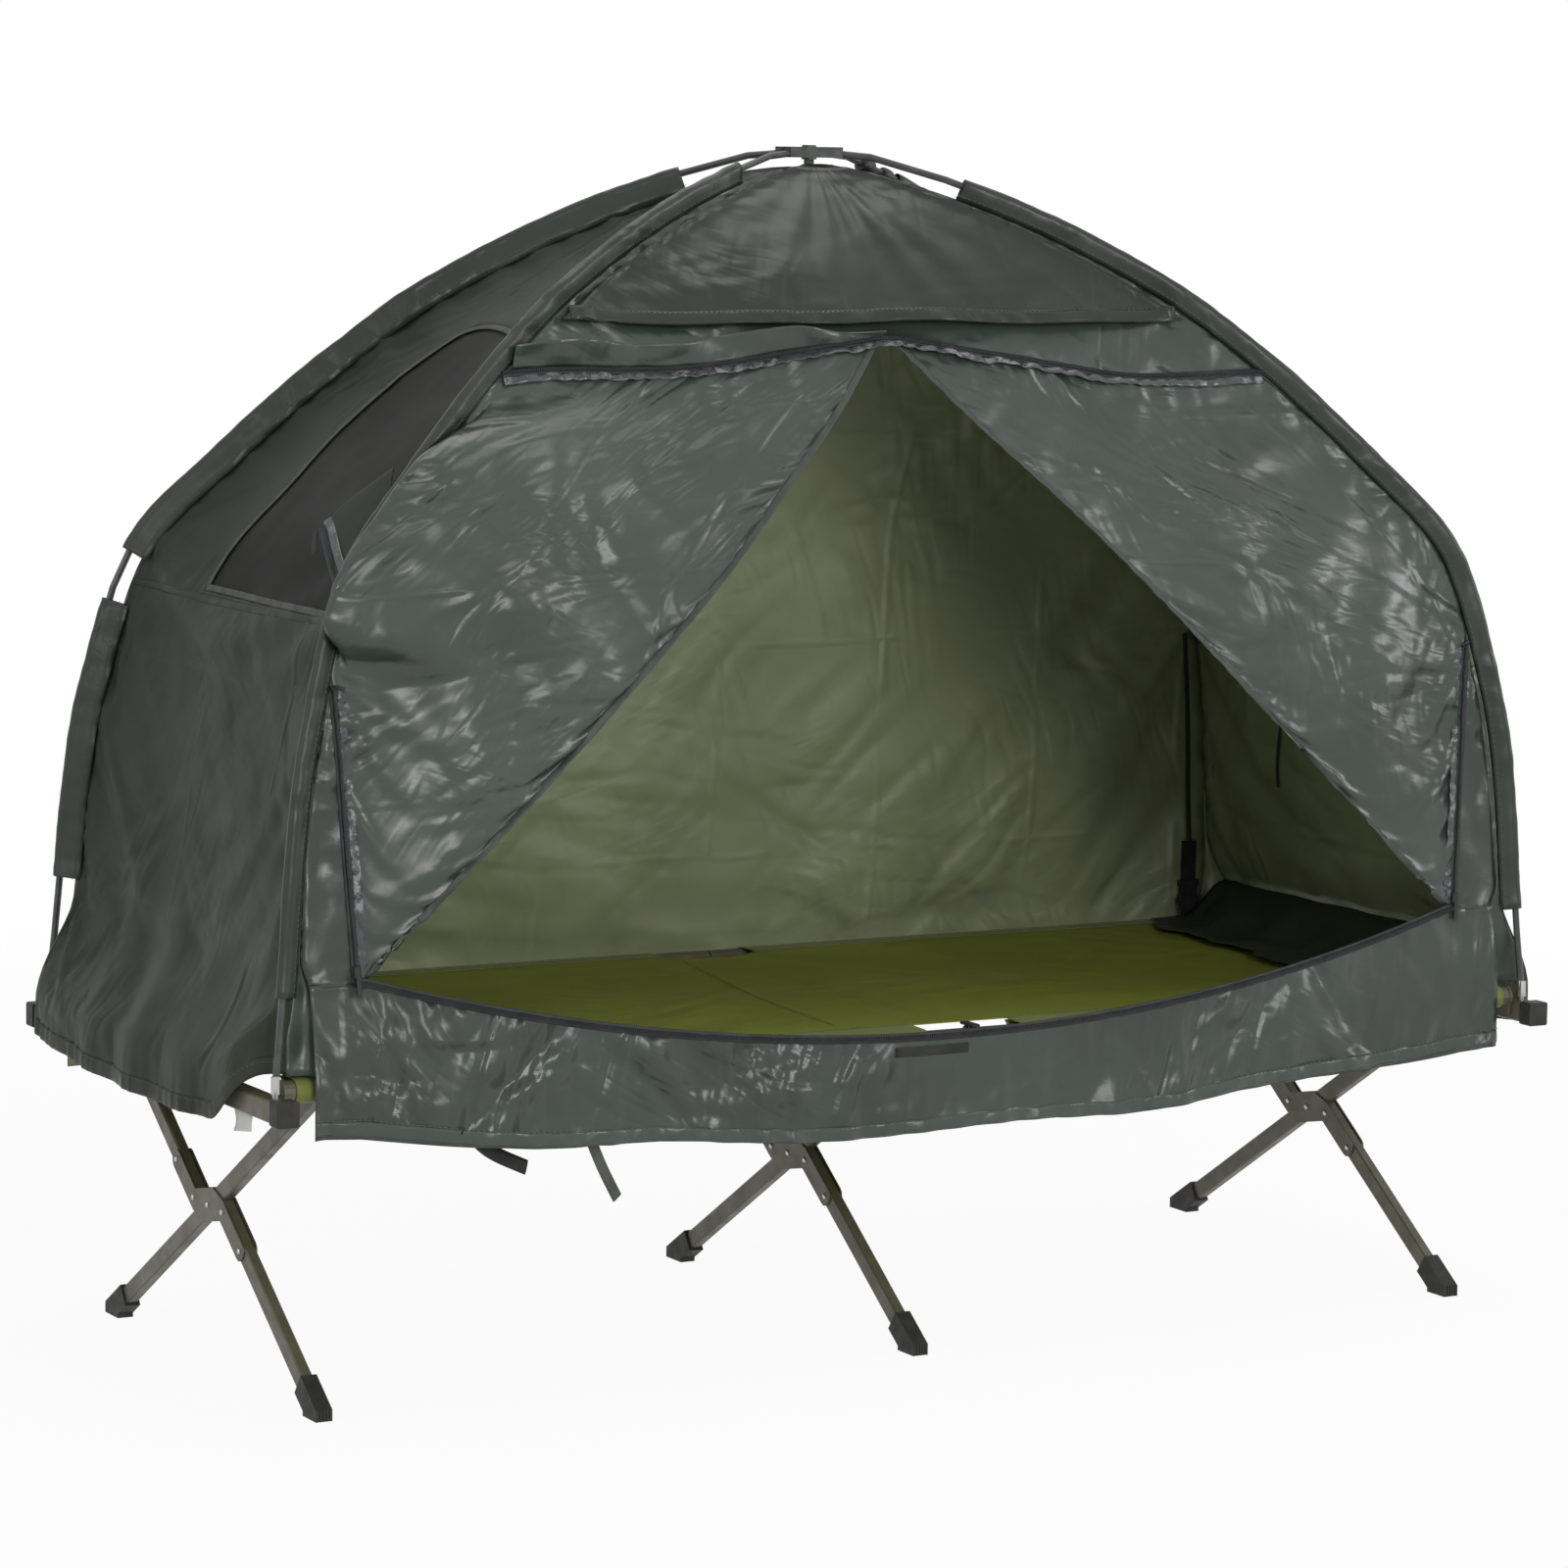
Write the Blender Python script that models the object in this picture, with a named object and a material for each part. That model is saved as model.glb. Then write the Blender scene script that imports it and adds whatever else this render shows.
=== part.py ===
"""A tent cot: a folding camp bed on three scissor leg pairs under a four-pole canopy.

Units are metres, +Z is up, +X runs along the bed and -Y is the door side.
The origin is on the floor, under the middle of the bed.
"""

import math

import bmesh
import bpy
from mathutils import Matrix, Vector

# Overall sizes
COT_LENGTH = 1.936
COT_WIDTH = 0.860
RAIL_HEIGHT = 0.430
RAIL_INSET = 0.058
PEAK_HEIGHT = 1.600
GAP = 0.0003
CUT_OVERRUN = 0.004

# Side rails, round tube in two halves with a folding link
RAIL_RADIUS = 0.0145
RAIL_WALL = 0.0015
RAIL_SIDES = 16
RAIL_JOINT_X = 0.058
RAIL_JOINT_GAP = 0.002
LINK_HALF_LENGTH = 0.044
LINK_WALL = 0.002
LINK_RIVET_OFFSET = 0.033

# End bars, rectangular tube across the head and the foot of the bed
BAR_WIDTH = 0.026
BAR_HEIGHT = 0.028
BAR_WALL = 0.0015
BAR_DROP = 0.019
BAR_CAP_LENGTH = 0.024
BAR_CAP_WALL = 0.002
BAR_CAP_END = 0.003
TIP_HOLE_INSET = 0.041
PEG_FLANGE = 0.004
PEG_LENGTH = 0.040
PEG_TONGUE_WIDTH = 0.018
PEG_TONGUE_DROP = 0.012
PEG_RIM = 0.0012

# Scissor legs, rectangular tube
LEG_END_INSET = 0.083
LEG_WIDTH = 0.016
LEG_DEPTH = 0.025
LEG_WALL = 0.0013
LEG_CORNER = 0.002
LEG_HINGE_INSET = 0.035
LEG_HINGE_DROP = 0.0092
LEG_TOP_OVERHANG = 0.011
SPLIT_OFFSET = 0.0266
STOP_GAP = 0.0006

# Pivot plates on both sides of each leg pair
PLATE_THICKNESS = 0.002
PLATE_RIM = 0.0015
PLATE_END = 0.012
PLATE_SHOULDER_LENGTH = 0.0426
PLATE_SHOULDER_HEIGHT = 0.0307
PLATE_SHOULDER_SHIFT = 0.0016
RIVET_END_DISTANCE = 0.009
RIVET_PITCH = 0.071

# Rivets
RIVET_RADIUS = 0.003
RIVET_HEAD_RADIUS = 0.0055
RIVET_HEAD_HEIGHT = 0.0022
RIVET_SIDES = 8

# Brackets that hang the legs from the rails
BRACKET_WALL = 0.002
BRACKET_EAR_RADIUS = 0.0125

# Rubber feet
FOOT_WALL = 0.003
FOOT_SOLE = 0.004
FOOT_SLEEVE = 0.040
FOOT_TOE_HEIGHT = 0.015
FOOT_HEEL_HEIGHT = 0.006
FOOT_RIB_DEPTH = 0.0012
FOOT_RIB_WIDTH = 0.0022
FOOT_RIB_COUNT = 4

# Bed cloth
CLOTH = 0.0012
BED_END_INSET = 0.012
BED_STITCH_INSET = 0.038
BED_BAND_INSET = 0.024
BED_NOTCH_HALF = 0.080
BED_NOTCH_DEPTH = 0.030
BED_LEG_NOTCH = 0.014
BED_COLUMNS = 4

# Cord tied round the folding joint of the front rail
KNOT_WIDTH = 0.006
KNOT_THICKNESS = 0.002
KNOT_BOW = 0.016

# Tent poles
POLE_RADIUS = 0.00475
POLE_SIDES = 8
POLE_STEPS = 16
TURN_PACE = 0.45
POLE_END_REACH = 0.016
TIP_RADIUS = 0.0035
TIP_LENGTH = 0.027
TIP_INSERTION = 0.021
FERRULE_RADIUS = 0.0058
FERRULE_LENGTH = 0.022
FERRULE_SOCKET = 0.017
FERRULE_SIDES = 8
# Shares of the reach and of the rise, from the ferrule to the hub
POLE_ARC_SHARES = (
    (1.000, 0.000), (0.987, 0.090), (0.971, 0.252), (0.945, 0.378), (0.886, 0.533),
    (0.769, 0.644), (0.636, 0.751), (0.487, 0.847), (0.292, 0.934), (0.097, 0.992),
    (0.000, 1.000),
)

# Hub
HUB_ARM = 0.046
HUB_ARM_WIDTH = 0.0145
HUB_HEIGHT = 0.0145
TIE_WIDTH = 0.012
TIE_THICKNESS = 0.0025

# Pole sleeves
SLEEVE_CLOTH = 0.001
SLEEVE_SEAM_GAP = 0.0042
SLEEVE_START_SHARE = 0.055
SLEEVE_STOP_SHARE = 0.93
BARE_FROM_SHARE = 0.26
BARE_TO_SHARE = 0.32

# Canopy
CANOPY_DROP = 0.020
CANOPY_TOP_REACH = 0.012
SEAM_INSET = 0.0012
SKIRT_CLEARANCE = 0.009
END_SKIRT_INSET = 0.058
BACK_SKIRT_INSET = 0.046
FLARE_HEIGHT = 0.150
WALL_ROWS = 16
END_WALL_COLUMNS = 12
BACK_WALL_COLUMNS = 12
WALL_SAG = 0.012
FOLD_DEPTH = 0.006
FOLD_TOP_SHARE = 0.41
END_HEM_DROP = 0.032
END_HEM_DIP = 0.025
BACK_HEM_DROP = 0.090
END_FOLD_WAVES = 5
END_FOLD_PHASE = 0.7
BACK_FOLD_WAVES = 9
BACK_FOLD_PHASE = 1.9

# Mesh windows of the end walls
WINDOW_FRONT_SHARE = -0.578
WINDOW_BACK_SHARE = 0.321
WINDOW_BOTTOM_SHARE = 0.486
WINDOW_TOP_SHARE = 0.778
WINDOW_CORNER = 0.090
WINDOW_FOOT_CORNER = 0.012
MESH_MARGIN = 0.012
MESH_GAP = 0.0015
MESH_WIDTH_SHARE = 0.97

# Front: door flaps, upper panel, brow and sill
DOOR_PEAK_SHARE = 0.778
ZIP_CORNER_SHARE = 0.745
BROW_HEM_SHARE = 0.800
BROW_REACH = 0.024
BROW_SIDE_INSET = 0.032
BROW_SEAM_LIFT = 0.0018
BROW_LIFT = 0.0040
DOOR_PEAK_GAP = 0.012
ZIP_GAP = 0.0012
FLAP_FOOT_GAP = 0.002
SIDE_ZIP_ROWS = 6
DOOR_CORNER_SHARE = 0.095
DOOR_CORNER_INSET = 0.138
DOOR_CORNER_WIDTH = 0.010
CORNER_TIP_WIDTH = 0.006
FLAP_BULGE = 0.030
FLAP_FOLD = 0.007
FLAP_ROWS = 12
FLAP_COLUMNS = 8
FLAP_FOLD_WAVES = 3
BROW_FOLD_WAVES = 4
SILL_SAG = 0.117
SILL_INSET = 0.063
SILL_BULGE = 0.014
SILL_HEM_DROP = 0.064
SILL_HEM_DIP = 0.048
SILL_FOLD_WAVES = 6
SILL_FOLD_PHASE = 1.1
SILL_ROWS = 4
SILL_COLUMNS = 16
CORNER_ROWS = 5
CORNER_COLUMNS = 2
STRIP_INSET = 0.0055
UPPER_ROWS = 9
UPPER_COLUMNS = 10
SEAM_PASSES = 6

# Zip sliders on the side zips
SLIDER_WIDTH = 0.010
SLIDER_HEIGHT = 0.014
SLIDER_DEPTH = 0.006
SLIDER_PULL_LENGTH = 0.024
SLIDER_PULL_WIDTH = 0.006
SLIDER_PULL_DEPTH = 0.0018

# Corner buckle that ties the canopy to the bed
BUCKLE_WIDTH = 0.032
BUCKLE_DEPTH = 0.011
BUCKLE_HEIGHT = 0.036
BUCKLE_WAIST_INSET = 0.003
BUCKLE_INSET = 0.078
BUCKLE_RISE = 0.0226
UPPER_STRAP_LENGTH = 0.060
PLUG_BASE = 0.012
STRAP_WIDTH = 0.025
STRAP_THICKNESS = 0.0016

# Places worked out from the sizes
BAR_X = COT_LENGTH / 2 - BAR_WIDTH / 2
BAR_Z = RAIL_HEIGHT - BAR_DROP
LEG_STATION = BAR_X - LEG_END_INSET
PIVOT_HEIGHT = RAIL_HEIGHT / 2
BAR_TOP = BAR_Z + BAR_HEIGHT / 2
TIP_Y = COT_WIDTH / 2 - TIP_HOLE_INSET
RAIL_Y = COT_WIDTH / 2 - RAIL_INSET
RAIL_END = BAR_X - BAR_WIDTH / 2 - PEG_FLANGE - 2 * GAP
HINGE_Y = RAIL_Y - LEG_HINGE_INSET
HINGE_Z = RAIL_HEIGHT - LEG_HINGE_DROP
ARM_ANGLE = math.atan2(HINGE_Z - PIVOT_HEIGHT, HINGE_Y)
ARM_LENGTH = math.hypot(HINGE_Z - PIVOT_HEIGHT, HINGE_Y)
SPLIT_ANGLE = ARM_ANGLE + math.asin(SPLIT_OFFSET / ARM_LENGTH)
SPLIT_REACH = math.sqrt(ARM_LENGTH ** 2 - SPLIT_OFFSET ** 2)
CROSS_ANGLE = ARM_ANGLE + SPLIT_ANGLE
SPLIT_START = (
    (SPLIT_OFFSET + LEG_DEPTH / 2) / math.tan(CROSS_ANGLE)
    + (LEG_DEPTH / 2 + STOP_GAP) / math.sin(CROSS_ANGLE)
)
INNER_RIVET = SPLIT_START + RIVET_END_DISTANCE
OUTER_RIVET = INNER_RIVET + RIVET_PITCH
LEG_STATIONS = (("left", -LEG_STATION), ("middle", 0.0), ("right", LEG_STATION))
POLE_REACH = math.hypot(BAR_X, TIP_Y)
POLE_COS = BAR_X / POLE_REACH
POLE_SIN = TIP_Y / POLE_REACH
TIP_BOTTOM = BAR_TOP - TIP_INSERTION
FERRULE_BOTTOM = TIP_BOTTOM + TIP_LENGTH
FERRULE_TOP = FERRULE_BOTTOM + FERRULE_LENGTH
ARC_RISE = PEAK_HEIGHT - FERRULE_TOP
SLEEVE_RADIUS = RAIL_RADIUS + GAP + CLOTH / 2
END_SKIRT_HALF = COT_WIDTH / 2 - END_SKIRT_INSET
BACK_SKIRT_HALF = COT_LENGTH / 2 - BACK_SKIRT_INSET
END_HEM_HEIGHT = RAIL_HEIGHT - END_HEM_DROP
BACK_HEM_HEIGHT = RAIL_HEIGHT - BACK_HEM_DROP
WINDOW_FRONT = TIP_Y * WINDOW_FRONT_SHARE
WINDOW_BACK = TIP_Y * WINDOW_BACK_SHARE
WINDOW_BOTTOM = FERRULE_TOP + ARC_RISE * WINDOW_BOTTOM_SHARE
WINDOW_TOP = FERRULE_TOP + ARC_RISE * WINDOW_TOP_SHARE
DOOR_CORNER_X = COT_LENGTH / 2 - DOOR_CORNER_INSET
SILL_HALF = COT_LENGTH / 2 - SILL_INSET
SILL_HEM_HEIGHT = RAIL_HEIGHT - SILL_HEM_DROP
BUCKLE_X = COT_LENGTH / 2 - BUCKLE_INSET
END_SKIRT_X = COT_LENGTH / 2 + BAR_CAP_WALL + SKIRT_CLEARANCE
SIDE_SKIRT_Y = RAIL_Y + SLEEVE_RADIUS + CLOTH / 2 + SKIRT_CLEARANCE
BED_TOP = RAIL_HEIGHT + SLEEVE_RADIUS
BUCKLE_BASE_HEIGHT = BED_TOP + BUCKLE_RISE

FINISHES = {
    "frame_paint": ((0.105, 0.095, 0.070), 0.45, 0.35),
    "rivet_steel": ((0.560, 0.550, 0.520), 0.30, 0.90),
    "black_rubber": ((0.012, 0.012, 0.013), 0.70, 0.00),
    "black_plastic": ((0.016, 0.016, 0.017), 0.45, 0.00),
    "bed_cloth": ((0.085, 0.100, 0.022), 0.75, 0.00),
    "canopy_cloth": ((0.070, 0.085, 0.070), 0.60, 0.00),
    "door_cloth": ((0.085, 0.120, 0.100), 0.35, 0.00),
    "window_mesh": ((0.020, 0.022, 0.022), 0.80, 0.00),
    "fibreglass": ((0.030, 0.030, 0.032), 0.35, 0.00),
    "ferrule_steel": ((0.600, 0.600, 0.600), 0.25, 1.00),
    "webbing": ((0.015, 0.015, 0.016), 0.85, 0.00),
    "tie_cord": ((0.180, 0.190, 0.170), 0.80, 0.00),
}


def clear_scene():
    for item in list(bpy.data.objects):
        bpy.data.objects.remove(item, do_unlink=True)


def make_materials():
    made = {}
    for name, (colour, roughness, metallic) in FINISHES.items():
        material = bpy.data.materials.new(name)
        material.use_nodes = True
        shader = material.node_tree.nodes["Principled BSDF"]
        shader.inputs["Base Color"].default_value = (*colour, 1.0)
        shader.inputs["Roughness"].default_value = roughness
        shader.inputs["Metallic"].default_value = metallic
        material.diffuse_color = (*colour, 1.0)
        made[name] = material
    return made


def add_empty(name, location, parent=None):
    """Add an axis marker at a world location; its children are placed from it."""
    empty = bpy.data.objects.new(name, None)
    bpy.context.scene.collection.objects.link(empty)
    empty["place"] = location
    base = Vector(parent["place"]) if parent else Vector()
    empty.parent = parent
    empty.location = Vector(location) - base
    return empty


def add_object(name, mesh, finish, parent, location=(0.0, 0.0, 0.0), turn=0.0, smooth=None):
    """Add a mesh as a named object at a world location, turned about X."""
    item = bpy.data.objects.new(name, mesh)
    bpy.context.scene.collection.objects.link(item)
    item.parent = parent
    base = Vector(parent["place"]) if parent else Vector()
    item.location = Vector(location) - base
    item.rotation_euler.x = turn
    if finish:
        mesh.materials.append(MATERIALS[finish])
    if smooth:
        mesh.shade_smooth()
        mesh.set_sharp_from_angle(angle=math.radians(smooth))
    return item


def mesh_of(name, verts, faces):
    """Make a closed mesh whose faces point out."""
    mesh = bpy.data.meshes.new(name)
    mesh.from_pydata([tuple(v) for v in verts], [], faces)
    work = bmesh.new()
    work.from_mesh(mesh)
    bmesh.ops.recalc_face_normals(work, faces=work.faces)
    work.to_mesh(mesh)
    work.free()
    return mesh


def join(name, meshes):
    """Put several closed meshes in one mesh, each with its own transform."""
    work = bmesh.new()
    for mesh, matrix in meshes:
        copy = mesh.copy()
        copy.transform(matrix)
        work.from_mesh(copy)
        bpy.data.meshes.remove(copy)
    joined = bpy.data.meshes.new(name)
    work.to_mesh(joined)
    work.free()
    return joined


def boolean(item, tool_mesh, operation="DIFFERENCE"):
    """Cut or join an object with a tool mesh given in the object's own space."""
    tool = bpy.data.objects.new(f"{item.name}_{operation.lower()}_tool", tool_mesh)
    bpy.context.scene.collection.objects.link(tool)
    tool.parent = item
    tool.hide_render = True
    tool.display_type = "WIRE"
    modifier = item.modifiers.new(operation.title(), "BOOLEAN")
    modifier.operation = operation
    modifier.object = tool
    modifier.solver = "EXACT"
    modifier.material_mode = "TRANSFER"


def ring_points(radius, sides, start=0.0):
    return [
        (radius * math.cos(start + 2 * math.pi * k / sides),
         radius * math.sin(start + 2 * math.pi * k / sides))
        for k in range(sides)
    ]


def arc_points(centre, radius, first, last, steps):
    """Points on an arc, angles in radians, both ends included."""
    return [
        (centre[0] + radius * math.cos(first + (last - first) * k / steps),
         centre[1] + radius * math.sin(first + (last - first) * k / steps))
        for k in range(steps + 1)
    ]


def box_outline(width, height, corner=0.0):
    """A rectangle about the origin, with cut corners when corner is set."""
    x, y = width / 2, height / 2
    if not corner:
        return [(x, -y), (x, y), (-x, y), (-x, -y)]
    c = corner
    return [
        (x, -y + c), (x, y - c), (x - c, y), (-x + c, y),
        (-x, y - c), (-x, -y + c), (-x + c, -y), (x - c, -y),
    ]


AXES = {
    "X": lambda a, b, t: (t, a, b),
    "Y": lambda a, b, t: (a, t, b),
    "Z": lambda a, b, t: (a, b, t),
}


def prism(name, outline, start, end, axis="X"):
    """Extrude an outline along an axis from start to end."""
    put = AXES[axis]
    count = len(outline)
    verts = [put(a, b, start) for a, b in outline] + [put(a, b, end) for a, b in outline]
    faces = [tuple(range(count)), tuple(range(2 * count - 1, count - 1, -1))]
    faces += [(k, (k + 1) % count, (k + 1) % count + count, k + count) for k in range(count)]
    return mesh_of(name, verts, faces)


def hollow_prism(name, outer, inner, start, end, axis="X"):
    """Extrude a ring between two outlines with as many points each."""
    put = AXES[axis]
    count = len(outer)
    verts = []
    for outline in (outer, inner):
        for place in (start, end):
            verts += [put(a, b, place) for a, b in outline]
    faces = []
    for k in range(count):
        n = (k + 1) % count
        faces.append((k, n, n + count, k + count))
        faces.append((k + 2 * count, k + 3 * count, n + 3 * count, n + 2 * count))
        faces.append((k, k + 2 * count, n + 2 * count, n))
        faces.append((k + count, n + count, n + 3 * count, k + 3 * count))
    return mesh_of(name, verts, faces)


def turned(name, profile, sides, axis="Z"):
    """Turn a profile of (radius, place) about an axis; it starts and ends on the axis."""
    put = AXES[axis]
    verts, rings = [], []
    for radius, place in profile:
        if radius == 0.0:
            rings.append([len(verts)])
            verts.append(put(0.0, 0.0, place))
        else:
            rings.append(list(range(len(verts), len(verts) + sides)))
            verts += [put(a, b, place) for a, b in ring_points(radius, sides)]
    faces = []
    for low, high in zip(rings, rings[1:]):
        for k in range(sides):
            n = (k + 1) % sides
            corners = [low[k % len(low)], low[n % len(low)], high[n % len(high)], high[k % len(high)]]
            faces.append(tuple(dict.fromkeys(corners)))
    return mesh_of(name, verts, faces)


def rivet_mesh(name, grip):
    """A rivet along X whose domed heads sit in both faces of what it grips."""
    face = grip / 2 - GAP
    top = face + RIVET_HEAD_HEIGHT
    rim, shank = RIVET_HEAD_RADIUS, RIVET_RADIUS
    profile = [
        (0.0, -top), (rim / 2, -top), (rim, -face), (shank, -face),
        (shank, face), (rim, face), (rim / 2, top), (0.0, top),
    ]
    mesh = turned(name, profile, RIVET_SIDES, "X")
    mesh.materials.append(MATERIALS["rivet_steel"])
    return mesh


def hole_mesh(name, length):
    """A cutter along X for a rivet to pass through."""
    outline = ring_points(RIVET_RADIUS + GAP, RIVET_SIDES)
    return prism(name, outline, -length / 2, length / 2, "X")


def sheet(name, grid, thickness, present=None, shift=0.0):
    """A cloth of even thickness over a grid of points, with cells left out where present says."""
    rows, columns = len(grid), len(grid[0])

    def used(i, j):
        inside = 0 <= i < rows - 1 and 0 <= j < columns - 1
        return inside and (present is None or present(i, j))

    normals = [[Vector() for _ in range(columns)] for _ in range(rows)]
    for i in range(rows - 1):
        for j in range(columns - 1):
            if not used(i, j):
                continue
            a, b, c, d = grid[i][j], grid[i][j + 1], grid[i + 1][j + 1], grid[i + 1][j]
            normal = (c - a).cross(d - b)
            for p, q in ((i, j), (i, j + 1), (i + 1, j + 1), (i + 1, j)):
                normals[p][q] += normal
    verts, index = [], {}
    for i in range(rows):
        for j in range(columns):
            if normals[i][j].length == 0.0:
                continue
            way = normals[i][j].normalized()
            for side, offset in ((0, shift + thickness / 2), (1, shift - thickness / 2)):
                index[i, j, side] = len(verts)
                verts.append(grid[i][j] + way * offset)
    faces = []
    for i in range(rows - 1):
        for j in range(columns - 1):
            if not used(i, j):
                continue
            loop = ((i, j), (i, j + 1), (i + 1, j + 1), (i + 1, j))
            faces.append(tuple(index[p, q, 0] for p, q in loop))
            faces.append(tuple(index[p, q, 1] for p, q in reversed(loop)))
            sides = ((i - 1, j), (i, j + 1), (i + 1, j), (i, j - 1))
            for k, (ni, nj) in enumerate(sides):
                if not used(ni, nj):
                    (p, q), (r, s) = loop[k], loop[(k + 1) % 4]
                    faces.append((index[p, q, 0], index[p, q, 1], index[r, s, 1], index[r, s, 0]))
    return mesh_of(name, verts, faces)


def sweep(name, path, across, radius, sides):
    """A round bar along a path in a vertical plane whose horizontal normal is across."""
    verts = []
    for k, point in enumerate(path):
        before, after = path[max(k - 1, 0)], path[min(k + 1, len(path) - 1)]
        along = (after - before).normalized()
        out = across.cross(along).normalized()
        verts += [point + out * a + across * b for a, b in ring_points(radius, sides)]
    last = len(path) - 1
    faces = [tuple(range(sides)), tuple(last * sides + k for k in reversed(range(sides)))]
    for k in range(last):
        for s in range(sides):
            n = (s + 1) % sides
            faces.append((k * sides + s, k * sides + n, (k + 1) * sides + n, (k + 1) * sides + s))
    return mesh_of(name, verts, faces)


def smoothstep(t):
    t = min(max(t, 0.0), 1.0)
    return t * t * (3 - 2 * t)


def lerp(a, b, t):
    return a + (b - a) * t


def lookup(table, place):
    """Read a table of (place, value) in rising order of place, straight between its rows."""
    for (p0, v0), (p1, v1) in zip(table, table[1:]):
        if place <= p1:
            return lerp(v0, v1, (place - p0) / (p1 - p0))
    return table[-1][1]


# Pole arc

ARC_SAMPLES = 12


def smooth_curve(points, samples):
    """A curve through all the points, with an even count of samples between two of them."""
    ends = [points[0]] + list(points) + [points[-1]]
    curve = []
    for a, b, c, d in zip(ends, ends[1:], ends[2:], ends[3:]):
        for k in range(samples):
            t = k / samples
            curve.append(tuple(
                0.5 * (2 * q + (r - p) * t + (2 * p - 5 * q + 4 * r - s) * t ** 2
                       + (3 * q - p - 3 * r + s) * t ** 3)
                for p, q, r, s in zip(a, b, c, d)
            ))
    curve.append(tuple(points[-1]))
    return curve


def pole_profile():
    """(reach, height) along a pole's middle line, from its ferrule to the hub."""
    shares = [(POLE_REACH * r, FERRULE_TOP + ARC_RISE * h) for r, h in POLE_ARC_SHARES]
    return smooth_curve(shares, ARC_SAMPLES)


def offset_inwards(profile, distance):
    """Shift a profile of (reach, height) towards the inside of the tent."""
    shifted = []
    for k, (reach, height) in enumerate(profile):
        before, after = profile[max(k - 1, 0)], profile[min(k + 1, len(profile) - 1)]
        along = Vector((after[0] - before[0], after[1] - before[1])).normalized()
        shifted.append((reach - along.y * distance, height + along.x * distance))
    return shifted


def resample(profile, count, pace=0.0):
    """Steps along a polyline of (reach, height), closer where it turns if a pace is given."""
    lengths, before = [0.0], None
    for (a, b), (c, d) in zip(profile, profile[1:]):
        heading = math.atan2(d - b, a - c)
        turn = 0.0 if before is None else abs(heading - before)
        lengths.append(lengths[-1] + math.hypot(c - a, d - b) + pace * turn)
        before = heading
    firsts = [(s, p[0]) for s, p in zip(lengths, profile)]
    seconds = [(s, p[1]) for s, p in zip(lengths, profile)]
    places = [lengths[-1] * k / count for k in range(count + 1)]
    return [(lookup(firsts, s), lookup(seconds, s)) for s in places]


POLE_LINE = pole_profile()
CANOPY_LINE = [p for p in offset_inwards(POLE_LINE, CANOPY_DROP) if p[0] >= CANOPY_TOP_REACH]
REACH_BY_HEIGHT = [(height, reach) for reach, height in CANOPY_LINE]
BASE_HEIGHT = FERRULE_TOP


def level(share):
    """Height of a share of the pole arc's rise."""
    return BASE_HEIGHT + ARC_RISE * share


def seam_reach(height):
    """Distance of the canopy's corner seam from the tent's middle line."""
    return lookup(REACH_BY_HEIGHT, max(height, CANOPY_LINE[0][1]))


def flared(height, canopy, skirt):
    """Distance of a wall from the middle: the canopy's above, out over the bed's edge below."""
    start = BAR_TOP + SKIRT_CLEARANCE
    return lerp(skirt, canopy, smoothstep((height - start) / FLARE_HEIGHT))


# Frame of the bed

def make_rails(side, sign, parent):
    """Both halves of one side rail, each closed at its outer end by a peg with a tongue."""
    outer = ring_points(RAIL_RADIUS, RAIL_SIDES)
    inner = ring_points(RAIL_RADIUS - RAIL_WALL, RAIL_SIDES)
    half = PEG_TONGUE_WIDTH / 2
    rim = ring_points(RAIL_RADIUS + PEG_RIM, RAIL_SIDES, -math.pi / 2)
    kept = [p for p in rim if p[1] > 0.0 or abs(p[0]) > half]
    drop = RAIL_RADIUS + PEG_TONGUE_DROP
    tongue = [(-half, -drop), (half, -drop)]
    plate = prism("peg_plate", kept + tongue, RAIL_END, RAIL_END + PEG_FLANGE, "X")
    plug_outline = ring_points(RAIL_RADIUS - RAIL_WALL / 2, RAIL_SIDES)
    plug = prism("peg_plug", plug_outline, RAIL_END - PEG_LENGTH, RAIL_END + PEG_FLANGE / 2, "X")
    hole = hole_mesh("rail_hole", 2 * RAIL_RADIUS + 2 * CUT_OVERRUN)
    across = Matrix.Rotation(math.pi / 2, 4, "Z")
    tube_end = RAIL_END + PEG_FLANGE / 2
    ends = (
        ("left", -tube_end, RAIL_JOINT_X - RAIL_JOINT_GAP / 2, math.pi, -LINK_RIVET_OFFSET),
        ("right", RAIL_JOINT_X + RAIL_JOINT_GAP / 2, tube_end, 0.0, LINK_RIVET_OFFSET),
    )
    for end, start, stop, turn, shift in ends:
        name = f"rail_{side}_{end}"
        mesh = hollow_prism(name, outer, inner, start, stop, "X")
        place = (0.0, sign * RAIL_Y, RAIL_HEIGHT)
        item = add_object(name, mesh, "frame_paint", parent, place, smooth=30)
        facing = Matrix.Rotation(turn, 4, "Z")
        boolean(item, join(f"{name}_plug", [(plug, facing)]), "UNION")
        boolean(item, join(f"{name}_plate", [(plate, facing)]), "UNION")
        at_rivet = Matrix.Translation((RAIL_JOINT_X + shift, 0.0, 0.0))
        boolean(item, join(f"{name}_hole", [(hole, at_rivet @ across)]))


def link_outline():
    """A channel that cups a rail from below, up to a little past the rail's middle."""
    inner = RAIL_RADIUS + GAP
    outer = inner + LINK_WALL
    steps = RAIL_SIDES // 2
    outside = arc_points((0.0, 0.0), outer, math.pi, 2 * math.pi, steps)
    inside = arc_points((0.0, 0.0), inner, 2 * math.pi, math.pi, steps)
    arm = RIVET_HEAD_RADIUS
    return [(-outer, arm)] + outside + [(outer, arm), (inner, arm)] + inside + [(-inner, arm)]


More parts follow.
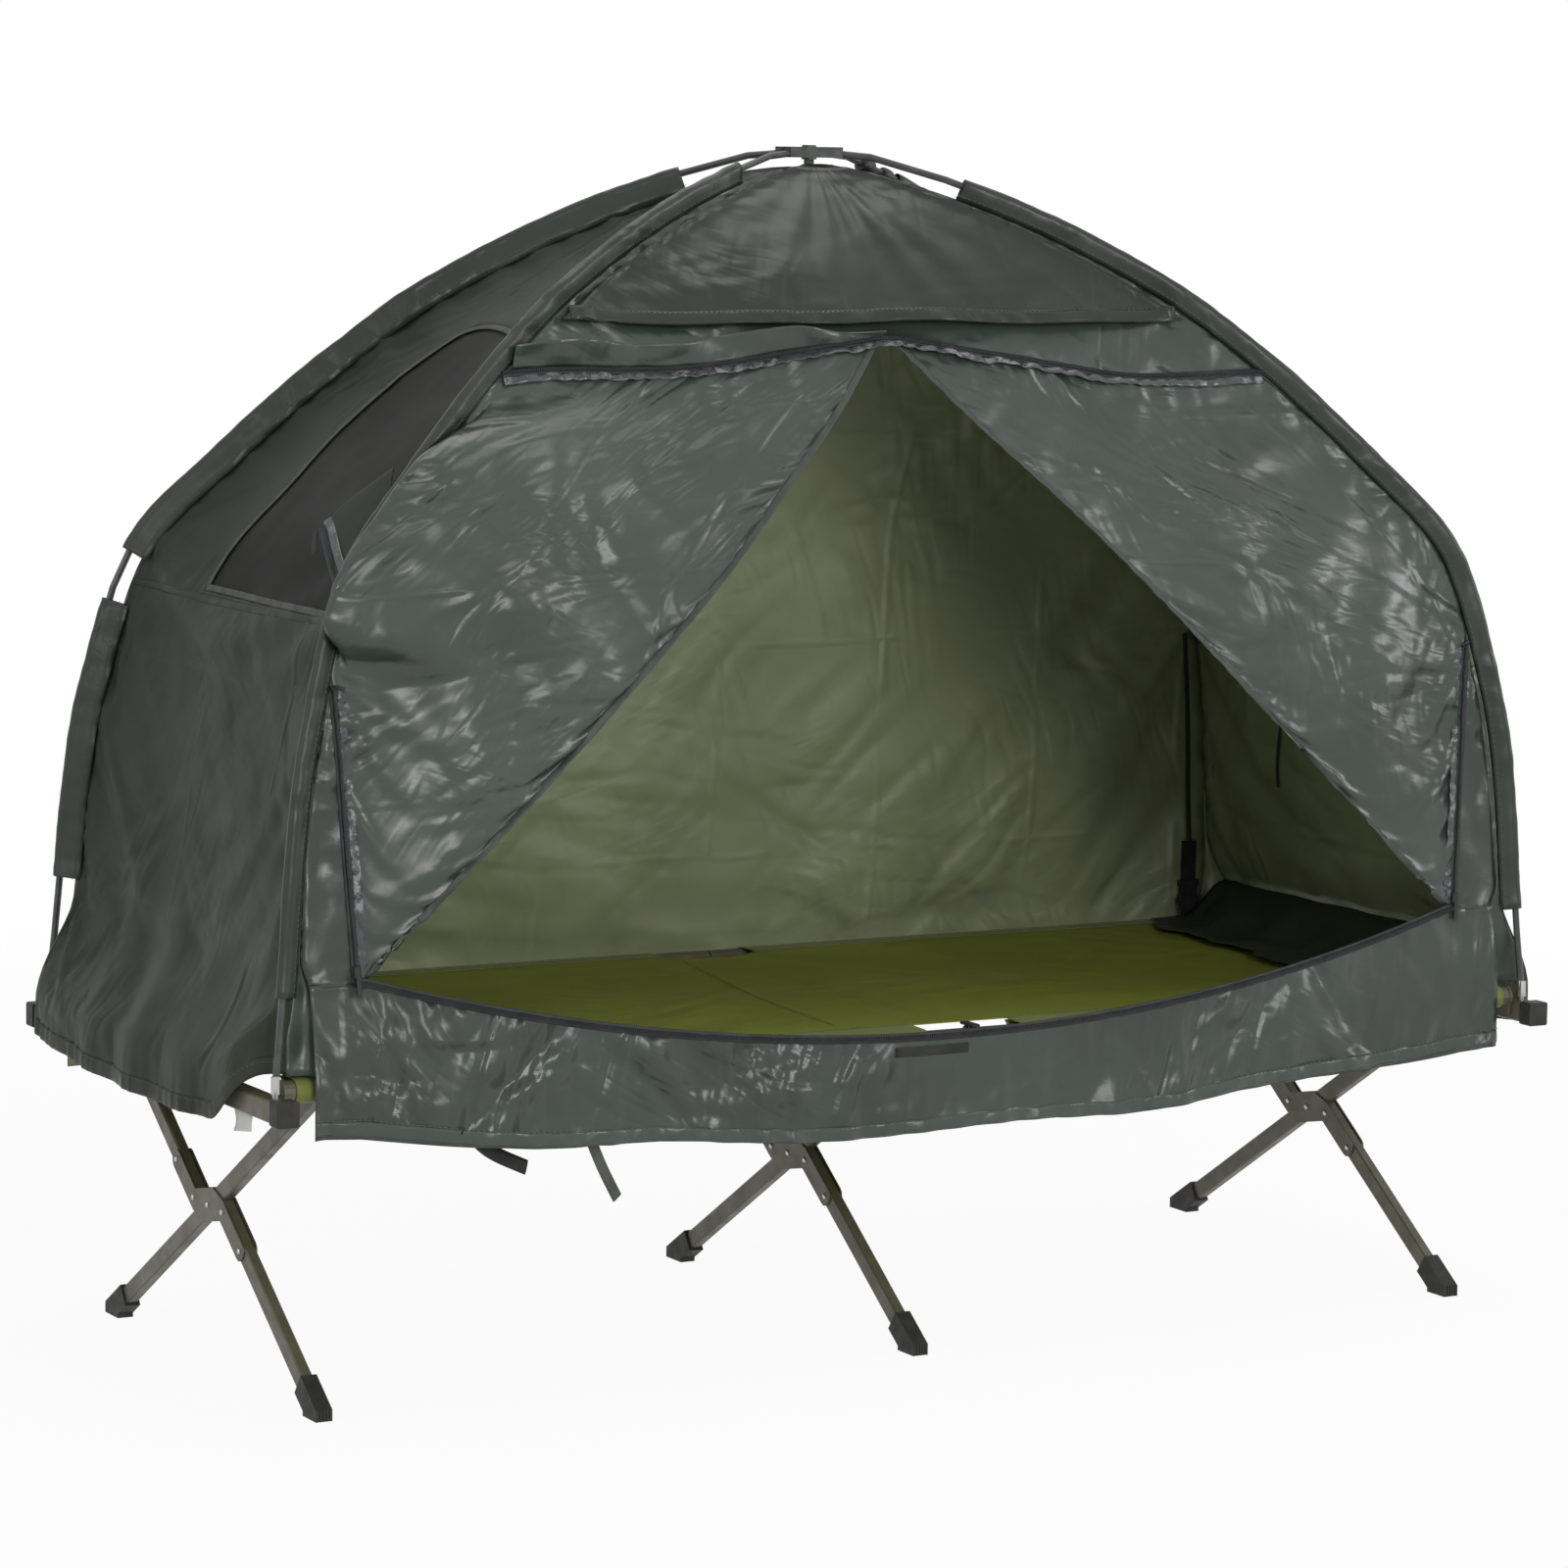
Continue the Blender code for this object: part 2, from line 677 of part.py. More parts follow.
def make_link(side, sign, parent):
    """The riveted link over the folding joint of one rail; a cord is tied round the front one."""
    name = f"rail_link_{side}"
    mesh = prism(name, link_outline(), -LINK_HALF_LENGTH, LINK_HALF_LENGTH, "X")
    place = (RAIL_JOINT_X, sign * RAIL_Y, RAIL_HEIGHT)
    item = add_object(name, mesh, "frame_paint", parent, place, smooth=30)
    rivet = rivet_mesh("link_rivet", 2 * (RAIL_RADIUS + GAP + LINK_WALL))
    across = Matrix.Rotation(math.pi / 2, 4, "Z")
    rivets = [
        (rivet, Matrix.Translation((shift, 0.0, 0.0)) @ across)
        for shift in (-LINK_RIVET_OFFSET, LINK_RIVET_OFFSET)
    ]
    boolean(item, join(f"{name}_rivets", rivets), "UNION")
    if side == "front":
        boolean(item, knot_ring(), "UNION")
        boolean(item, knot_bow(), "UNION")


def knot_ring():
    inner = RAIL_RADIUS + GAP + LINK_WALL / 2
    outer = inner + KNOT_THICKNESS + LINK_WALL / 2
    mesh = hollow_prism("knot_ring", ring_points(outer, RAIL_SIDES), ring_points(inner, RAIL_SIDES),
                        -KNOT_WIDTH / 2, KNOT_WIDTH / 2, "X")
    mesh.materials.append(MATERIALS["tie_cord"])
    return mesh


def knot_bow():
    """The bow on top of the knot, across the rail."""
    rise = RAIL_RADIUS + GAP + LINK_WALL + KNOT_THICKNESS
    mesh = prism("knot_bow", box_outline(KNOT_WIDTH * 2, KNOT_THICKNESS * 2, KNOT_THICKNESS / 2),
                 -KNOT_BOW, KNOT_BOW, "Y")
    mesh.transform(Matrix.Translation((0.0, 0.0, rise)))
    mesh.materials.append(MATERIALS["tie_cord"])
    return mesh


def bracket_outline():
    """Saddle under the rail and ear round the leg's hinge, with the ear towards +Y."""
    inner = RAIL_RADIUS + GAP
    outer = inner + BRACKET_WALL
    hinge = (LEG_HINGE_INSET, -LEG_HINGE_DROP)
    steps = RAIL_SIDES // 2
    turn = 3 * math.pi / 4
    rim = arc_points((0.0, 0.0), outer, math.pi, 3 * math.pi / 2, steps // 2)
    ear = arc_points(hinge, BRACKET_EAR_RADIUS, -turn, turn, 6)
    saddle = arc_points((0.0, 0.0), inner, 2 * math.pi, math.pi, steps)
    return rim + ear + saddle


def make_brackets(side, sign, parent):
    """The leg brackets of one rail, each a saddle with two ears and the leg's hinge pin."""
    width = LEG_WIDTH + 2 * (GAP + BRACKET_WALL)
    outline = [(-sign * y, z) for y, z in bracket_outline()]
    blank = prism("leg_bracket", outline, -width / 2, width / 2, "X")
    start = RAIL_RADIUS + GAP + BRACKET_WALL
    reach = LEG_HINGE_INSET + BRACKET_EAR_RADIUS + CUT_OVERRUN
    half = BRACKET_EAR_RADIUS + LEG_HINGE_DROP + CUT_OVERRUN
    slot = [(-sign * y, z) for y, z in ((start, -half), (reach, -half), (reach, half), (start, half))]
    clear = LEG_WIDTH / 2 + GAP
    pin = rivet_mesh("hinge_pin", width)
    hinge = Matrix.Translation((0.0, -sign * LEG_HINGE_INSET, -LEG_HINGE_DROP))
    for end, x in LEG_STATIONS:
        name = f"leg_bracket_{side}_{end}"
        place = (x, sign * RAIL_Y, RAIL_HEIGHT)
        item = add_object(name, blank.copy(), "frame_paint", parent, place, smooth=30)
        boolean(item, prism(f"{name}_slot", slot, -clear, clear, "X"))
        boolean(item, join(f"{name}_pin", [(pin, hinge)]), "UNION")


def make_end_bars(parent):
    """The bars across both ends, with holes for the pole tips and a cap on each end."""
    outer = box_outline(BAR_WIDTH, BAR_HEIGHT, LEG_CORNER)
    inner = box_outline(BAR_WIDTH - 2 * BAR_WALL, BAR_HEIGHT - 2 * BAR_WALL, LEG_CORNER / 2)
    length = COT_WIDTH / 2 - BAR_CAP_END - GAP
    hole = prism("tip_hole", ring_points(TIP_RADIUS + GAP, POLE_SIDES),
                 BAR_HEIGHT / 2 - BAR_WALL - CUT_OVERRUN, BAR_HEIGHT / 2 + CUT_OVERRUN, "Z")
    shell = box_outline(BAR_WIDTH + 2 * (GAP + BAR_CAP_WALL), BAR_HEIGHT + 2 * (GAP + BAR_CAP_WALL),
                        LEG_CORNER)
    pocket = box_outline(BAR_WIDTH + 2 * GAP, BAR_HEIGHT + 2 * GAP, LEG_CORNER)
    back = COT_WIDTH / 2 - BAR_CAP_LENGTH
    for side, sign in (("left", -1), ("right", 1)):
        name = f"end_bar_{side}"
        place = (sign * BAR_X, 0.0, BAR_Z)
        mesh = hollow_prism(name, outer, inner, -length, length, "Y")
        item = add_object(name, mesh, "frame_paint", parent, place, smooth=30)
        holes = [(hole, Matrix.Translation((0.0, y, 0.0))) for y in (-TIP_Y, TIP_Y)]
        boolean(item, join(f"{name}_holes", holes))
        for end, way in (("front", -1), ("back", 1)):
            name = f"bar_cap_{end}_{side}"
            mesh = prism(name, shell, *sorted((way * back, way * COT_WIDTH / 2)), "Y")
            cap = add_object(name, mesh, "black_rubber", parent, place, smooth=30)
            floor = COT_WIDTH / 2 - BAR_CAP_END
            cut = sorted((way * (back - CUT_OVERRUN), way * floor))
            boolean(cap, prism(f"{name}_pocket", pocket, *cut, "Y"))


# Scissor legs. In a leg's own space +Y runs down the leg and Z is square to it.

def leg_tube(name, start, end, across):
    outer = box_outline(LEG_WIDTH, LEG_DEPTH, LEG_CORNER)
    inner = box_outline(LEG_WIDTH - 2 * LEG_WALL, LEG_DEPTH - 2 * LEG_WALL, LEG_CORNER / 2)
    mesh = hollow_prism(name, outer, inner, start, end, "Y")
    mesh.transform(Matrix.Translation((0.0, 0.0, across)))
    return mesh


def tube_end_height(angle):
    """Height of the middle of a leg tube's lower end, which stands on the sole."""
    return FOOT_SOLE + LEG_DEPTH / 2 * math.cos(angle)


def foot_run(angle, across):
    """Distance down the leg from the pivot to the tube's end in its foot."""
    return (PIVOT_HEIGHT + across * math.cos(angle) - tube_end_height(angle)) / math.sin(angle)


def foot_outline(run, angle, up, across):
    """A sleeve on the tube with a flat sole, an upright toe and a low heel."""
    half = LEG_DEPTH / 2 + GAP + FOOT_WALL
    down = (math.sin(angle), -math.cos(angle))

    def edge(z, height):
        """Point on a long side of the sleeve at this height above the floor."""
        fall = tube_end_height(angle) + z * math.cos(angle) - height
        return (run + fall / math.sin(angle), z)

    def below(point, height):
        return (point[0] + down[0] * height, point[1] + down[1] * height)

    toe, heel = edge(half, FOOT_TOE_HEIGHT), edge(-half, FOOT_HEEL_HEIGHT)
    back = run - FOOT_SLEEVE
    points = [toe, below(toe, FOOT_TOE_HEIGHT), below(heel, FOOT_HEEL_HEIGHT), heel,
              (back, -half), (back, half)]
    return [(y, up * z + across) for y, z in points]


def make_feet(end, axis, place, turn, run, angle, up, across):
    """The feet of one set of legs, with grooves down the toe."""
    outline = foot_outline(run, angle, up, across)
    width = LEG_WIDTH + 2 * (GAP + FOOT_WALL)
    pocket = prism("foot_pocket", box_outline(LEG_WIDTH + 2 * GAP, LEG_DEPTH + 2 * GAP),
                   run - FOOT_SLEEVE - CUT_OVERRUN, run + GAP, "Y")
    toe, tip = (Vector((0.0, y, z)) for y, z in outline[:2])
    face = (tip - toe).normalized()
    out = Vector((0.0, face.z, -face.y))
    frame = Matrix(((1.0, 0.0, 0.0), (0.0, out.y, face.y), (0.0, out.z, face.z))).to_4x4()
    groove = prism("groove", box_outline(FOOT_RIB_WIDTH, 2 * FOOT_RIB_DEPTH),
                   -FOOT_TOE_HEIGHT, FOOT_TOE_HEIGHT, "Z")
    pitch = width / (FOOT_RIB_COUNT + 1)
    middle = (toe + tip) / 2
    cuts = [(pocket, Matrix.Translation((0.0, 0.0, across)))]
    for k in range(FOOT_RIB_COUNT):
        x = -width / 2 + pitch * (k + 1)
        cuts.append((groove, Matrix.Translation(middle + Vector((x, 0.0, 0.0))) @ frame))
    for side, x in LEG_STATIONS:
        name = f"foot_{end}_{side}"
        mesh = prism(name, outline, -width / 2, width / 2, "X")
        item = add_object(name, mesh, "black_rubber", axis, (x, *place[1:]), turn)
        boolean(item, join(f"{name}_cuts", cuts))


def plate_outline():
    """Outline of a pivot plate: two offset arms and a six-sided middle."""
    half = LEG_DEPTH / 2 + PLATE_RIM
    centre = (OUTER_RIVET, -SPLIT_OFFSET)
    corner = PLATE_END
    edge = half - corner
    arm = arc_points((centre[0], centre[1] + edge), corner, math.pi / 2, 0.0, 3)
    arm += arc_points((centre[0], centre[1] - edge), corner, 0.0, -math.pi / 2, 3)
    one = [(PLATE_SHOULDER_LENGTH, -SPLIT_OFFSET + half)] + arm
    one.append((PLATE_SHOULDER_LENGTH - PLATE_END, -SPLIT_OFFSET - half))
    one.append((-PLATE_SHOULDER_SHIFT, -PLATE_SHOULDER_HEIGHT))
    return one + [(-y, -z) for y, z in one]


def rivet_places():
    """Places of the five rivets in a leg pair's own space."""
    half = [(INNER_RIVET, -SPLIT_OFFSET), (OUTER_RIVET, -SPLIT_OFFSET)]
    return [(0.0, 0.0)] + half + [(-y, -z) for y, z in half]


def make_legs(axis_a, axis_b):
    """All three leg pairs: the long leg, both halves of the split leg and the pivot plates."""
    hinge = (0.0, -HINGE_Y, HINGE_Z)
    pivot = (0.0, 0.0, PIVOT_HEIGHT)
    turn_a = -ARM_ANGLE
    turn_b = math.pi + SPLIT_ANGLE
    run_a = ARM_LENGTH + foot_run(ARM_ANGLE, 0.0)
    run_b = foot_run(SPLIT_ANGLE, SPLIT_OFFSET)
    grip = LEG_WIDTH + 2 * (GAP + PLATE_THICKNESS)
    hole = hole_mesh("leg_hole", LEG_WIDTH + 2 * CUT_OVERRUN)
    inner = LEG_WIDTH / 2 + GAP
    outer = inner + PLATE_THICKNESS
    rivet = rivet_mesh("plate_rivet", grip)
    parts = (
        ("upper", -SPLIT_REACH - LEG_TOP_OVERHANG, -SPLIT_START, SPLIT_OFFSET,
         (-SPLIT_REACH, -INNER_RIVET, -OUTER_RIVET)),
        ("lower", SPLIT_START, run_b, -SPLIT_OFFSET, (INNER_RIVET, OUTER_RIVET)),
    )
    for side, x in LEG_STATIONS:
        name = f"leg_long_{side}"
        mesh = leg_tube(name, -LEG_TOP_OVERHANG, run_a, 0.0)
        item = add_object(name, mesh, "frame_paint", axis_a, (x, *hinge[1:]), turn_a, smooth=30)
        holes = [(hole, Matrix.Translation((0.0, y, 0.0))) for y in (0.0, ARM_LENGTH)]
        boolean(item, join(f"{name}_holes", holes))
        for part, start, end, across, places in parts:
            name = f"leg_split_{part}_{side}"
            mesh = leg_tube(name, start, end, across)
            item = add_object(name, mesh, "frame_paint", axis_b, (x, *pivot[1:]), turn_b, smooth=30)
            holes = [(hole, Matrix.Translation((0.0, y, across))) for y in places]
            boolean(item, join(f"{name}_holes", holes))
        name = f"pivot_plates_{side}"
        plates = [
            (prism("plate", plate_outline(), near, far, "X"), Matrix())
            for near, far in ((inner, outer), (-outer, -inner))
        ]
        item = add_object(name, join(name, plates), "frame_paint", axis_b, (x, *pivot[1:]), turn_b)
        rivets = [(rivet, Matrix.Translation((0.0, y, z))) for y, z in rivet_places()]
        boolean(item, join(f"{name}_rivets", rivets), "UNION")
    make_feet("back", axis_a, hinge, turn_a, run_a, ARM_ANGLE, 1, 0.0)
    make_feet("front", axis_b, pivot, turn_b, run_b, SPLIT_ANGLE, -1, -SPLIT_OFFSET)


# Bed cloth

def bed_stations():
    """Places along X where the bed cloth's grid has a line."""
    end = RAIL_END - BED_END_INSET
    lines = {-end, end}
    for _, x in LEG_STATIONS:
        lines |= {x - BED_LEG_NOTCH, x + BED_LEG_NOTCH}
    lines |= {RAIL_JOINT_X - BED_NOTCH_HALF, RAIL_JOINT_X + BED_NOTCH_HALF}
    lines |= {-LEG_STATION / 2, (LEG_STATION + RAIL_JOINT_X) / 2}
    return sorted(lines)


def in_notch(x):
    return abs(x - RAIL_JOINT_X) < BED_NOTCH_HALF


def at_leg(x):
    return any(abs(x - place) < BED_LEG_NOTCH for _, place in LEG_STATIONS)


def rail_wrap(sign):
    """Section of the sleeve round a rail, from its seam under the sheet to the rail's top."""
    step = 2 * math.pi / RAIL_SIDES
    turns = RAIL_SIDES * 3 // 4
    seam = BED_TOP - CLOTH - 2 * GAP
    share = (BED_BAND_INSET - SLEEVE_RADIUS) / (BED_STITCH_INSET - SLEEVE_RADIUS)
    wrap = [(sign * (RAIL_Y - BED_STITCH_INSET), seam),
            (sign * (RAIL_Y - BED_BAND_INSET), lerp(RAIL_HEIGHT, seam, share))]
    for k in range(turns + 1):
        out = SLEEVE_RADIUS * math.cos(step * k)
        drop = SLEEVE_RADIUS * math.sin(step * k)
        wrap.append((sign * (RAIL_Y - out), RAIL_HEIGHT - drop))
    return wrap


def make_bed(root, back):
    """The bed sheet with its front sleeve, and the back sleeve, which rides on the back rail."""
    lines = bed_stations()
    middles = [(a + b) / 2 for a, b in zip(lines, lines[1:])]
    wrap = rail_wrap(-1)
    inner = RAIL_Y - BED_NOTCH_DEPTH
    flat = [(lerp(-inner, inner, k / BED_COLUMNS), BED_TOP) for k in range(BED_COLUMNS + 1)]
    section = wrap + flat + [(RAIL_Y - 2 * GAP, BED_TOP)]
    hanging = len(wrap) - RAIL_SIDES // 4

    def sheet_present(i, j):
        if in_notch(middles[i]):
            return len(wrap) <= j < len(section) - 2
        return j >= hanging or not at_leg(middles[i])

    def sleeve_present(i, j):
        if in_notch(middles[i]):
            return j == 0
        return j >= hanging or not at_leg(middles[i])

    grid = [[Vector((x, y, z)) for y, z in section] for x in lines]
    mesh = sheet("bed_fabric", grid, CLOTH, sheet_present)
    add_object("bed_fabric", mesh, "bed_cloth", root, smooth=40)
    place = (0.0, RAIL_Y, RAIL_HEIGHT)
    base = Vector(place)
    grid = [[Vector((x, y, z)) - base for y, z in rail_wrap(1)] for x in lines]
    mesh = sheet("bed_sleeve_back", grid, CLOTH, sleeve_present)
    add_object("bed_sleeve_back", mesh, "bed_cloth", back, place, smooth=40)


# Tent

CORNERS = (
    ("front_left", -1, -1), ("front_right", 1, -1), ("back_left", -1, 1), ("back_right", 1, 1),
)


def corner_point(reach, height, sx, sy):
    return Vector((sx * reach * POLE_COS, sy * reach * POLE_SIN, height))


def pole_line():
    """Even steps along the pole from its seat in the ferrule to its end in the hub."""
    seat = (POLE_REACH, FERRULE_TOP - FERRULE_SOCKET + GAP)
    line = [seat] + [p for p in POLE_LINE if p[0] >= POLE_END_REACH]
    return resample(line, POLE_STEPS, TURN_PACE)


def across_of(sx, sy):
    """Horizontal direction square to a pole's plane."""
    return Vector((-sy * POLE_SIN, sx * POLE_COS, 0.0)) * sx * sy


def make_poles(parent):
    """The poles, each with the steel ferrule and tip that stand in its end bar."""
    line = pole_line()
    profile = [
        (0.0, 0.0), (TIP_RADIUS, 0.0), (TIP_RADIUS, TIP_LENGTH), (FERRULE_RADIUS, TIP_LENGTH),
        (FERRULE_RADIUS, TIP_LENGTH + FERRULE_LENGTH), (0.0, TIP_LENGTH + FERRULE_LENGTH),
    ]
    pin = turned("ferrule", profile, FERRULE_SIDES, "Z")
    pin.materials.append(MATERIALS["ferrule_steel"])
    for corner, sx, sy in CORNERS:
        path = [corner_point(reach, height, sx, sy) for reach, height in line]
        name = f"pole_{corner}"
        mesh = sweep(name, path, across_of(sx, sy), POLE_RADIUS, POLE_SIDES)
        item = add_object(name, mesh, "fibreglass", parent, (0.0, 0.0, BAR_TOP), smooth=60)
        mesh.transform(Matrix.Translation((0.0, 0.0, -BAR_TOP)))
        foot = corner_point(POLE_REACH, TIP_BOTTOM - BAR_TOP, sx, sy)
        boolean(item, join(f"{name}_ferrule", [(pin, Matrix.Translation(foot))]), "UNION")


def make_hub(parent):
    """The crossed block that holds the four pole ends, and the strap tied round it."""
    half = HUB_ARM_WIDTH / 2
    arm = prism("hub_arm", box_outline(2 * HUB_ARM, HUB_ARM_WIDTH, LEG_CORNER),
                -HUB_HEIGHT / 2, HUB_HEIGHT / 2, "Z")
    angle = math.atan2(POLE_SIN, POLE_COS)
    one, other = arm.copy(), arm.copy()
    one.transform(Matrix.Rotation(angle, 4, "Z"))
    other.transform(Matrix.Rotation(-angle, 4, "Z"))
    place = (0.0, 0.0, PEAK_HEIGHT)
    item = add_object("hub", one, "black_plastic", parent, place, smooth=30)
    boolean(item, other, "UNION")
    line = [p for p in pole_line() if p[0] <= HUB_ARM * 2]
    before = [p for p in pole_line() if p[0] > HUB_ARM * 2][-1]
    line = [before] + line
    fall = (line[-2][1] - line[-1][1]) / (line[-2][0] - line[-1][0])
    bottom = (line[-1][0] - 2 * GAP, line[-1][1] - 2 * GAP * fall)
    pieces = []
    for _, sx, sy in CORNERS:
        path = [corner_point(reach, height, sx, sy) - Vector(place) for reach, height in line]
        path.append(corner_point(*bottom, sx, sy) - Vector(place))
        tool = sweep("hub_socket", path, across_of(sx, sy), POLE_RADIUS + GAP, POLE_SIDES)
        pieces.append((tool, Matrix()))
    boolean(item, join("hub_sockets", pieces))
    waist = half / math.cos(angle) + TIE_THICKNESS
    rise = HUB_HEIGHT / 2 + TIE_THICKNESS
    tail = CANOPY_DROP - GAP
    outline = [
        (waist, -rise), (waist, rise - TIE_THICKNESS), (waist - TIE_THICKNESS, rise),
        (-waist + TIE_THICKNESS, rise), (-waist, rise - TIE_THICKNESS), (-waist, -rise),
        (-waist / 3, -rise), (-waist / 3, -tail), (waist / 3, -tail), (waist / 3, -rise),
    ]
    tie = prism("apex_tie", outline, -TIE_WIDTH / 2, TIE_WIDTH / 2, "X")
    tie.materials.append(MATERIALS["tie_cord"])
    boolean(item, tie, "UNION")


def make_sleeves(parent):
    """Cloth sleeves over the poles, open below where they are sewn to the canopy's seams."""
    line = pole_line()
    total = len(line) - 1
    first = round(total * SLEEVE_START_SHARE)
    last = round(total * SLEEVE_STOP_SHARE)
    bare = (round(total * BARE_FROM_SHARE), round(total * BARE_TO_SHARE))
    radius = POLE_RADIUS + GAP + SLEEVE_CLOTH / 2 + GAP
    foot = CANOPY_DROP - SLEEVE_SEAM_GAP
    step = 2 * math.pi / POLE_SIDES
    wrap = [(-foot, -radius)]
    wrap += [(radius * math.cos(a), radius * math.sin(a))
             for a in (-math.pi / 2 + step * k for k in range(POLE_SIDES // 2 + 1))]
    wrap.append((-foot, radius))
    for corner, sx, sy in CORNERS:
        across = across_of(sx, sy)
        path = [corner_point(reach, height, sx, sy) for reach, height in line]
        grid = []
        for k in range(first, last + 1):
            along = (path[min(k + 1, total)] - path[max(k - 1, 0)]).normalized()
            out = across.cross(along).normalized()
            if out.dot(path[k] - Vector((0.0, 0.0, path[k].z))) < 0:
                out = -out
            grid.append([path[k] + out * a + across * b for a, b in wrap])

        def present(i, j, corner=corner):
            cut = corner == "back_left" and bare[0] <= i + first < bare[1]
            return not (cut and 0 < j < len(wrap) - 2)

        name = f"sleeve_{corner}"
        add_object(name, sheet(name, grid, SLEEVE_CLOTH, present), "canopy_cloth", parent, smooth=60)


def wall_line(skirt, per_reach, hem):
    """Wall section from hem to top as (distance from the middle, height)."""
    start = BAR_TOP + SKIRT_CLEARANCE
    low = [(skirt, hem), (skirt, start)]
    high = [
        (flared(height, reach * per_reach, skirt), height)
        for reach, height in CANOPY_LINE if height > start + SKIRT_CLEARANCE
    ]
    return resample(low + high, WALL_ROWS, TURN_PACE)


def fold(place, height, waves, phase):
    """Outward push of the hanging folds: strongest near the hem, none in the upper canopy."""
    top = level(FOLD_TOP_SHARE)
    hanging = smoothstep((top - height) / (top - BAR_TOP))
    ripple = 0.5 + 0.5 * math.sin(math.pi * waves * place + phase)
    return FOLD_DEPTH * ripple * hanging


def wall_grid(line, columns, half_of, place_point, waves, phase, hem_dip):
    """Grid of a wall between two corner seams."""
    grid = []
    top = PEAK_HEIGHT
    for distance, height in line:
        half = half_of(distance, height)
        row = []
        for k in range(columns + 1):
            w = -1 + 2 * k / columns
            inside = 1 - w * w
            high = smoothstep((height - BAR_TOP - FLARE_HEIGHT) / FLARE_HEIGHT)
            high *= smoothstep((top - height) / FLARE_HEIGHT)
            push = fold(w, height, waves, phase) * inside - WALL_SAG * inside * high
            drop = hem_dip * inside if height < BAR_Z else 0.0
            row.append(place_point(distance + push, w * half, height - drop))
        grid.append(row)
    return grid


def rounded_window():
    """Outline of the window in (Y, Z): wide curves at the top, small ones at the foot."""
    top, foot = WINDOW_CORNER, WINDOW_FOOT_CORNER
    quarter = math.pi / 2
    points = arc_points((WINDOW_BACK - foot, WINDOW_BOTTOM + foot), foot, -quarter, 0.0, 2)
    points += arc_points((WINDOW_BACK - top, WINDOW_TOP - top), top, 0.0, quarter, 4)
    points += arc_points((WINDOW_FRONT + top, WINDOW_TOP - top), top, quarter, 2 * quarter, 4)
    points += arc_points((WINDOW_FRONT + foot, WINDOW_BOTTOM + foot), foot, 2 * quarter, 3 * quarter, 2)
    return points


def make_end_walls(parent):
    """Both end walls, each with its window and the mesh behind it."""
    line = wall_line(END_SKIRT_X, POLE_COS, END_HEM_HEIGHT)

    def half_of(distance, height):
        if height > BAR_TOP + FLARE_HEIGHT:
            return distance / POLE_COS * POLE_SIN - SEAM_INSET
        seam = seam_reach(height) * POLE_SIN - SEAM_INSET
        return min(seam, END_SKIRT_HALF)

    for side, sign in (("left", -1), ("right", 1)):
        def place_point(distance, y, z, sign=sign):
            return Vector((sign * distance, y, z))

        grid = wall_grid(line, END_WALL_COLUMNS, half_of, place_point, END_FOLD_WAVES,
                         END_FOLD_PHASE, END_HEM_DIP)
        if sign > 0:
            grid = [list(reversed(row)) for row in grid]
        name = f"canopy_wall_{side}"
        item = add_object(name, sheet(name, grid, CLOTH), "canopy_cloth", parent, smooth=50)
        near, far = sorted((sign * FLARE_HEIGHT, sign * COT_LENGTH))
        boolean(item, prism("window_cut", rounded_window(), near, far, "X"))
        make_window_mesh(side, grid, parent)


def make_window_mesh(side, grid, parent):
    """The black net sewn behind a window, over the wall's own grid cells."""
    def covers(i, j):
        cell = [grid[p][q] for p in (i, i + 1) for q in (j, j + 1)]
        low, high = min(p.z for p in cell), max(p.z for p in cell)
        near, far = min(p.y for p in cell), max(p.y for p in cell)
        tall = high > WINDOW_BOTTOM - MESH_MARGIN and low < WINDOW_TOP + MESH_MARGIN
        wide = far > WINDOW_FRONT - MESH_MARGIN and near < WINDOW_BACK + MESH_MARGIN
        return tall and wide

    name = f"window_mesh_{side}"
    net = [[Vector((p.x, p.y * MESH_WIDTH_SHARE, p.z)) for p in row] for row in grid]
    mesh = sheet(name, net, CLOTH, covers, CLOTH + MESH_GAP)
    add_object(name, mesh, "window_mesh", parent, smooth=50)


def make_back_wall(parent):
    line = wall_line(SIDE_SKIRT_Y, POLE_SIN, BACK_HEM_HEIGHT)

    def half_of(distance, height):
        if height > BAR_TOP + FLARE_HEIGHT:
            return distance / POLE_SIN * POLE_COS - SEAM_INSET
        seam = seam_reach(height) * POLE_COS - SEAM_INSET
        return min(seam, BACK_SKIRT_HALF)

    def place_point(distance, x, z):
        return Vector((x, distance, z))

    grid = wall_grid(line, BACK_WALL_COLUMNS, half_of, place_point, BACK_FOLD_WAVES, BACK_FOLD_PHASE, 0.0)
    add_object("canopy_wall_back", sheet("canopy_wall_back", grid, CLOTH), "canopy_cloth", parent,
               smooth=50)


def zip_height(x):
    """Height of the top zip over the door, which peaks in the middle."""
    corner = level(ZIP_CORNER_SHARE)
    half = seam_reach(corner) * POLE_COS
    return lerp(level(DOOR_PEAK_SHARE), corner, min(abs(x) / half, 1.0))


def front_point(x, height, out=0.0):
    return Vector((x, -seam_reach(height) * POLE_SIN - out, height))


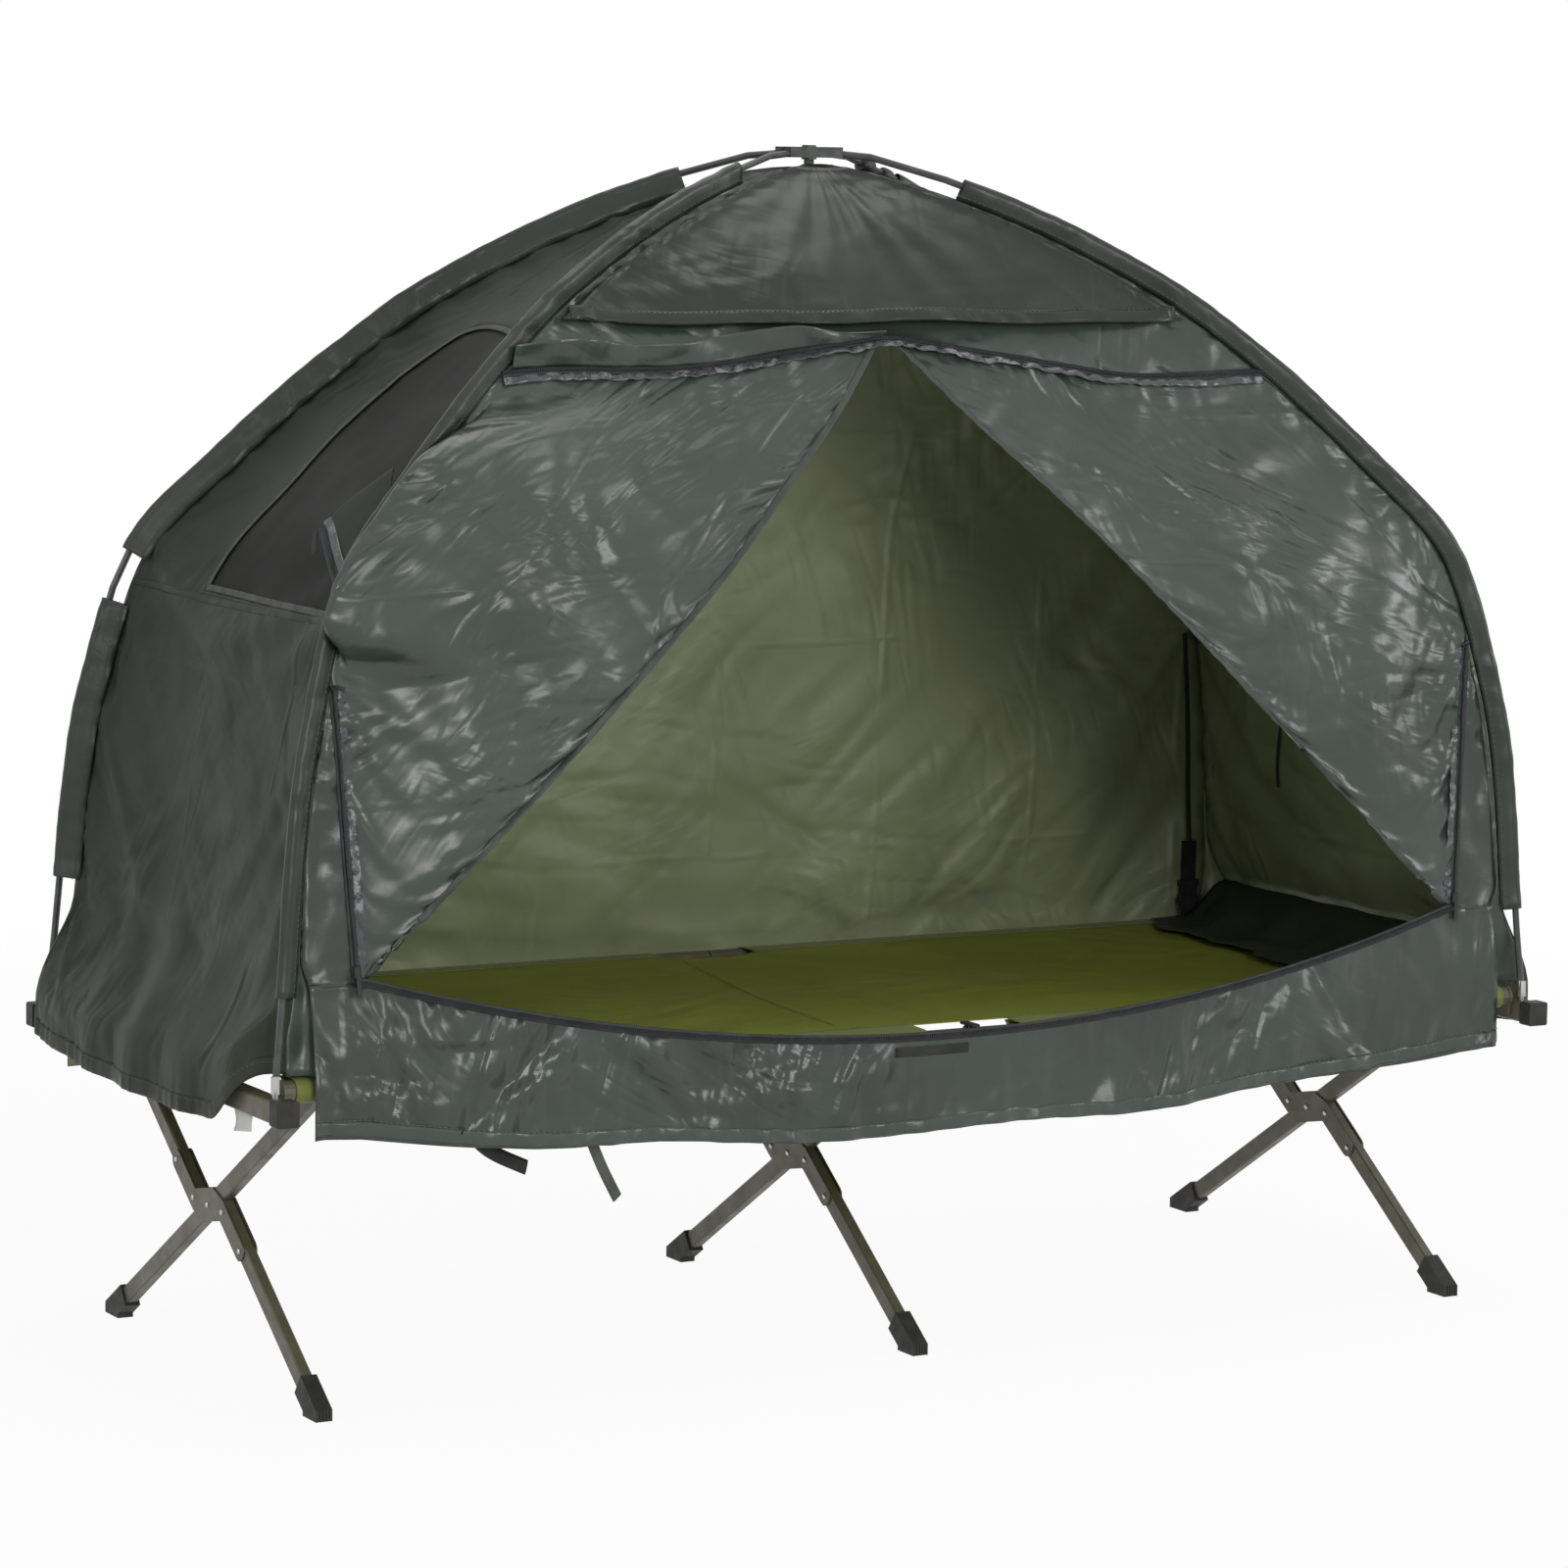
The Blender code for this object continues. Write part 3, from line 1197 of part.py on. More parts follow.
def make_front_upper(parent):
    """The panel between the top zip and the hub, and the brow that hangs over it."""
    heights = resample([p for p in CANOPY_LINE if p[1] > level(ZIP_CORNER_SHARE)], UPPER_ROWS)
    top = heights[-1][1]
    corner = level(ZIP_CORNER_SHARE)

    def upper_point(share, w):
        """Points keep their share of the way from the zip line to the top."""
        base = share * UPPER_ROWS
        low = int(min(base, UPPER_ROWS - 1))
        height = lerp(heights[low][1], heights[low + 1][1], base - low)
        settled = height
        for _ in range(SEAM_PASSES):
            x = w * (seam_reach(settled) * POLE_COS - SEAM_INSET)
            rise = max(zip_height(x) + GAP - corner, 0.0)
            settled = height + rise * (top - height) / (top - corner)
        x = w * (seam_reach(settled) * POLE_COS - SEAM_INSET)
        return front_point(x, settled)

    places = [-1 + 2 * k / UPPER_COLUMNS for k in range(UPPER_COLUMNS + 1)]
    grid = [[upper_point(i / UPPER_ROWS, w) for w in places] for i in range(UPPER_ROWS + 1)]
    name = "canopy_front_upper"
    add_object(name, sheet(name, grid, CLOTH), "canopy_cloth", parent, smooth=50)
    hem = level(BROW_HEM_SHARE)
    start = min(k for k in range(UPPER_ROWS) if grid[k][UPPER_COLUMNS // 2].z > hem - CLOTH)
    rows = grid[start:UPPER_ROWS]
    brow = []
    for i, row in enumerate(rows):
        share = 1 - i / (len(rows) - 1)
        new = []
        for k, point in enumerate(row):
            w = places[k]
            half = abs(row[-1].x)
            inset = min(BROW_SIDE_INSET, half / 2)
            x = w * (half - inset)
            lift = lerp(BROW_SEAM_LIFT, BROW_LIFT, share)
            out = BROW_REACH * share ** 2 * (1 - w * w)
            out += FLAP_FOLD / 2 * share * (1 - w * w) * math.cos(BROW_FOLD_WAVES * math.pi * w)
            new.append(Vector((x, point.y - out - lift / 2, point.z + lift + out / 3)))
        brow.append(new)
    add_object("canopy_brow", sheet("canopy_brow", brow, CLOTH), "canopy_cloth", parent, smooth=50)


def side_zip_ends():
    """Heights of both ends of the side zips."""
    low, corner = level(DOOR_CORNER_SHARE), level(ZIP_CORNER_SHARE)
    return low, lerp(low + FLAP_FOOT_GAP, corner, SIDE_ZIP_ROWS / FLAP_ROWS) - ZIP_GAP


def side_zip_x(height):
    """Distance of the side zip from the middle, between the door's lower corner and the seam."""
    low, high = side_zip_ends()
    seam = seam_reach(high) * POLE_COS - SEAM_INSET - CORNER_TIP_WIDTH
    return lerp(DOOR_CORNER_X + DOOR_CORNER_WIDTH, seam, (height - low) / (high - low))


def make_flaps(parent):
    """The two door halves, drawn aside from the peak to the lower corners."""
    low = level(DOOR_CORNER_SHARE) + FLAP_FOOT_GAP
    for side, sign in (("left", -1), ("right", 1)):
        grid = []
        for i in range(FLAP_ROWS + 1):
            t = i / FLAP_ROWS
            outer_height = lerp(low, level(ZIP_CORNER_SHARE), t)
            inner_height = lerp(low, level(DOOR_PEAK_SHARE), t)
            if i > SIDE_ZIP_ROWS:
                outer = seam_reach(outer_height) * POLE_COS - SEAM_INSET
            else:
                outer = side_zip_x(outer_height) - ZIP_GAP
            inner = lerp(DOOR_CORNER_X, DOOR_PEAK_GAP, t)
            row = []
            for k in range(FLAP_COLUMNS + 1):
                p = k / FLAP_COLUMNS
                x = lerp(outer, inner, p)
                height = lerp(outer_height, inner_height, p)
                if i == FLAP_ROWS:
                    height = zip_height(x) - 2 * GAP
                free = max((k - 1) / (FLAP_COLUMNS - 1), 0.0)
                bell = math.sin(math.pi * t) * math.sin(math.pi * free)
                crease = math.sin(FLAP_FOLD_WAVES * math.pi * (p + t)) * math.sin(math.pi * t) * p
                out = FLAP_BULGE * bell + FLAP_FOLD * crease * math.sin(math.pi * free)
                out += FLAP_BULGE / 2 * math.sin(math.pi * t) * free ** 2
                point = front_point(sign * x, height, max(out, 0.0))
                if i <= SIDE_ZIP_ROWS:
                    point.y += zip_shift(outer_height) * (1 - p) ** 2
                row.append(point)
            grid.append(row)
        if sign < 0:
            grid = [list(reversed(row)) for row in grid]
        name = f"door_flap_{side}"
        add_object(name, sheet(name, grid, CLOTH), "door_cloth", parent, smooth=50)


def zip_shift(height):
    """How far the straight side zip stands from the canopy's front at a height, along Y."""
    start, end = zip_line()
    straight = lerp(start.y, end.y, (height - start.z) / (end.z - start.z))
    return straight - front_point(0.0, height).y


def sill_front(height):
    """Y of the sill before its folds."""
    canopy = seam_reach(height) * POLE_SIN
    return -flared(height, canopy, SIDE_SKIRT_Y)


def sill_top(x):
    return level(DOOR_CORNER_SHARE) - SILL_SAG * (1 - min(abs(x) / DOOR_CORNER_X, 1.0) ** 2)


def make_sill(parent):
    """The panel below the door with the strips that run up beside it to the corner seams."""
    corner_x = DOOR_CORNER_X + DOOR_CORNER_WIDTH
    rows = []
    for i in range(SILL_ROWS + 1):
        t = i / SILL_ROWS
        row = []
        for x in sill_columns(SILL_HALF, corner_x):
            share = 1 - min(abs(x) / corner_x, 1.0) ** 2
            hem = SILL_HEM_HEIGHT - SILL_HEM_DIP * share
            height = lerp(hem, sill_top(x), t)
            ripple = 0.5 + 0.5 * math.sin(math.pi * SILL_FOLD_WAVES * x / SILL_HALF + SILL_FOLD_PHASE)
            out = SILL_BULGE * share + FOLD_DEPTH * ripple * share * (1 - t)
            row.append(Vector((x, sill_front(height) - out, height)))
        rows.append(row)
    start, end = zip_line()
    for i in range(1, CORNER_ROWS + 1):
        place = start.lerp(end, i / CORNER_ROWS)
        seam = seam_reach(place.z) * POLE_COS - STRIP_INSET
        rows.append([Vector((x, place.y, place.z)) for x in sill_columns(seam, place.x)])

    def present(i, j):
        return i < SILL_ROWS or j < CORNER_COLUMNS or j >= CORNER_COLUMNS + SILL_COLUMNS

    mesh = sheet("front_sill", rows, CLOTH, present)
    add_object("front_sill", mesh, "door_cloth", parent, smooth=50)


def sill_columns(outer, inner):
    """Places along X: the corner strips at both ends and the sill between them."""
    strip = [lerp(outer, inner, k / CORNER_COLUMNS) for k in range(CORNER_COLUMNS)]
    middle = [lerp(-inner, inner, k / SILL_COLUMNS) for k in range(SILL_COLUMNS + 1)]
    return [-x for x in strip] + middle + list(reversed(strip))


def make_sliders():
    """A zip slider at the foot of each side zip, on its own axis along the zip."""
    start, end = zip_line()
    along = (end - start).normalized()
    for side, sign in (("left", -1), ("right", 1)):
        body = prism("slider_body", box_outline(SLIDER_WIDTH, SLIDER_DEPTH, SLIDER_PULL_DEPTH),
                     -SLIDER_HEIGHT / 2, SLIDER_HEIGHT / 2, "Z")
        pull = prism("slider_pull", box_outline(SLIDER_PULL_WIDTH, SLIDER_PULL_DEPTH),
                     -SLIDER_HEIGHT / 2 - SLIDER_PULL_LENGTH, -SLIDER_HEIGHT / 4, "Z")
        pull.transform(Matrix.Translation((0.0, -SLIDER_DEPTH / 2, 0.0)))
        way = Vector((sign * along.x, along.y, along.z))
        turn = Vector((0.0, 0.0, 1.0)).rotation_difference(way).to_matrix().to_4x4()
        place = start.lerp(end, SLIDER_HEIGHT / (end - start).length)
        place.x *= sign
        place.y -= CLOTH / 2 + SLIDER_DEPTH / 2 + 2 * GAP
        axis = add_empty(f"zip_{side}_axis", place, TENT)
        body.transform(turn)
        pull.transform(turn)
        item = add_object(f"zip_slider_{side}", body, "black_plastic", axis, place)
        boolean(item, pull, "UNION")


def zip_line():
    """Both ends of the right side zip, which runs straight up the sill's corner strip."""
    low, high = side_zip_ends()
    return (
        Vector((side_zip_x(low), sill_front(low), low)),
        Vector((side_zip_x(high), sill_front(high), high)),
    )


# Corner buckle

def make_buckle(parent):
    """The closed side-release buckle at the back right corner, with its strap."""
    half, waist = BUCKLE_WIDTH / 2, BUCKLE_WIDTH / 2 - BUCKLE_WAIST_INSET
    button, step = BUCKLE_HEIGHT / 3, BUCKLE_WAIST_INSET
    right = [
        (waist, -PLUG_BASE), (waist, 0.0), (half, 0.0), (half, button - step), (waist, button),
        (waist, 2 * button), (half, 2 * button + step), (half, BUCKLE_HEIGHT),
    ]
    outline = right + [(-x, z) for x, z in reversed(right)]
    mesh = prism("corner_buckle", outline, -BUCKLE_DEPTH / 2, BUCKLE_DEPTH / 2, "Y")
    place = (BUCKLE_X, RAIL_Y, BUCKLE_BASE_HEIGHT)
    item = add_object("corner_buckle", mesh, "black_plastic", parent, place)
    bottom = BED_TOP + CLOTH / 2 + GAP - BUCKLE_BASE_HEIGHT
    strap = prism("buckle_strap", box_outline(STRAP_WIDTH, STRAP_THICKNESS),
                  bottom, BUCKLE_HEIGHT + UPPER_STRAP_LENGTH, "Z")
    strap.materials.append(MATERIALS["webbing"])
    boolean(item, strap, "UNION")


clear_scene()
MATERIALS = make_materials()
ROOT = add_empty("bed_frame", (0.0, 0.0, 0.0))
AXIS_A = add_empty("long_leg_axis", (0.0, -HINGE_Y, HINGE_Z), ROOT)
AXIS_B = add_empty("split_leg_axis", (0.0, 0.0, PIVOT_HEIGHT), AXIS_A)
BACK = add_empty("back_rail_axis", (0.0, HINGE_Y, HINGE_Z), AXIS_B)
TENT = add_empty("tent_lift_axis", (0.0, 0.0, BAR_TOP), ROOT)
for SIDE, SIGN, OWNER in (("front", -1, ROOT), ("back", 1, BACK)):
    make_rails(SIDE, SIGN, OWNER)
    make_link(SIDE, SIGN, OWNER)
    make_brackets(SIDE, SIGN, OWNER)
make_end_bars(ROOT)
make_legs(AXIS_A, AXIS_B)
make_bed(ROOT, BACK)
make_poles(TENT)
make_hub(TENT)
make_sleeves(TENT)
make_end_walls(TENT)
make_back_wall(TENT)
make_front_upper(TENT)
make_flaps(TENT)
make_sill(TENT)
make_sliders()
make_buckle(TENT)
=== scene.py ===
"""Tent cot: its cloth, trim and finishes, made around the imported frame."""

import logging
import math
from dataclasses import dataclass, field, replace
from enum import Enum
from typing import ClassVar

import bmesh
import bpy
import numpy as np
from mathutils import Matrix, Vector, noise


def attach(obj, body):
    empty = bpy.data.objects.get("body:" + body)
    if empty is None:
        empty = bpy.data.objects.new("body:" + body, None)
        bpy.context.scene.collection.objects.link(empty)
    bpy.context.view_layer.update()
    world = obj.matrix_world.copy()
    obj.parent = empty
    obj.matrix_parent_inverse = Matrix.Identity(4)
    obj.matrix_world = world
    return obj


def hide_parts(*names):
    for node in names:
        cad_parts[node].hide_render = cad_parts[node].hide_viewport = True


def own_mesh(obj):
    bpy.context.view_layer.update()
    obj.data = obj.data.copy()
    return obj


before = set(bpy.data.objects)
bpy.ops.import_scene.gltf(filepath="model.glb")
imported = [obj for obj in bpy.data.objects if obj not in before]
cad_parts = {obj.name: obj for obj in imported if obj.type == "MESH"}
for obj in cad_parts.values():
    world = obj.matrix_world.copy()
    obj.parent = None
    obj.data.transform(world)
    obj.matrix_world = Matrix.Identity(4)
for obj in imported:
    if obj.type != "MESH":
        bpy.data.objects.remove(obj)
LOG = logging.getLogger("tent_cot")
CLOTH_MAP = "cloth"

Item = bpy.types.Object
Material = bpy.types.Material
Node = bpy.types.Node
Tree = bpy.types.NodeTree
Source = bpy.types.Node | bpy.types.NodeSocket
Number = float | np.ndarray
Line = tuple[np.ndarray, np.ndarray]


# Small shared tools

def linear(colour: str) -> tuple[float, float, float, float]:
    """Turn an sRGB hex colour into linear values.

    Args:
        colour: six hex digits after a hash sign.

    Returns:
        Linear red, green, blue and full alpha.
    """
    parts = [int(colour[k:k + 2], 16) / 255 for k in (1, 3, 5)]
    lit = [c / 12.92 if c <= 0.04045 else ((c + 0.055) / 1.055) ** 2.4 for c in parts]
    return (lit[0], lit[1], lit[2], 1.0)


def add(tree: Tree, kind: str, settings: dict | None = None, inputs: dict | None = None) -> Node:
    """Add one node with its settings, values and links.

    Args:
        tree: the node tree.
        kind: the node's type name.
        settings: attributes by name.
        inputs: by input name or index, a value, an output socket, or a node for its first output.

    Returns:
        The new node.
    """
    node = tree.nodes.new(kind)
    for name, value in (settings or {}).items():
        setattr(node, name, value)
    for key, value in (inputs or {}).items():
        if isinstance(value, Node):
            value = value.outputs[0]
        if isinstance(value, bpy.types.NodeSocket):
            tree.links.new(value, node.inputs[key])
        else:
            node.inputs[key].default_value = value
    return node


def smooth(t: Number) -> Number:
    """Ease a share between 0 and 1."""
    t = np.clip(t, 0.0, 1.0)
    return t * t * (3 - 2 * t)


def mix(a: Number, b: Number, t: Number) -> Number:
    """Go straight from a to b."""
    return a + (b - a) * t


def unit(v: np.ndarray) -> np.ndarray:
    """Make each vector one long."""
    return v / np.maximum(np.linalg.norm(v, axis=-1, keepdims=True), 1e-12)


def wave_noise(points: np.ndarray, seed: float) -> np.ndarray:
    """Smooth noise between -1 and 1 at each point.

    Args:
        points: an array whose last axis is a place, in waves.
        seed: a shift that makes one pattern differ from the next.

    Returns:
        One value for each point.
    """
    shift = Vector((seed, seed * 1.7, seed * 0.6))
    values = [noise.noise(Vector(p) + shift) for p in points.reshape(-1, 3)]
    return np.array(values).reshape(points.shape[:-1])


def curve_through(points: list, samples: int) -> np.ndarray:
    """A smooth curve through points.

    Args:
        points: the places that it passes.
        samples: steps between two of them.

    Returns:
        The curve's points, one row each.
    """
    p = np.array(points, float)
    p = np.vstack([p[:1], p, p[-1:]])
    t = (np.arange(samples) / samples)[:, None]
    spans = []
    for a, b, c, d in zip(p, p[1:], p[2:], p[3:]):
        spans.append(0.5 * (2 * b + (c - a) * t + (2 * a - 5 * b + 4 * c - d) * t ** 2
                            + (3 * b - a - 3 * c + d) * t ** 3))
    return np.vstack(spans + [p[-1:]])


def along(line: np.ndarray) -> np.ndarray:
    """Distance from a polyline's start to each of its points."""
    return np.concatenate([[0.0], np.cumsum(np.linalg.norm(np.diff(line, axis=0), axis=1))])


def even(line: np.ndarray, count: int) -> np.ndarray:
    """The same polyline in a count of even steps."""
    at = np.linspace(0.0, along(line)[-1], count + 1)
    return np.stack([np.interp(at, along(line), values) for values in line.T], axis=1)


def shares(rows: int, columns: int) -> tuple[np.ndarray, np.ndarray]:
    """Shares from 0 to 1 up a grid's rows of points and across its columns."""
    return np.linspace(0, 1, rows)[:, None], np.linspace(0, 1, columns)[None, :]


def spots_between(columns: tuple, rows: tuple, count: int) -> np.ndarray:
    """Even (column, row) places from the first column and row to the last ones."""
    return np.stack([np.linspace(*columns, count), np.linspace(*rows, count)], axis=1)


# Sizes and lines that the cloth follows

@dataclass(frozen=True)
class Plan:
    """Sizes of the cot that the cloth hangs on, in metres, as the frame has them."""

    rail_y: float = 0.372
    rail_z: float = 0.430
    joint_x: float = 0.058
    leg_x: float = 0.872
    bar_x: float = 0.955
    bar_top: float = 0.425
    tip_y: float = 0.389
    peak: float = 1.600
    base: float = 0.453
    drop: float = 0.020
    top_reach: float = 0.012
    clearance: float = 0.009
    flare: float = 0.150
    end_x: float = 0.979
    end_half: float = 0.372
    side_y: float = 0.397
    back_half: float = 0.922
    end_hem: float = 0.398
    end_dip: float = 0.025
    corner_rise: float = 0.062
    back_hem: float = 0.340
    seam: float = 0.0012
    sag: float = 0.012
    fold: float = 0.009
    door_peak: float = 1.345
    zip_corner: float = 1.3075
    brow_hem: float = 1.371
    corner_low: float = 0.562
    corner_x: float = 0.830
    side_zip_x: float = 0.840
    side_zip_top: float = 0.4198
    sill_half: float = 0.905

    @property
    def reach(self) -> float:
        """Distance of a pole's foot from the middle."""
        return math.hypot(self.bar_x, self.tip_y)

    @property
    def cos(self) -> float:
        """Share of a pole's reach that runs along the bed."""
        return self.bar_x / self.reach

    @property
    def sin(self) -> float:
        """Share of a pole's reach that runs across the bed."""
        return self.tip_y / self.reach

    def level(self, share: float) -> float:
        """Height of a share of the pole's rise."""
        return self.base + (self.peak - self.base) * share


PLAN = Plan()
ARC_SHARES = (
    (1.000, 0.000), (0.987, 0.090), (0.971, 0.252), (0.945, 0.378), (0.886, 0.533),
    (0.769, 0.644), (0.636, 0.751), (0.487, 0.847), (0.292, 0.934), (0.097, 0.992),
    (0.000, 1.000),
)
CORNERS = {"front_left": (-1, -1), "front_right": (1, -1), "back_left": (-1, 1), "back_right": (1, 1)}
SIDES = {"left": -1, "right": 1}


class Arc:
    """The bent line of a pole and the canopy's seam below it, as (reach, height)."""

    def __init__(self) -> None:
        """Work both lines out from the pole's shares."""
        rise = PLAN.peak - PLAN.base
        self.pole = curve_through([(PLAN.reach * r, PLAN.base + rise * h) for r, h in ARC_SHARES], 24)
        way = unit(np.gradient(self.pole, axis=0))
        inner = self.pole + np.stack([-way[:, 1], way[:, 0]], axis=1) * PLAN.drop
        self.canopy = inner[inner[:, 0] >= PLAN.top_reach]

    def seam(self, height: Number) -> Number:
        """Reach of the canopy's seam at a height."""
        return np.interp(height, self.canopy[:, 1], self.canopy[:, 0])

    def low_seam(self, height: Number) -> Number:
        """The same, but the seam's foot for heights below it."""
        return self.seam(np.maximum(height, self.canopy[0, 1]))

    def side_x(self, height: Number) -> Number:
        """Distance of the front's corner seam from the middle at a height."""
        return self.seam(height) * PLAN.cos - PLAN.seam


ARC = Arc()


def flared(height: Number, canopy: Number, skirt: float) -> Number:
    """Distance of a wall from the middle: the canopy's above, the skirt's below."""
    return mix(skirt, canopy, smooth((height - PLAN.bar_top - PLAN.clearance) / PLAN.flare))


class Surface:
    """A grid of points over one panel of cloth, with its flat coordinates in metres."""

    def __init__(self, points: np.ndarray, flat: np.ndarray | None = None) -> None:
        """Keep the points, and lay the flat coordinates out along the middle lines.

        Args:
            points: rows of columns of places, seen from outside with rows upwards.
            flat: flat coordinates to keep instead.
        """
        self.points, self.flat = points, flat
        self.rows, self.columns = points.shape[:2]
        self.middle = self.columns // 2
        if flat is None:
            across = np.zeros((self.rows, self.columns))
            across[:, 1:] = np.cumsum(np.linalg.norm(np.diff(points, axis=1), axis=2), axis=1)
            across -= across[:, self.middle:self.middle + 1]
            up = np.repeat(along(points[:, self.middle])[:, None], self.columns, axis=1)
            self.flat = np.stack([across, up], axis=-1)

    @classmethod
    def of(cls, x: Number, y: Number, z: Number) -> "Surface":
        """A panel from its three coordinates, each spread over the grid."""
        return cls(np.stack(np.broadcast_arrays(x, y, z), axis=-1))

    @property
    def normals(self) -> np.ndarray:
        """Outward normal at each point of the grid."""
        return unit(np.cross(np.gradient(self.points, axis=1), np.gradient(self.points, axis=0)))

    @property
    def row_step(self) -> float:
        """Height of the lowest row at the middle."""
        return float(np.linalg.norm(self.points[1, self.middle] - self.points[0, self.middle]))

    @property
    def area(self) -> float:
        """Area of the panel in square metres."""
        a = self.points[1:, 1:] - self.points[:-1, :-1]
        return float(np.linalg.norm(np.cross(a, self.points[1:, :-1] - self.points[:-1, 1:]), axis=2).sum() / 2)

    @property
    def width(self) -> float:
        """Length of the longest row."""
        return max(float(along(row)[-1]) for row in self.points)

    @property
    def flat_size(self) -> dict:
        return {"flat": (round(self.width, 4), round(self.area / self.width * 1.05, 4)),
                "area": round(self.area, 4)}

    def facing(self, axis: int, sign: int) -> "Surface":
        """The same panel, turned over if its outside points the other way along an axis."""
        return self if self.normals[..., axis].mean() * sign > 0 else Surface(self.points[:, ::-1])

    def read(self, values: np.ndarray, spots: np.ndarray) -> np.ndarray:
        """Read a grid of values between its points.

        Args:
            values: one value or vector for each point of the grid.
            spots: the (column, row) places to read at.

        Returns:
            One value or vector for each place.
        """
        u = np.clip(spots[..., 0], 0, self.columns - 1 - 1e-6)
        v = np.clip(spots[..., 1], 0, self.rows - 1 - 1e-6)
        i, j = v.astype(int), u.astype(int)
        s, t = (u - j)[..., None], (v - i)[..., None]
        low = values[i, j] * (1 - s) + values[i, j + 1] * s
        high = values[i + 1, j] * (1 - s) + values[i + 1, j + 1] * s
        return low * (1 - t) + high * t

    def line(self, spots: np.ndarray, lift: float = 0.0) -> Line:
        """Points and normals along a run of (column, row) places, lifted off the cloth."""
        normal = unit(self.read(self.normals, spots))
        return self.read(self.points, spots) + normal * lift, normal


def inside(outline: np.ndarray, spots: np.ndarray) -> np.ndarray:
    """Find which places lie in a closed outline.

    Args:
        outline: its corners.
        spots: the places.

    Returns:
        True for each place inside.
    """
    found = np.zeros(spots.shape[:-1], bool)
    x, y = spots[..., 0], spots[..., 1]
    for (x0, y0), (x1, y1) in zip(outline, np.roll(outline, -1, axis=0)):
        if y0 == y1:
            continue
        crosses = (y0 > y) != (y1 > y)
        found ^= crosses & (x < x0 + (y - y0) * (x1 - x0) / (y1 - y0))
    return found


def drawn_to(outline: np.ndarray, spots: np.ndarray, reach: float) -> np.ndarray:
    """Move the places that lie close to a closed outline onto it.

    Args:
        outline: its corners.
        spots: the places.
        reach: how close is close.

    Returns:
        The places, moved or as they were.
    """
    best = np.full(spots.shape[:-1], np.inf)
    moved = spots.copy()
    for a, b in zip(outline, np.roll(outline, -1, axis=0)):
        d = b - a
        t = np.clip(((spots - a) @ d) / max(float(d @ d), 1e-12), 0, 1)
        near = a + t[..., None] * d
        gap = np.linalg.norm(near - spots, axis=-1)
        better = (gap < best) & (gap < reach)
        best[better] = gap[better]
        moved[better] = near[better]
    return moved


def cut(surface: Surface, outline: np.ndarray, keep_inside: bool) -> tuple[Surface, np.ndarray]:
    """Cut a panel along an outline given in (column, row) places.

    Args:
        surface: the whole panel.
        outline: the closed cut line.
        keep_inside: keep the patch inside the line and not the rest.

    Returns:
        The panel with its points drawn onto the line, and which cells stay.
    """
    spots = np.stack(np.meshgrid(np.arange(surface.columns), np.arange(surface.rows)), axis=-1).astype(float)
    moved = drawn_to(outline, spots, 0.62)
    result = Surface(surface.read(surface.points, moved), surface.read(surface.flat, moved))
    middles = (moved[1:, 1:] + moved[:-1, :-1] + moved[1:, :-1] + moved[:-1, 1:]) / 4
    held = inside(outline, middles)
    return result, held if keep_inside else ~held


# Meshes

def make_mesh(name: str, points: np.ndarray, faces: list, flat: np.ndarray | None = None) -> Item:
    """Make an object at the origin from points and faces.

    Args:
        name: the object's name.
        points: one row for each vertex.
        faces: one row for each face.
        flat: flat coordinates for each vertex, for the cloth map.

    Returns:
        The object, linked to the scene.
    """
    mesh = bpy.data.meshes.new(name)
    mesh.from_pydata(points.reshape(-1, 3).tolist(), [], [tuple(map(int, f)) for f in faces])
    if flat is not None:
        layer = mesh.uv_layers.new(name=CLOTH_MAP)
        index = np.zeros(len(mesh.loops), np.int32)
        mesh.loops.foreach_get("vertex_index", index)
        layer.data.foreach_set("uv", flat.reshape(-1, 2)[index].astype(np.float32).ravel())
    mesh.polygons.foreach_set("use_smooth", [True] * len(mesh.polygons))
    item = bpy.data.objects.new(name, mesh)
    bpy.context.scene.collection.objects.link(item)
    return item


def grid_faces(rows: int, columns: int, keep: np.ndarray | None = None) -> np.ndarray:
    """Faces of a grid.

    Args:
        rows: rows of points.
        columns: columns of points.
        keep: which cells stay, if some are cut out.

    Returns:
        Four corners for each face.
    """
    index = np.arange(rows * columns).reshape(rows, columns)
    quads = np.stack([index[:-1, :-1], index[:-1, 1:], index[1:, 1:], index[1:, :-1]], axis=-1)
    return quads[keep] if keep is not None else quads.reshape(-1, 4)


def tube_faces(rings: int, size: int) -> list:
    """Faces of a closed tube of rings, with both its ends."""
    index = np.arange(rings * size).reshape(rings, size)
    turn = np.roll(index, -1, axis=1)
    sides = np.stack([index[:-1], index[1:], turn[1:], turn[:-1]], axis=-1).reshape(-1, 4)
    return [*sides.tolist(), index[0].tolist(), index[-1][::-1].tolist()]


def plain_mesh(item: Item) -> Item:
    """Put the result of an object's modifiers into its mesh and drop them.

    Args:
        item: the object.

    Returns:
        The same object.
    """
    graph = bpy.context.evaluated_depsgraph_get()
    graph.update()
    mesh = bpy.data.meshes.new_from_object(item.evaluated_get(graph), depsgraph=graph)
    item.modifiers.clear()
    old = item.data
    item.data = mesh
    bpy.data.meshes.remove(old)
    return item


def drop_loose(item: Item) -> None:
    """Remove vertices that no face uses.

    Args:
        item: the object.
    """
    work = bmesh.new()
    work.from_mesh(item.data)
    loose = [v for v in work.verts if not v.link_faces]
    bmesh.ops.delete(work, geom=loose, context="VERTS")
    work.to_mesh(item.data)
    work.free()


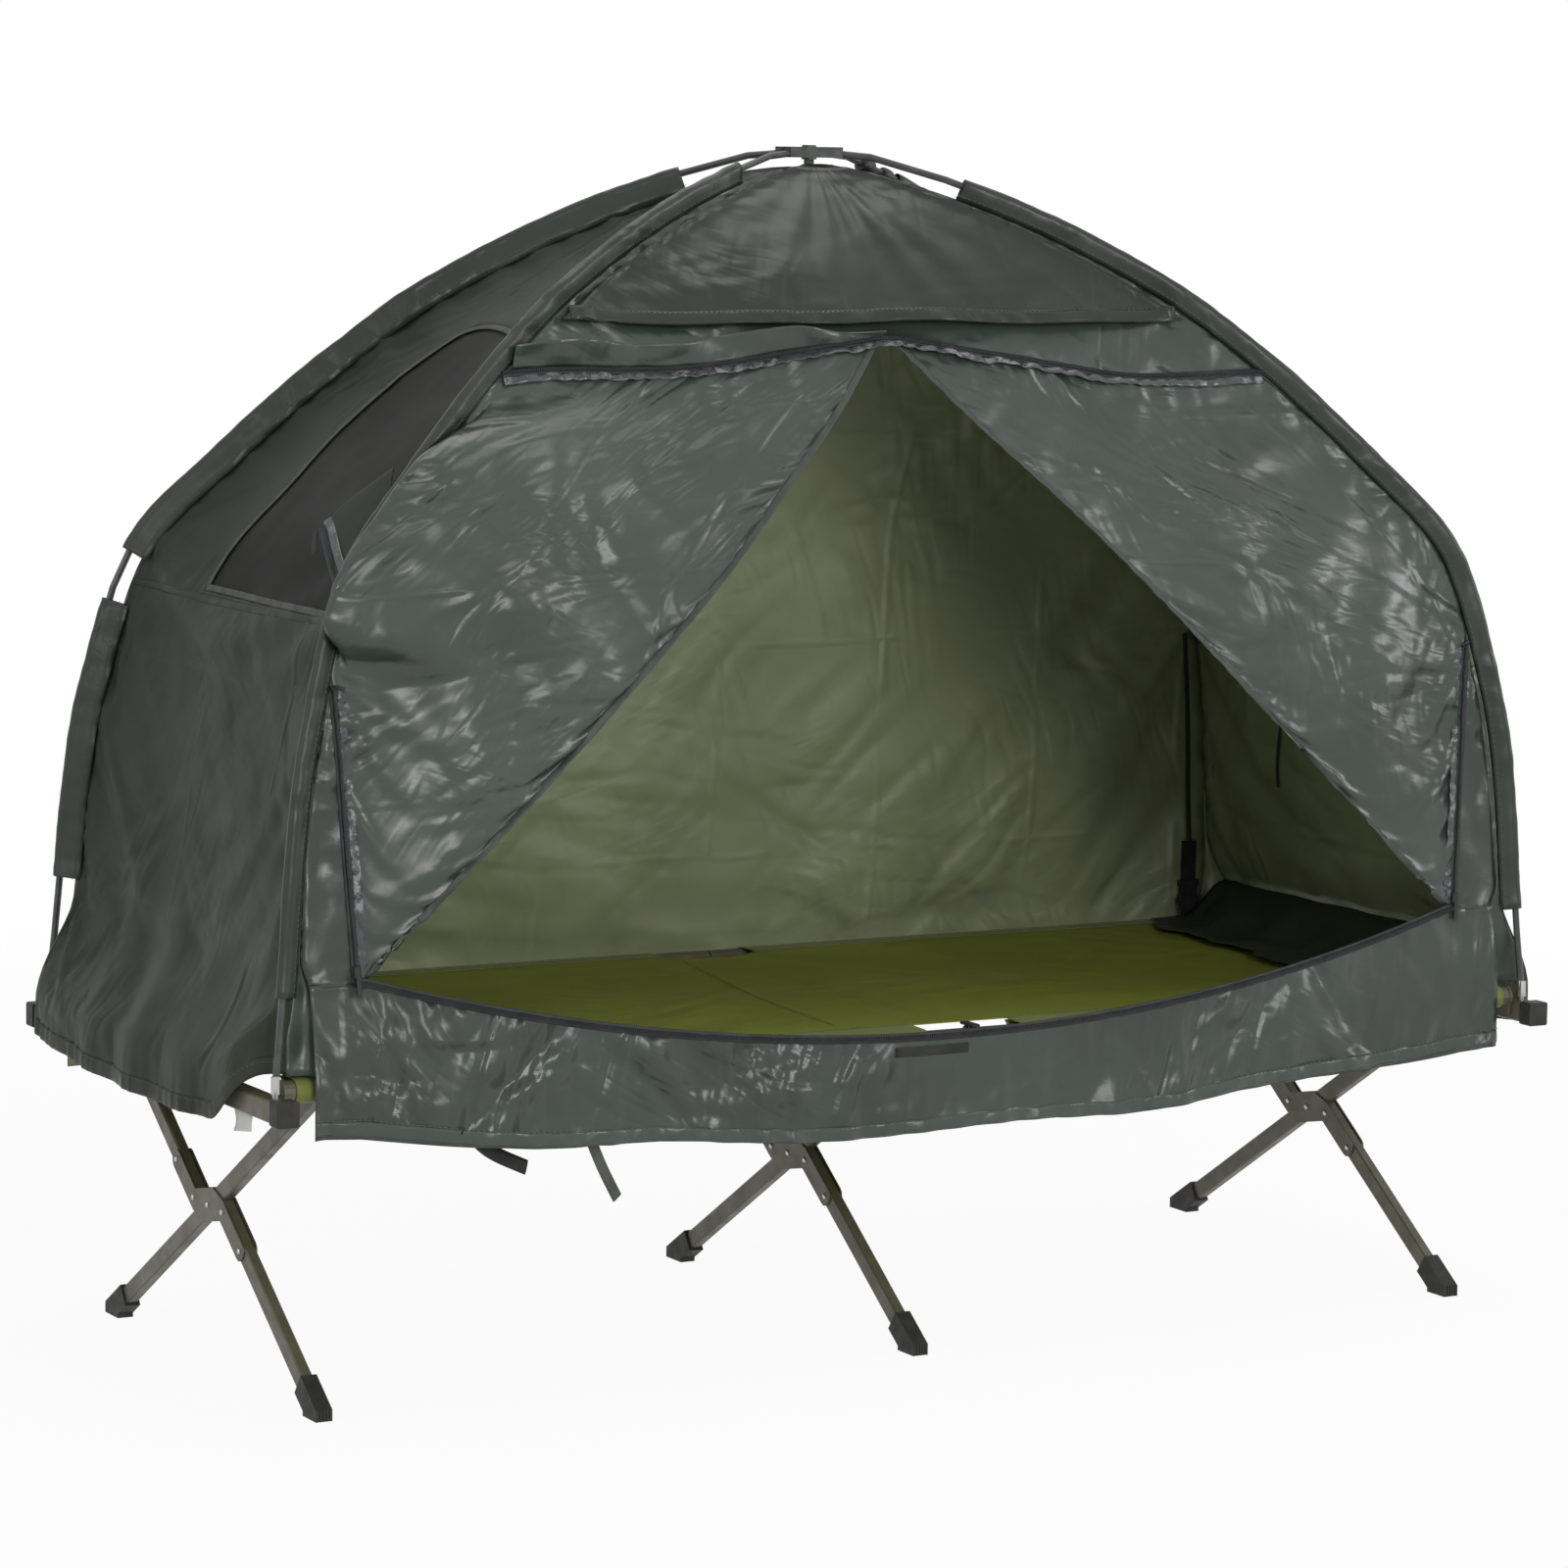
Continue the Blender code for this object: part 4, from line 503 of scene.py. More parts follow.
def cloth_object(name: str, surface: Surface, outer: str, inner: str = "coated_inside",
                 thickness: float = 0.0008, keep: np.ndarray | None = None) -> Item:
    """A panel of cloth with its own thickness.

    Args:
        name: the piece's name.
        surface: its outer side.
        outer: the finish outside.
        inner: the finish inside.
        thickness: how thick it is drawn.
        keep: which cells stay, if some are cut out.

    Returns:
        The panel as a closed mesh.
    """
    item = make_mesh(name, surface.points, grid_faces(surface.rows, surface.columns, keep), surface.flat)
    if keep is not None:
        drop_loose(item)
    for finish in (outer, inner):
        item.data.materials.append(PAINTS[finish])
    solid = item.modifiers.new("thickness", "SOLIDIFY")
    solid.thickness = thickness
    solid.offset = -1.0
    solid.material_offset = 1
    solid.use_even_offset = False
    return plain_mesh(item)


# How coated polyester resists pulling, pressing, shearing and the air, for its kilograms in a point.
HANG = {"quality": 5, "mass": 0.12, "tension_stiffness": 25.0, "compression_stiffness": 12.0,
        "shear_stiffness": 6.0, "air_damping": 4.0, "vertex_group_mass": "held"}
HANG_FRAMES = 22


def settled(name: str, surface: Surface, weights: np.ndarray, slack: float, stiff: float = 0.4,
            gravity: float = 0.35, cap: float = 0.016) -> Surface:
    """Let a panel hang and crumple as cloth, held where its weights say.

    Args:
        name: a name for the panel.
        surface: the panel before it hangs.
        weights: how firmly each point is held, from 0 to 1.
        slack: share by which the cloth is wider than the space that it fills.
        stiff: stiffness against bending.
        gravity: share of the pull of the earth.
        cap: the furthest that a point may move.
    """
    item = make_mesh(name + "_hanging", surface.points, grid_faces(surface.rows, surface.columns))
    group = item.vertex_groups.new(name="held")
    for weight in np.unique(np.round(weights, 3)):
        if weight > 0:
            chosen = np.flatnonzero(np.isclose(np.round(weights, 3).ravel(), weight))
            group.add([int(k) for k in chosen], float(weight), "REPLACE")
    sim = item.modifiers.new("hang", "CLOTH")
    for key, value in {**HANG, "bending_stiffness": stiff, "shrink_min": -slack}.items():
        setattr(sim.settings, key, value)
    sim.settings.effector_weights.gravity = gravity
    sim.collision_settings.use_collision = False
    sim.collision_settings.use_self_collision = False
    sim.point_cache.frame_start, sim.point_cache.frame_end = 1, HANG_FRAMES
    scene = bpy.context.scene
    for step in range(1, HANG_FRAMES + 1):
        scene.frame_set(step)
    mesh = item.evaluated_get(bpy.context.evaluated_depsgraph_get()).data
    found = np.zeros(len(mesh.vertices) * 3, np.float32)
    mesh.vertices.foreach_get("co", found)
    bpy.data.objects.remove(item)
    scene.frame_set(1)
    moved = found.reshape(surface.points.shape).astype(float) - surface.points
    far = np.maximum(np.linalg.norm(moved, axis=2, keepdims=True), 1e-9)
    return Surface(surface.points + moved / far * cap * np.tanh(far / cap), surface.flat)


def edge_weights(surface: Surface, left: float, right: float, top: float, bottom: float) -> np.ndarray:
    """How firmly each point is held when only a panel's four edges are sewn.

    Args:
        surface: the panel.
        left: how firmly its first column is held, from 0 to 1.
        right: how firmly its last column is held.
        top: how firmly its last row is held.
        bottom: how firmly its first row is held.

    Returns:
        A weight for each point.
    """
    weights = np.zeros((surface.rows, surface.columns))
    weights[0] = bottom
    weights[:, 0] = np.maximum(weights[:, 0], left)
    weights[:, -1] = np.maximum(weights[:, -1], right)
    weights[-1] = top
    return weights


def evened(ways: np.ndarray, reach: int) -> np.ndarray:
    """Even out the directions along a line.

    Args:
        ways: one direction for each point of the line.
        reach: how many neighbours on each side count.

    Returns:
        The mean directions, one long.
    """
    share = np.ones(2 * reach + 1) / (2 * reach + 1)
    padded = np.pad(ways, ((reach, reach), (0, 0)), mode="edge")
    return unit(np.stack([np.convolve(padded[:, k], share, "valid") for k in range(3)], axis=1))


def ribbon(name: str, run: Line, width: float, thickness: float, finish: str) -> Item:
    """A flat band with rounded edges that lies along a line.

    Args:
        name: the piece's name.
        run: the points that the band's underside follows, and which way it faces at each.
        width: the band's width.
        thickness: the band's thickness.
        finish: its finish.

    Returns:
        The band as a closed mesh with flat coordinates.
    """
    line, normals = run
    reach = max(2, len(line) // 50)
    way = evened(unit(np.gradient(line, axis=0)), reach // 2)
    side = unit(np.cross(evened(normals, reach), way))
    up = unit(np.cross(way, side))
    section = [(a * width / 2, thickness * (1 - 0.55 * a ** 4)) for a in np.linspace(-1, 1, 6)]
    across = np.array([*section, (width / 2, 0.0), (-width / 2, 0.0)])
    ring = line[:, None] + side[:, None] * across[None, :, :1] + up[:, None] * across[None, :, 1:]
    flat = np.stack(np.broadcast_arrays(across[None, :, 0], along(line)[:, None]), axis=-1)
    item = make_mesh(name, ring, tube_faces(*ring.shape[:2]), flat)
    item.data.materials.append(PAINTS[finish])
    return item


def joined(name: str, items: list) -> Item:
    """Make several pieces one.

    Args:
        name: the name of the whole.
        items: the pieces.

    Returns:
        The first piece, which now holds them all.
    """
    if len(items) > 1:
        with bpy.context.temp_override(active_object=items[0], selected_editable_objects=items,
                                       selected_objects=items):
            bpy.ops.object.join()
    items[0].name = items[0].data.name = name
    return items[0]


def sewn(item: Item, node: str | None = None, body: str = "tent") -> Item:
    """Set a piece on its body.

    Args:
        item: the piece.
        node: the CAD node that it stands for.
        body: the body that it rides on.

    Returns:
        The same piece.
    """
    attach(item, body)
    if node is not None:
        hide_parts(node)
    return item


# Rows of small parts, made by nodes

class Part(Enum):
    """What repeats along a line."""

    STITCHES = "stitches"
    TEETH = "teeth"


@dataclass(frozen=True)
class Row:
    """A row of stitches or zip teeth, with its sizes in metres."""

    part: Part
    finish: str
    pitch: float
    length: float
    width: float

    def tree(self) -> Tree:
        """Nodes that set the small part along every line of a mesh.

        Returns:
            A node group with inputs for the pitch, length and width of the parts.
        """
        tree = bpy.data.node_groups.new(f"rows_of_{self.part.value}", "GeometryNodeTree")
        face = tree.interface
        face.new_socket("Geometry", in_out="INPUT", socket_type="NodeSocketGeometry")
        for name in ("Pitch", "Length", "Width"):
            face.new_socket(name, in_out="INPUT", socket_type="NodeSocketFloat")
        face.new_socket("Geometry", in_out="OUTPUT", socket_type="NodeSocketGeometry")
        start = add(tree, "NodeGroupInput").outputs
        lines = add(tree, "GeometryNodeMeshToCurve", inputs={"Mesh": start["Geometry"]})
        steps = add(tree, "GeometryNodeResampleCurve", {"mode": "LENGTH"},
                    {"Curve": lines, "Length": start["Pitch"]})
        size = add(tree, "ShaderNodeCombineXYZ", inputs={
            "X": start["Width"], "Y": start["Width"], "Z": start["Length"]})
        if self.part is Part.STITCHES:
            part = add(tree, "GeometryNodeMeshUVSphere", inputs={"Segments": 6, "Rings": 4, "Radius": 0.5})
        else:
            part = add(tree, "GeometryNodeMeshCube", inputs={"Size": (1.0, 1.0, 1.0)})
        shaped = add(tree, "GeometryNodeTransform", inputs={"Geometry": part, "Scale": size})
        turn = add(tree, "FunctionNodeAlignRotationToVector", {"axis": "Z"},
                   {"Vector": add(tree, "GeometryNodeInputTangent")})
        placed = add(tree, "GeometryNodeInstanceOnPoints", inputs={
            "Points": steps, "Instance": shaped, "Rotation": turn})
        real = add(tree, "GeometryNodeRealizeInstances", inputs={"Geometry": placed})
        painted = add(tree, "GeometryNodeSetMaterial", inputs={
            "Geometry": real, "Material": PAINTS[self.finish]})
        add(tree, "NodeGroupOutput", inputs={"Geometry": painted})
        return tree

    def lay(self, name: str, lines: list) -> Item:
        """Set the parts along several lines.

        Args:
            name: the piece's name.
            lines: the points of each line.

        Returns:
            All the rows as one plain mesh.
        """
        edges, base = [], 0
        for line in lines:
            edges += [(base + k, base + k + 1) for k in range(len(line) - 1)]
            base += len(line)
        mesh = bpy.data.meshes.new(name)
        mesh.from_pydata(np.vstack(lines).tolist(), edges, [])
        item = bpy.data.objects.new(name, mesh)
        bpy.context.scene.collection.objects.link(item)
        tree = self.tree()
        rows = item.modifiers.new("rows", "NODES")
        rows.node_group = tree
        sockets = {s.name: s.identifier for s in tree.interface.items_tree if s.in_out == "INPUT"}
        for socket, value in (("Pitch", self.pitch), ("Length", self.length), ("Width", self.width)):
            rows[sockets[socket]] = value
        return plain_mesh(item)


# Stitches are drawn at about twice their real pitch, so that they show.
BED_STITCHES = Row(Part.STITCHES, "sewing_thread", 0.0065, 0.0048, 0.0009)
CANOPY_STITCHES = Row(Part.STITCHES, "sewing_thread", 0.0075, 0.0052, 0.0009)
ZIP_TEETH = Row(Part.TEETH, "zip_tape", 0.0026, 0.0015, 0.0042)


# Finishes

MATH, MIX, NOISE, RANGE = "ShaderNodeMath", "ShaderNodeMix", "ShaderNodeTexNoise", "ShaderNodeMapRange"
ABSOLUTE, MAXIMUM, TIMES = {"operation": "ABSOLUTE"}, {"operation": "MAXIMUM"}, {"operation": "MULTIPLY"}
MINUS, PLUS, PINGPONG = {"operation": "SUBTRACT"}, {"operation": "ADD"}, {"operation": "PINGPONG"}
EASED, RGBA = {"interpolation_type": "SMOOTHSTEP"}, {"data_type": "RGBA"}


@dataclass(frozen=True)
class Patches:
    """Soft uneven places: noise of so many waves to the metre, between two levels of it."""

    scale: float
    detail: float = 3.0
    low: float = 0.3
    high: float = 0.7
    rough: float = 0.55


class Weave(Enum):
    """What a layer of fine relief is, and for waves the way that their bands run."""

    GRAIN = ""
    RIBS = "Y"
    KNIT = "DIAGONAL"


@dataclass(frozen=True)
class Layer:
    """One layer of fine relief: its waves to the metre, its depth in metres and its strength."""

    scale: float
    depth: float
    strength: float
    detail: float = 2.0
    weave: Weave = Weave.GRAIN


class Shading:
    """A new material's nodes, round one shader whose even values are set on its own sockets."""

    def __init__(self, name: str, settings: dict) -> None:
        """Start the material.

        Args:
            name: the material's name.
            settings: the shader's even values by socket.
        """
        self.material = bpy.data.materials.new(name)
        self.material.use_nodes = True
        self.tree = self.material.node_tree
        self.tree.nodes.clear()
        shader = add(self.tree, "ShaderNodeBsdfPrincipled", inputs=settings)
        self.out = add(self.tree, "ShaderNodeOutputMaterial", inputs={"Surface": shader})
        self.inputs, self.shader = shader.inputs, shader
        self.body = add(self.tree, "ShaderNodeTexCoord").outputs["Object"]

    def use(self, socket: str, value: Source) -> None:
        """Link a node's first output, or one output, to a socket of the shader."""
        self.tree.links.new(value.outputs[0] if isinstance(value, Node) else value, self.inputs[socket])

    def flat(self) -> Node:
        """The cloth's flat coordinates in metres."""
        return add(self.tree, "ShaderNodeUVMap", {"uv_map": CLOTH_MAP})

    def wandering(self, flat: Node, scale: float, reach: float) -> Node:
        """Flat coordinates that wander, so that what follows them doesn't run dead straight.

        Args:
            flat: the flat coordinates.
            scale: waves to the metre.
            reach: how far they wander.

        Returns:
            The node with the new coordinates.
        """
        sway = add(self.tree, NOISE, inputs={"Vector": flat, "Scale": scale, "Detail": 1.0}).outputs["Color"]
        return add(self.tree, "ShaderNodeVectorMath", {"operation": "MULTIPLY_ADD"}, {
            0: sway, 1: (reach, reach, 0.0), 2: flat})

    def patchy(self, patches: Patches, place: Source, first: float = 0.0, last: float = 1.0) -> Node:
        """A value that changes softly over a surface.

        Args:
            patches: the size and the levels of the noise.
            place: the coordinates that it follows.
            first: the value at its lower level.
            last: the value at its upper level.

        Returns:
            The node with the value.
        """
        grain = add(self.tree, NOISE, inputs={
            "Vector": place, "Scale": patches.scale, "Detail": patches.detail, "Roughness": patches.rough})
        return add(self.tree, RANGE, EASED, {
            "Value": grain, "From Min": patches.low, "From Max": patches.high, "To Min": first, "To Max": last})

    def dye(self, share: Source, first: str | Source, second: str) -> Source:
        """Colour the surface with two colours.

        Args:
            share: how much of the second shows.
            first: a hex colour, or an output with a colour.
            second: a hex colour.

        Returns:
            The output with the colour.
        """
        first = linear(first) if isinstance(first, str) else first
        colour = add(self.tree, MIX, RGBA, {0: share, 6: first, 7: linear(second)}).outputs[2]
        self.use("Base Color", colour)
        return colour

    def wear(self, patches: Patches, roughness: float, less: float, more: float) -> None:
        """Rub some places smooth and leave others dull, round a middle roughness."""
        self.use("Roughness", self.patchy(patches, self.body, roughness - less, roughness + more))

    def relief(self, heights: list) -> None:
        """Stack bumps of real depths.

        Args:
            heights: for each, from the lowest up, its height, its depth in metres and its strength.
        """
        for height, depth, strength in heights:
            under = self.inputs["Normal"].links
            inputs = {"Height": height, "Distance": depth, "Strength": strength}
            if under:
                inputs["Normal"] = under[0].from_socket
            self.use("Normal", add(self.tree, "ShaderNodeBump", inputs=inputs))


# Each crease: the way it runs in degrees, its length, width and depth in metres.
CREASES = (
    (38, 0.42, 0.120, 0.0100), (-47, 0.34, 0.090, 0.0070), (8, 0.26, 0.060, 0.0042),
    (70, 0.17, 0.036, 0.0018), (-20, 0.10, 0.020, 0.0005),
)
FOLD_GAPS = (("X", 0.27), ("Y", 0.31))
FOLD_WIDTH = 0.010
# Threads lie 0.35 mm apart, too fine to show, so the weave is drawn at 1.6 mm. Bands lie 0.314 / scale apart.
THREADS = 195.0


@dataclass(frozen=True)
class Cloth:
    """Woven polyester with a coating, creased by its packing."""

    name: str
    colour: str
    shade: str
    # The lit colour is a painted highlight, laid along the pressed fold lines.
    lit: str
    roughness: float
    crease: float = 1.0
    pressed: float = 0.0010
    gloss: float = 0.35
    sheen: float = 0.0
    coat: float = 0.0
    weave_depth: float = 0.0001

    def creases(self, shading: Shading, flat: Node) -> list:
        """Sharp creases that run several ways, each long and narrow, over calm and crumpled places.

        Args:
            shading: the material.
            flat: the cloth's flat coordinates.

        Returns:
            The height, depth and strength of each.
        """
        tree, heights = shading.tree, []
        bent = shading.wandering(flat, 4.0, 0.07)
        for turn, long, wide, depth in CREASES:
            placed = add(tree, "ShaderNodeMapping", {"vector_type": "TEXTURE"}, {
                "Vector": bent, "Rotation": (0.0, 0.0, math.radians(turn)),
                "Location": (turn * 0.37, turn * 0.11, 0.0), "Scale": (long, wide, 1.0)})
            grain = add(tree, NOISE, inputs={"Vector": placed, "Scale": 1.0, "Detail": 1.0, "Roughness": 0.4})
            ridge = add(tree, MATH, ABSOLUTE, {0: add(tree, MATH, MINUS, {0: grain, 1: 0.5})})
            sharp = add(tree, RANGE, EASED, {"Value": ridge, "From Max": 0.20})
            calm = shading.patchy(Patches(3.0 + turn * 0.011, 1.0, 0.40, 0.62), flat, 0.12)
            heights.append((add(tree, MATH, TIMES, {0: sharp, 1: calm}), self.crease * depth, 1.0))
        return heights

    def folds(self, shading: Shading, flat: Node) -> Node:
        """Straight lines pressed in by the packing, 270 mm apart one way and 310 mm the other.

        Args:
            shading: the material.
            flat: the cloth's flat coordinates.

        Returns:
            The node with 1 on the lines and 0 beside them.
        """
        tree, lines = shading.tree, []
        split = add(tree, "ShaderNodeSeparateXYZ", inputs={0: shading.wandering(flat, 2.2, 0.030)})
        for way, gap in FOLD_GAPS:
            moved = add(tree, MATH, PLUS, {0: split.outputs[way], 1: 0.04})
            away = add(tree, MATH, PINGPONG, {0: moved, 1: gap / 2})
            lines.append(add(tree, RANGE, EASED, {
                "Value": away, "From Max": FOLD_WIDTH, "To Min": 1.0, "To Max": 0.0}))
        seen = shading.patchy(Patches(5.0, 2.0, 0.42, 0.60), flat)
        both = add(tree, MATH, MAXIMUM, {0: lines[0], 1: lines[1]})
        return add(tree, MATH, TIMES, {0: both, 1: seen})

    def material(self) -> Material:
        """Weave, pressed folds and crumples over an uneven dyed colour, with a painted highlight in the lit colour
        along the pressed folds.

        Returns:
            The material.
        """
        shading = Shading(self.name, {
            "Specular IOR Level": self.gloss, "IOR": 1.5, "Sheen Weight": self.sheen,
            "Sheen Roughness": 0.5, "Coat Weight": self.coat, "Coat Roughness": 0.30})
        tree, flat = shading.tree, shading.flat()
        waves = [add(tree, "ShaderNodeTexWave", {"bands_direction": way}, {
            "Vector": flat, "Scale": THREADS}).outputs["Fac"] for way in "XY"]
        weave = add(tree, MATH, TIMES, {0: waves[0], 1: waves[1]})
        pressed = self.folds(shading, flat)
        shading.relief([*self.creases(shading, flat), (pressed, self.pressed, 0.9),
                        (weave, self.weave_depth, 0.5)])
        dyed = shading.dye(shading.patchy(Patches(3.1, 4.0, 0.35, 0.68), shading.body), self.shade, self.colour)
        # Painted highlight: a tenth of the lit colour along the pressed fold lines.
        shading.dye(add(tree, MATH, TIMES, {0: pressed, 1: 0.10}), dyed, self.lit)
        shading.wear(Patches(9.0), self.roughness, 0.05, 0.07)
        return shading.material


@dataclass(frozen=True)
class Plain:
    """A finish with layers of fine relief, an uneven colour and uneven wear."""

    name: str
    colour: str
    shade: str
    roughness: float = 0.6

    gloss: ClassVar[float] = 0.4
    dust: ClassVar[Patches] = Patches(30.0, 3.0, 0.35, 0.65)
    worn: ClassVar[Patches] = Patches(45.0)
    spread: ClassVar[tuple] = (0.08, 0.08)

    def layers(self) -> tuple:
        """The fine relief, from the lowest layer up."""
        return ()

    def shading(self) -> Shading:
        """Build the material's nodes.

        Returns:
            The material with its nodes.
        """
        shading = Shading(self.name, {"IOR": 1.5, "Specular IOR Level": self.gloss})
        for layer in self.layers():
            if layer.weave is Weave.GRAIN:
                height = add(shading.tree, NOISE, inputs={
                    "Vector": shading.body, "Scale": layer.scale, "Detail": layer.detail, "Roughness": 0.55})
            else:
                height = add(shading.tree, "ShaderNodeTexWave", {"bands_direction": layer.weave.value}, {
                    "Vector": shading.flat(), "Scale": layer.scale}).outputs["Fac"]
            shading.relief([(height, layer.depth, layer.strength)])
        shading.dye(shading.patchy(self.dust, shading.body), self.shade, self.colour)
        shading.wear(self.worn, self.roughness, *self.spread)
        return shading

    def material(self) -> Material:
        """The finished material."""
        return self.shading().material


@dataclass(frozen=True)
class Net(Plain):
    """Knitted nylon fly net. Its 1 mm holes are too fine to show, so it is evenly see-through."""

    cover: float = 0.9
    gloss: ClassVar[float] = 0.25
    dust: ClassVar[Patches] = Patches(5.0)

    def layers(self) -> tuple:
        """Soft folds under a faint knit."""
        return Layer(7.0, 0.012, 0.6), Layer(160.0, 0.0002, 0.5, weave=Weave.KNIT)

    def material(self) -> Material:
        """Dark threads, evenly rough and see-through."""
        shading = self.shading()
        shading.tree.links.remove(shading.inputs["Roughness"].links[0])
        shading.inputs["Roughness"].default_value = self.roughness
        shading.inputs["Alpha"].default_value = self.cover
        return shading.material


@dataclass(frozen=True)
class Band(Plain):
    """Narrow woven tape, such as a hem binding, webbing or the cloth of a zip, with ribs across it."""

    rib: float = 0.0016
    rib_depth: float = 0.0002

    def layers(self) -> tuple:
        """Ribs at their real pitch over a slightly lumpy tape."""
        return (Layer(60.0, 0.0012, 0.6, 3.0),
                Layer(1 / self.rib / math.pi, self.rib_depth, 0.7, weave=Weave.RIBS))


@dataclass(frozen=True)
class Paint(Plain):
    """Powder-coated steel tube: satin, with fine orange peel and dusty, slightly rubbed places."""

    gloss: ClassVar[float] = 0.5
    dust: ClassVar[Patches] = Patches(14.0, 5.0, 0.38, 0.66, 0.65)
    worn: ClassVar[Patches] = Patches(32.0, 4.0)
    spread: ClassVar[tuple] = (0.07, 0.10)

    def layers(self) -> tuple:
        """Orange peel of 1.5 mm."""
        return (Layer(650.0, 0.00012, 0.5),)


@dataclass(frozen=True)
class Moulded(Plain):
    """Moulded nylon, rubber or glass fibre, with a fine spark-eroded grain and rubbed, paler patches."""

    grain: float = 900.0
    dust: ClassVar[Patches] = Patches(45.0, 4.0, 0.4, 0.75)
    worn: ClassVar[Patches] = Patches(60.0)
    spread: ClassVar[tuple] = (0.07, 0.08)

    def layers(self) -> tuple:
        """Grain of about 1 mm."""
        return (Layer(self.grain, 0.00015, 0.6),)


@dataclass(frozen=True)
class Film:
    """Shiny coated backing tape of the zips. It has puckered under the stitches, and its small glints are painted
    in a pale colour.
    """

    name: str
    colour: str
    shade: str

    def material(self) -> Material:
        """Gloss over sharp small puckers, with painted glints in the pale colour.

        Returns:
            The material.
        """
        shading = Shading(self.name, {"IOR": 1.5, "Roughness": 0.20})
        tree, body = shading.tree, shading.body
        puckered = shading.patchy(Patches(11.0, 1.0, 0.48, 0.62), body, 0.08)
        fine = add(tree, NOISE, inputs={
            "Vector": body, "Scale": 95.0, "Detail": 3.0, "Roughness": 0.6, "Distortion": 1.2})
        shading.relief([(add(tree, MATH, TIMES, {0: fine, 1: puckered}), 0.008, 0.9)])
        # Painted glints: the pale colour on sparse spots over the puckers.
        painted_glint = shading.patchy(Patches(80.0, 2.0, 0.42, 0.62), body)
        shading.dye(add(tree, MATH, TIMES, {0: painted_glint, 1: puckered}), self.shade, self.colour)
        return shading.material


@dataclass(frozen=True)
class Split:
    """Two finishes on one node, split by place, such as a tube and its plated rivets.

    The second shows within half a width of a middle along one axis, or beyond it.
    """

    base: Plain
    colour: str
    metallic: float
    roughness: float
    axis: str
    middle: float
    half: float
    beyond: bool = False

    def material(self) -> Material:
        """The base finish, with colour, metal and roughness changed where the second shows.

        Returns:
            The material.
        """
        shading = self.base.shading()
        tree = shading.tree
        split = add(tree, "ShaderNodeSeparateXYZ", inputs={0: shading.body})
        from_middle = add(tree, MATH, MINUS, {0: split.outputs[self.axis], 1: self.middle})
        share = add(tree, MATH, {"operation": "GREATER_THAN" if self.beyond else "LESS_THAN"}, {
            0: add(tree, MATH, ABSOLUTE, {0: from_middle}), 1: self.half})
        colour, worn = (shading.inputs[key].links[0].from_socket for key in ("Base Color", "Roughness"))
        shading.dye(share, colour, self.colour)
        shading.use("Roughness", add(tree, MIX, inputs={0: share, 2: worn, 3: self.roughness}))
        shading.use("Metallic", add(tree, MATH, TIMES, {0: share, 1: self.metallic}))
        return shading.material


FRAME_PAINT = Paint("frame_coating", "#5c5848", "#4f4c3d", 0.42)
RUBBER = Moulded("black_rubber_moulding", "#2c2c2a", "#1d1d1c", 0.62, 700.0)
NYLON = Moulded("black_nylon_moulding", "#29292a", "#1b1b1c", 0.42)
FIBRE = Moulded("grey_glass_fibre", "#4b4d4b", "#3b3d3c", 0.35, 500.0)
FINISHES = (
    # Polyurethane-coated polyester: dull outside walls, shiny door cloth, pale coated inside.
    Cloth("matt_canopy", "#3d4038", "#32352e", "#4e5145", 0.46, 0.60, 0.0018, 0.12),
    Cloth("glossy_door", "#3b453f", "#313a34", "#55615a", 0.28, 1.15, 0.0016, 0.45, coat=0.2),
    # A darker copy of the door cloth for the sill, corner strips and storm flap: painted shade of their crumples.
    Cloth("crumpled_shaded_door", "#363f37", "#2c342e", "#505b51", 0.27, 1.7, 0.0016, 0.42, coat=0.2),
    Cloth("satin_sleeve", "#313831", "#292f29", "#474f48", 0.36, 0.7, 0.0010, 0.3, coat=0.1),
    Cloth("satin_brow", "#2c3029", "#252923", "#3e433a", 0.31, 0.8, 0.0008, 0.28, coat=0.1),
    Cloth("coated_inside", "#878d6e", "#787e60", "#9ba182", 0.40, 0.7, 0.0018, 0.5, coat=0.1),
    # Heavy woven canvas of the bed, stretched nearly smooth, with a plain dull weave.
    Cloth("bed_canvas", "#7f8831", "#737b29", "#8d963d", 0.62, 0.22, 0.0004, weave_depth=0.0002),
    # A darker, greyer copy of the bed canvas for the rail sleeves, which are the same sheet: painted shade and
    # painted sheen.
    Cloth("rail_canvas_shade_and_sheen", "#747b3d", "#686f35", "#838a4c", 0.60, 0.22, 0.0004, sheen=0.05, weave_depth=0.0002),
    Net("fly_net", "#3a3a39", "#232322", 0.8),
    # Woven tapes, webbing and thread: ribs that catch the light across their length.
    Band("hem_tape", "#3d443f", "#343a36", 0.55),
    Band("zip_tape", "#26272a", "#1c1d1f", 0.6),
    Band("black_webbing", "#232422", "#191a19", 0.7, 0.002, 0.0003),
    Band("tie_strap", "#4c5148", "#3e433b", 0.65, 0.002, 0.0003),
    Band("sewing_thread", "#5d6560", "#4c534e", 0.6, 0.0008),
    Band("blank_label", "#f0f0ea", "#e4e4dc", 0.7),
    # Its first colour is the painted glint, the second the tape's own.
    Film("coated_tape", "#8a8b8e", "#3f4043"),
    FRAME_PAINT, RUBBER, NYLON,
)
PAINTS: dict[str, Material] = {f.name: f.material() for f in FINISHES}


# The canopy

class Side(Enum):
    """The three plain walls."""

    LEFT = "left"
    RIGHT = "right"
    BACK = "back"


# The top zip, which sags between its sewn-down places, as (x, z).
ZIP_LINE = (
    (-0.66, 1.3075), (-0.51, 1.3160), (-0.39, 1.3150), (-0.28, 1.3190), (-0.09, 1.3420), (0.0, 1.3520),
    (0.08, 1.3430), (0.25, 1.3180), (0.36, 1.3020), (0.46, 1.3010), (0.66, 1.3075),
)
ZIP_CURVE = curve_through(list(ZIP_LINE), 8)
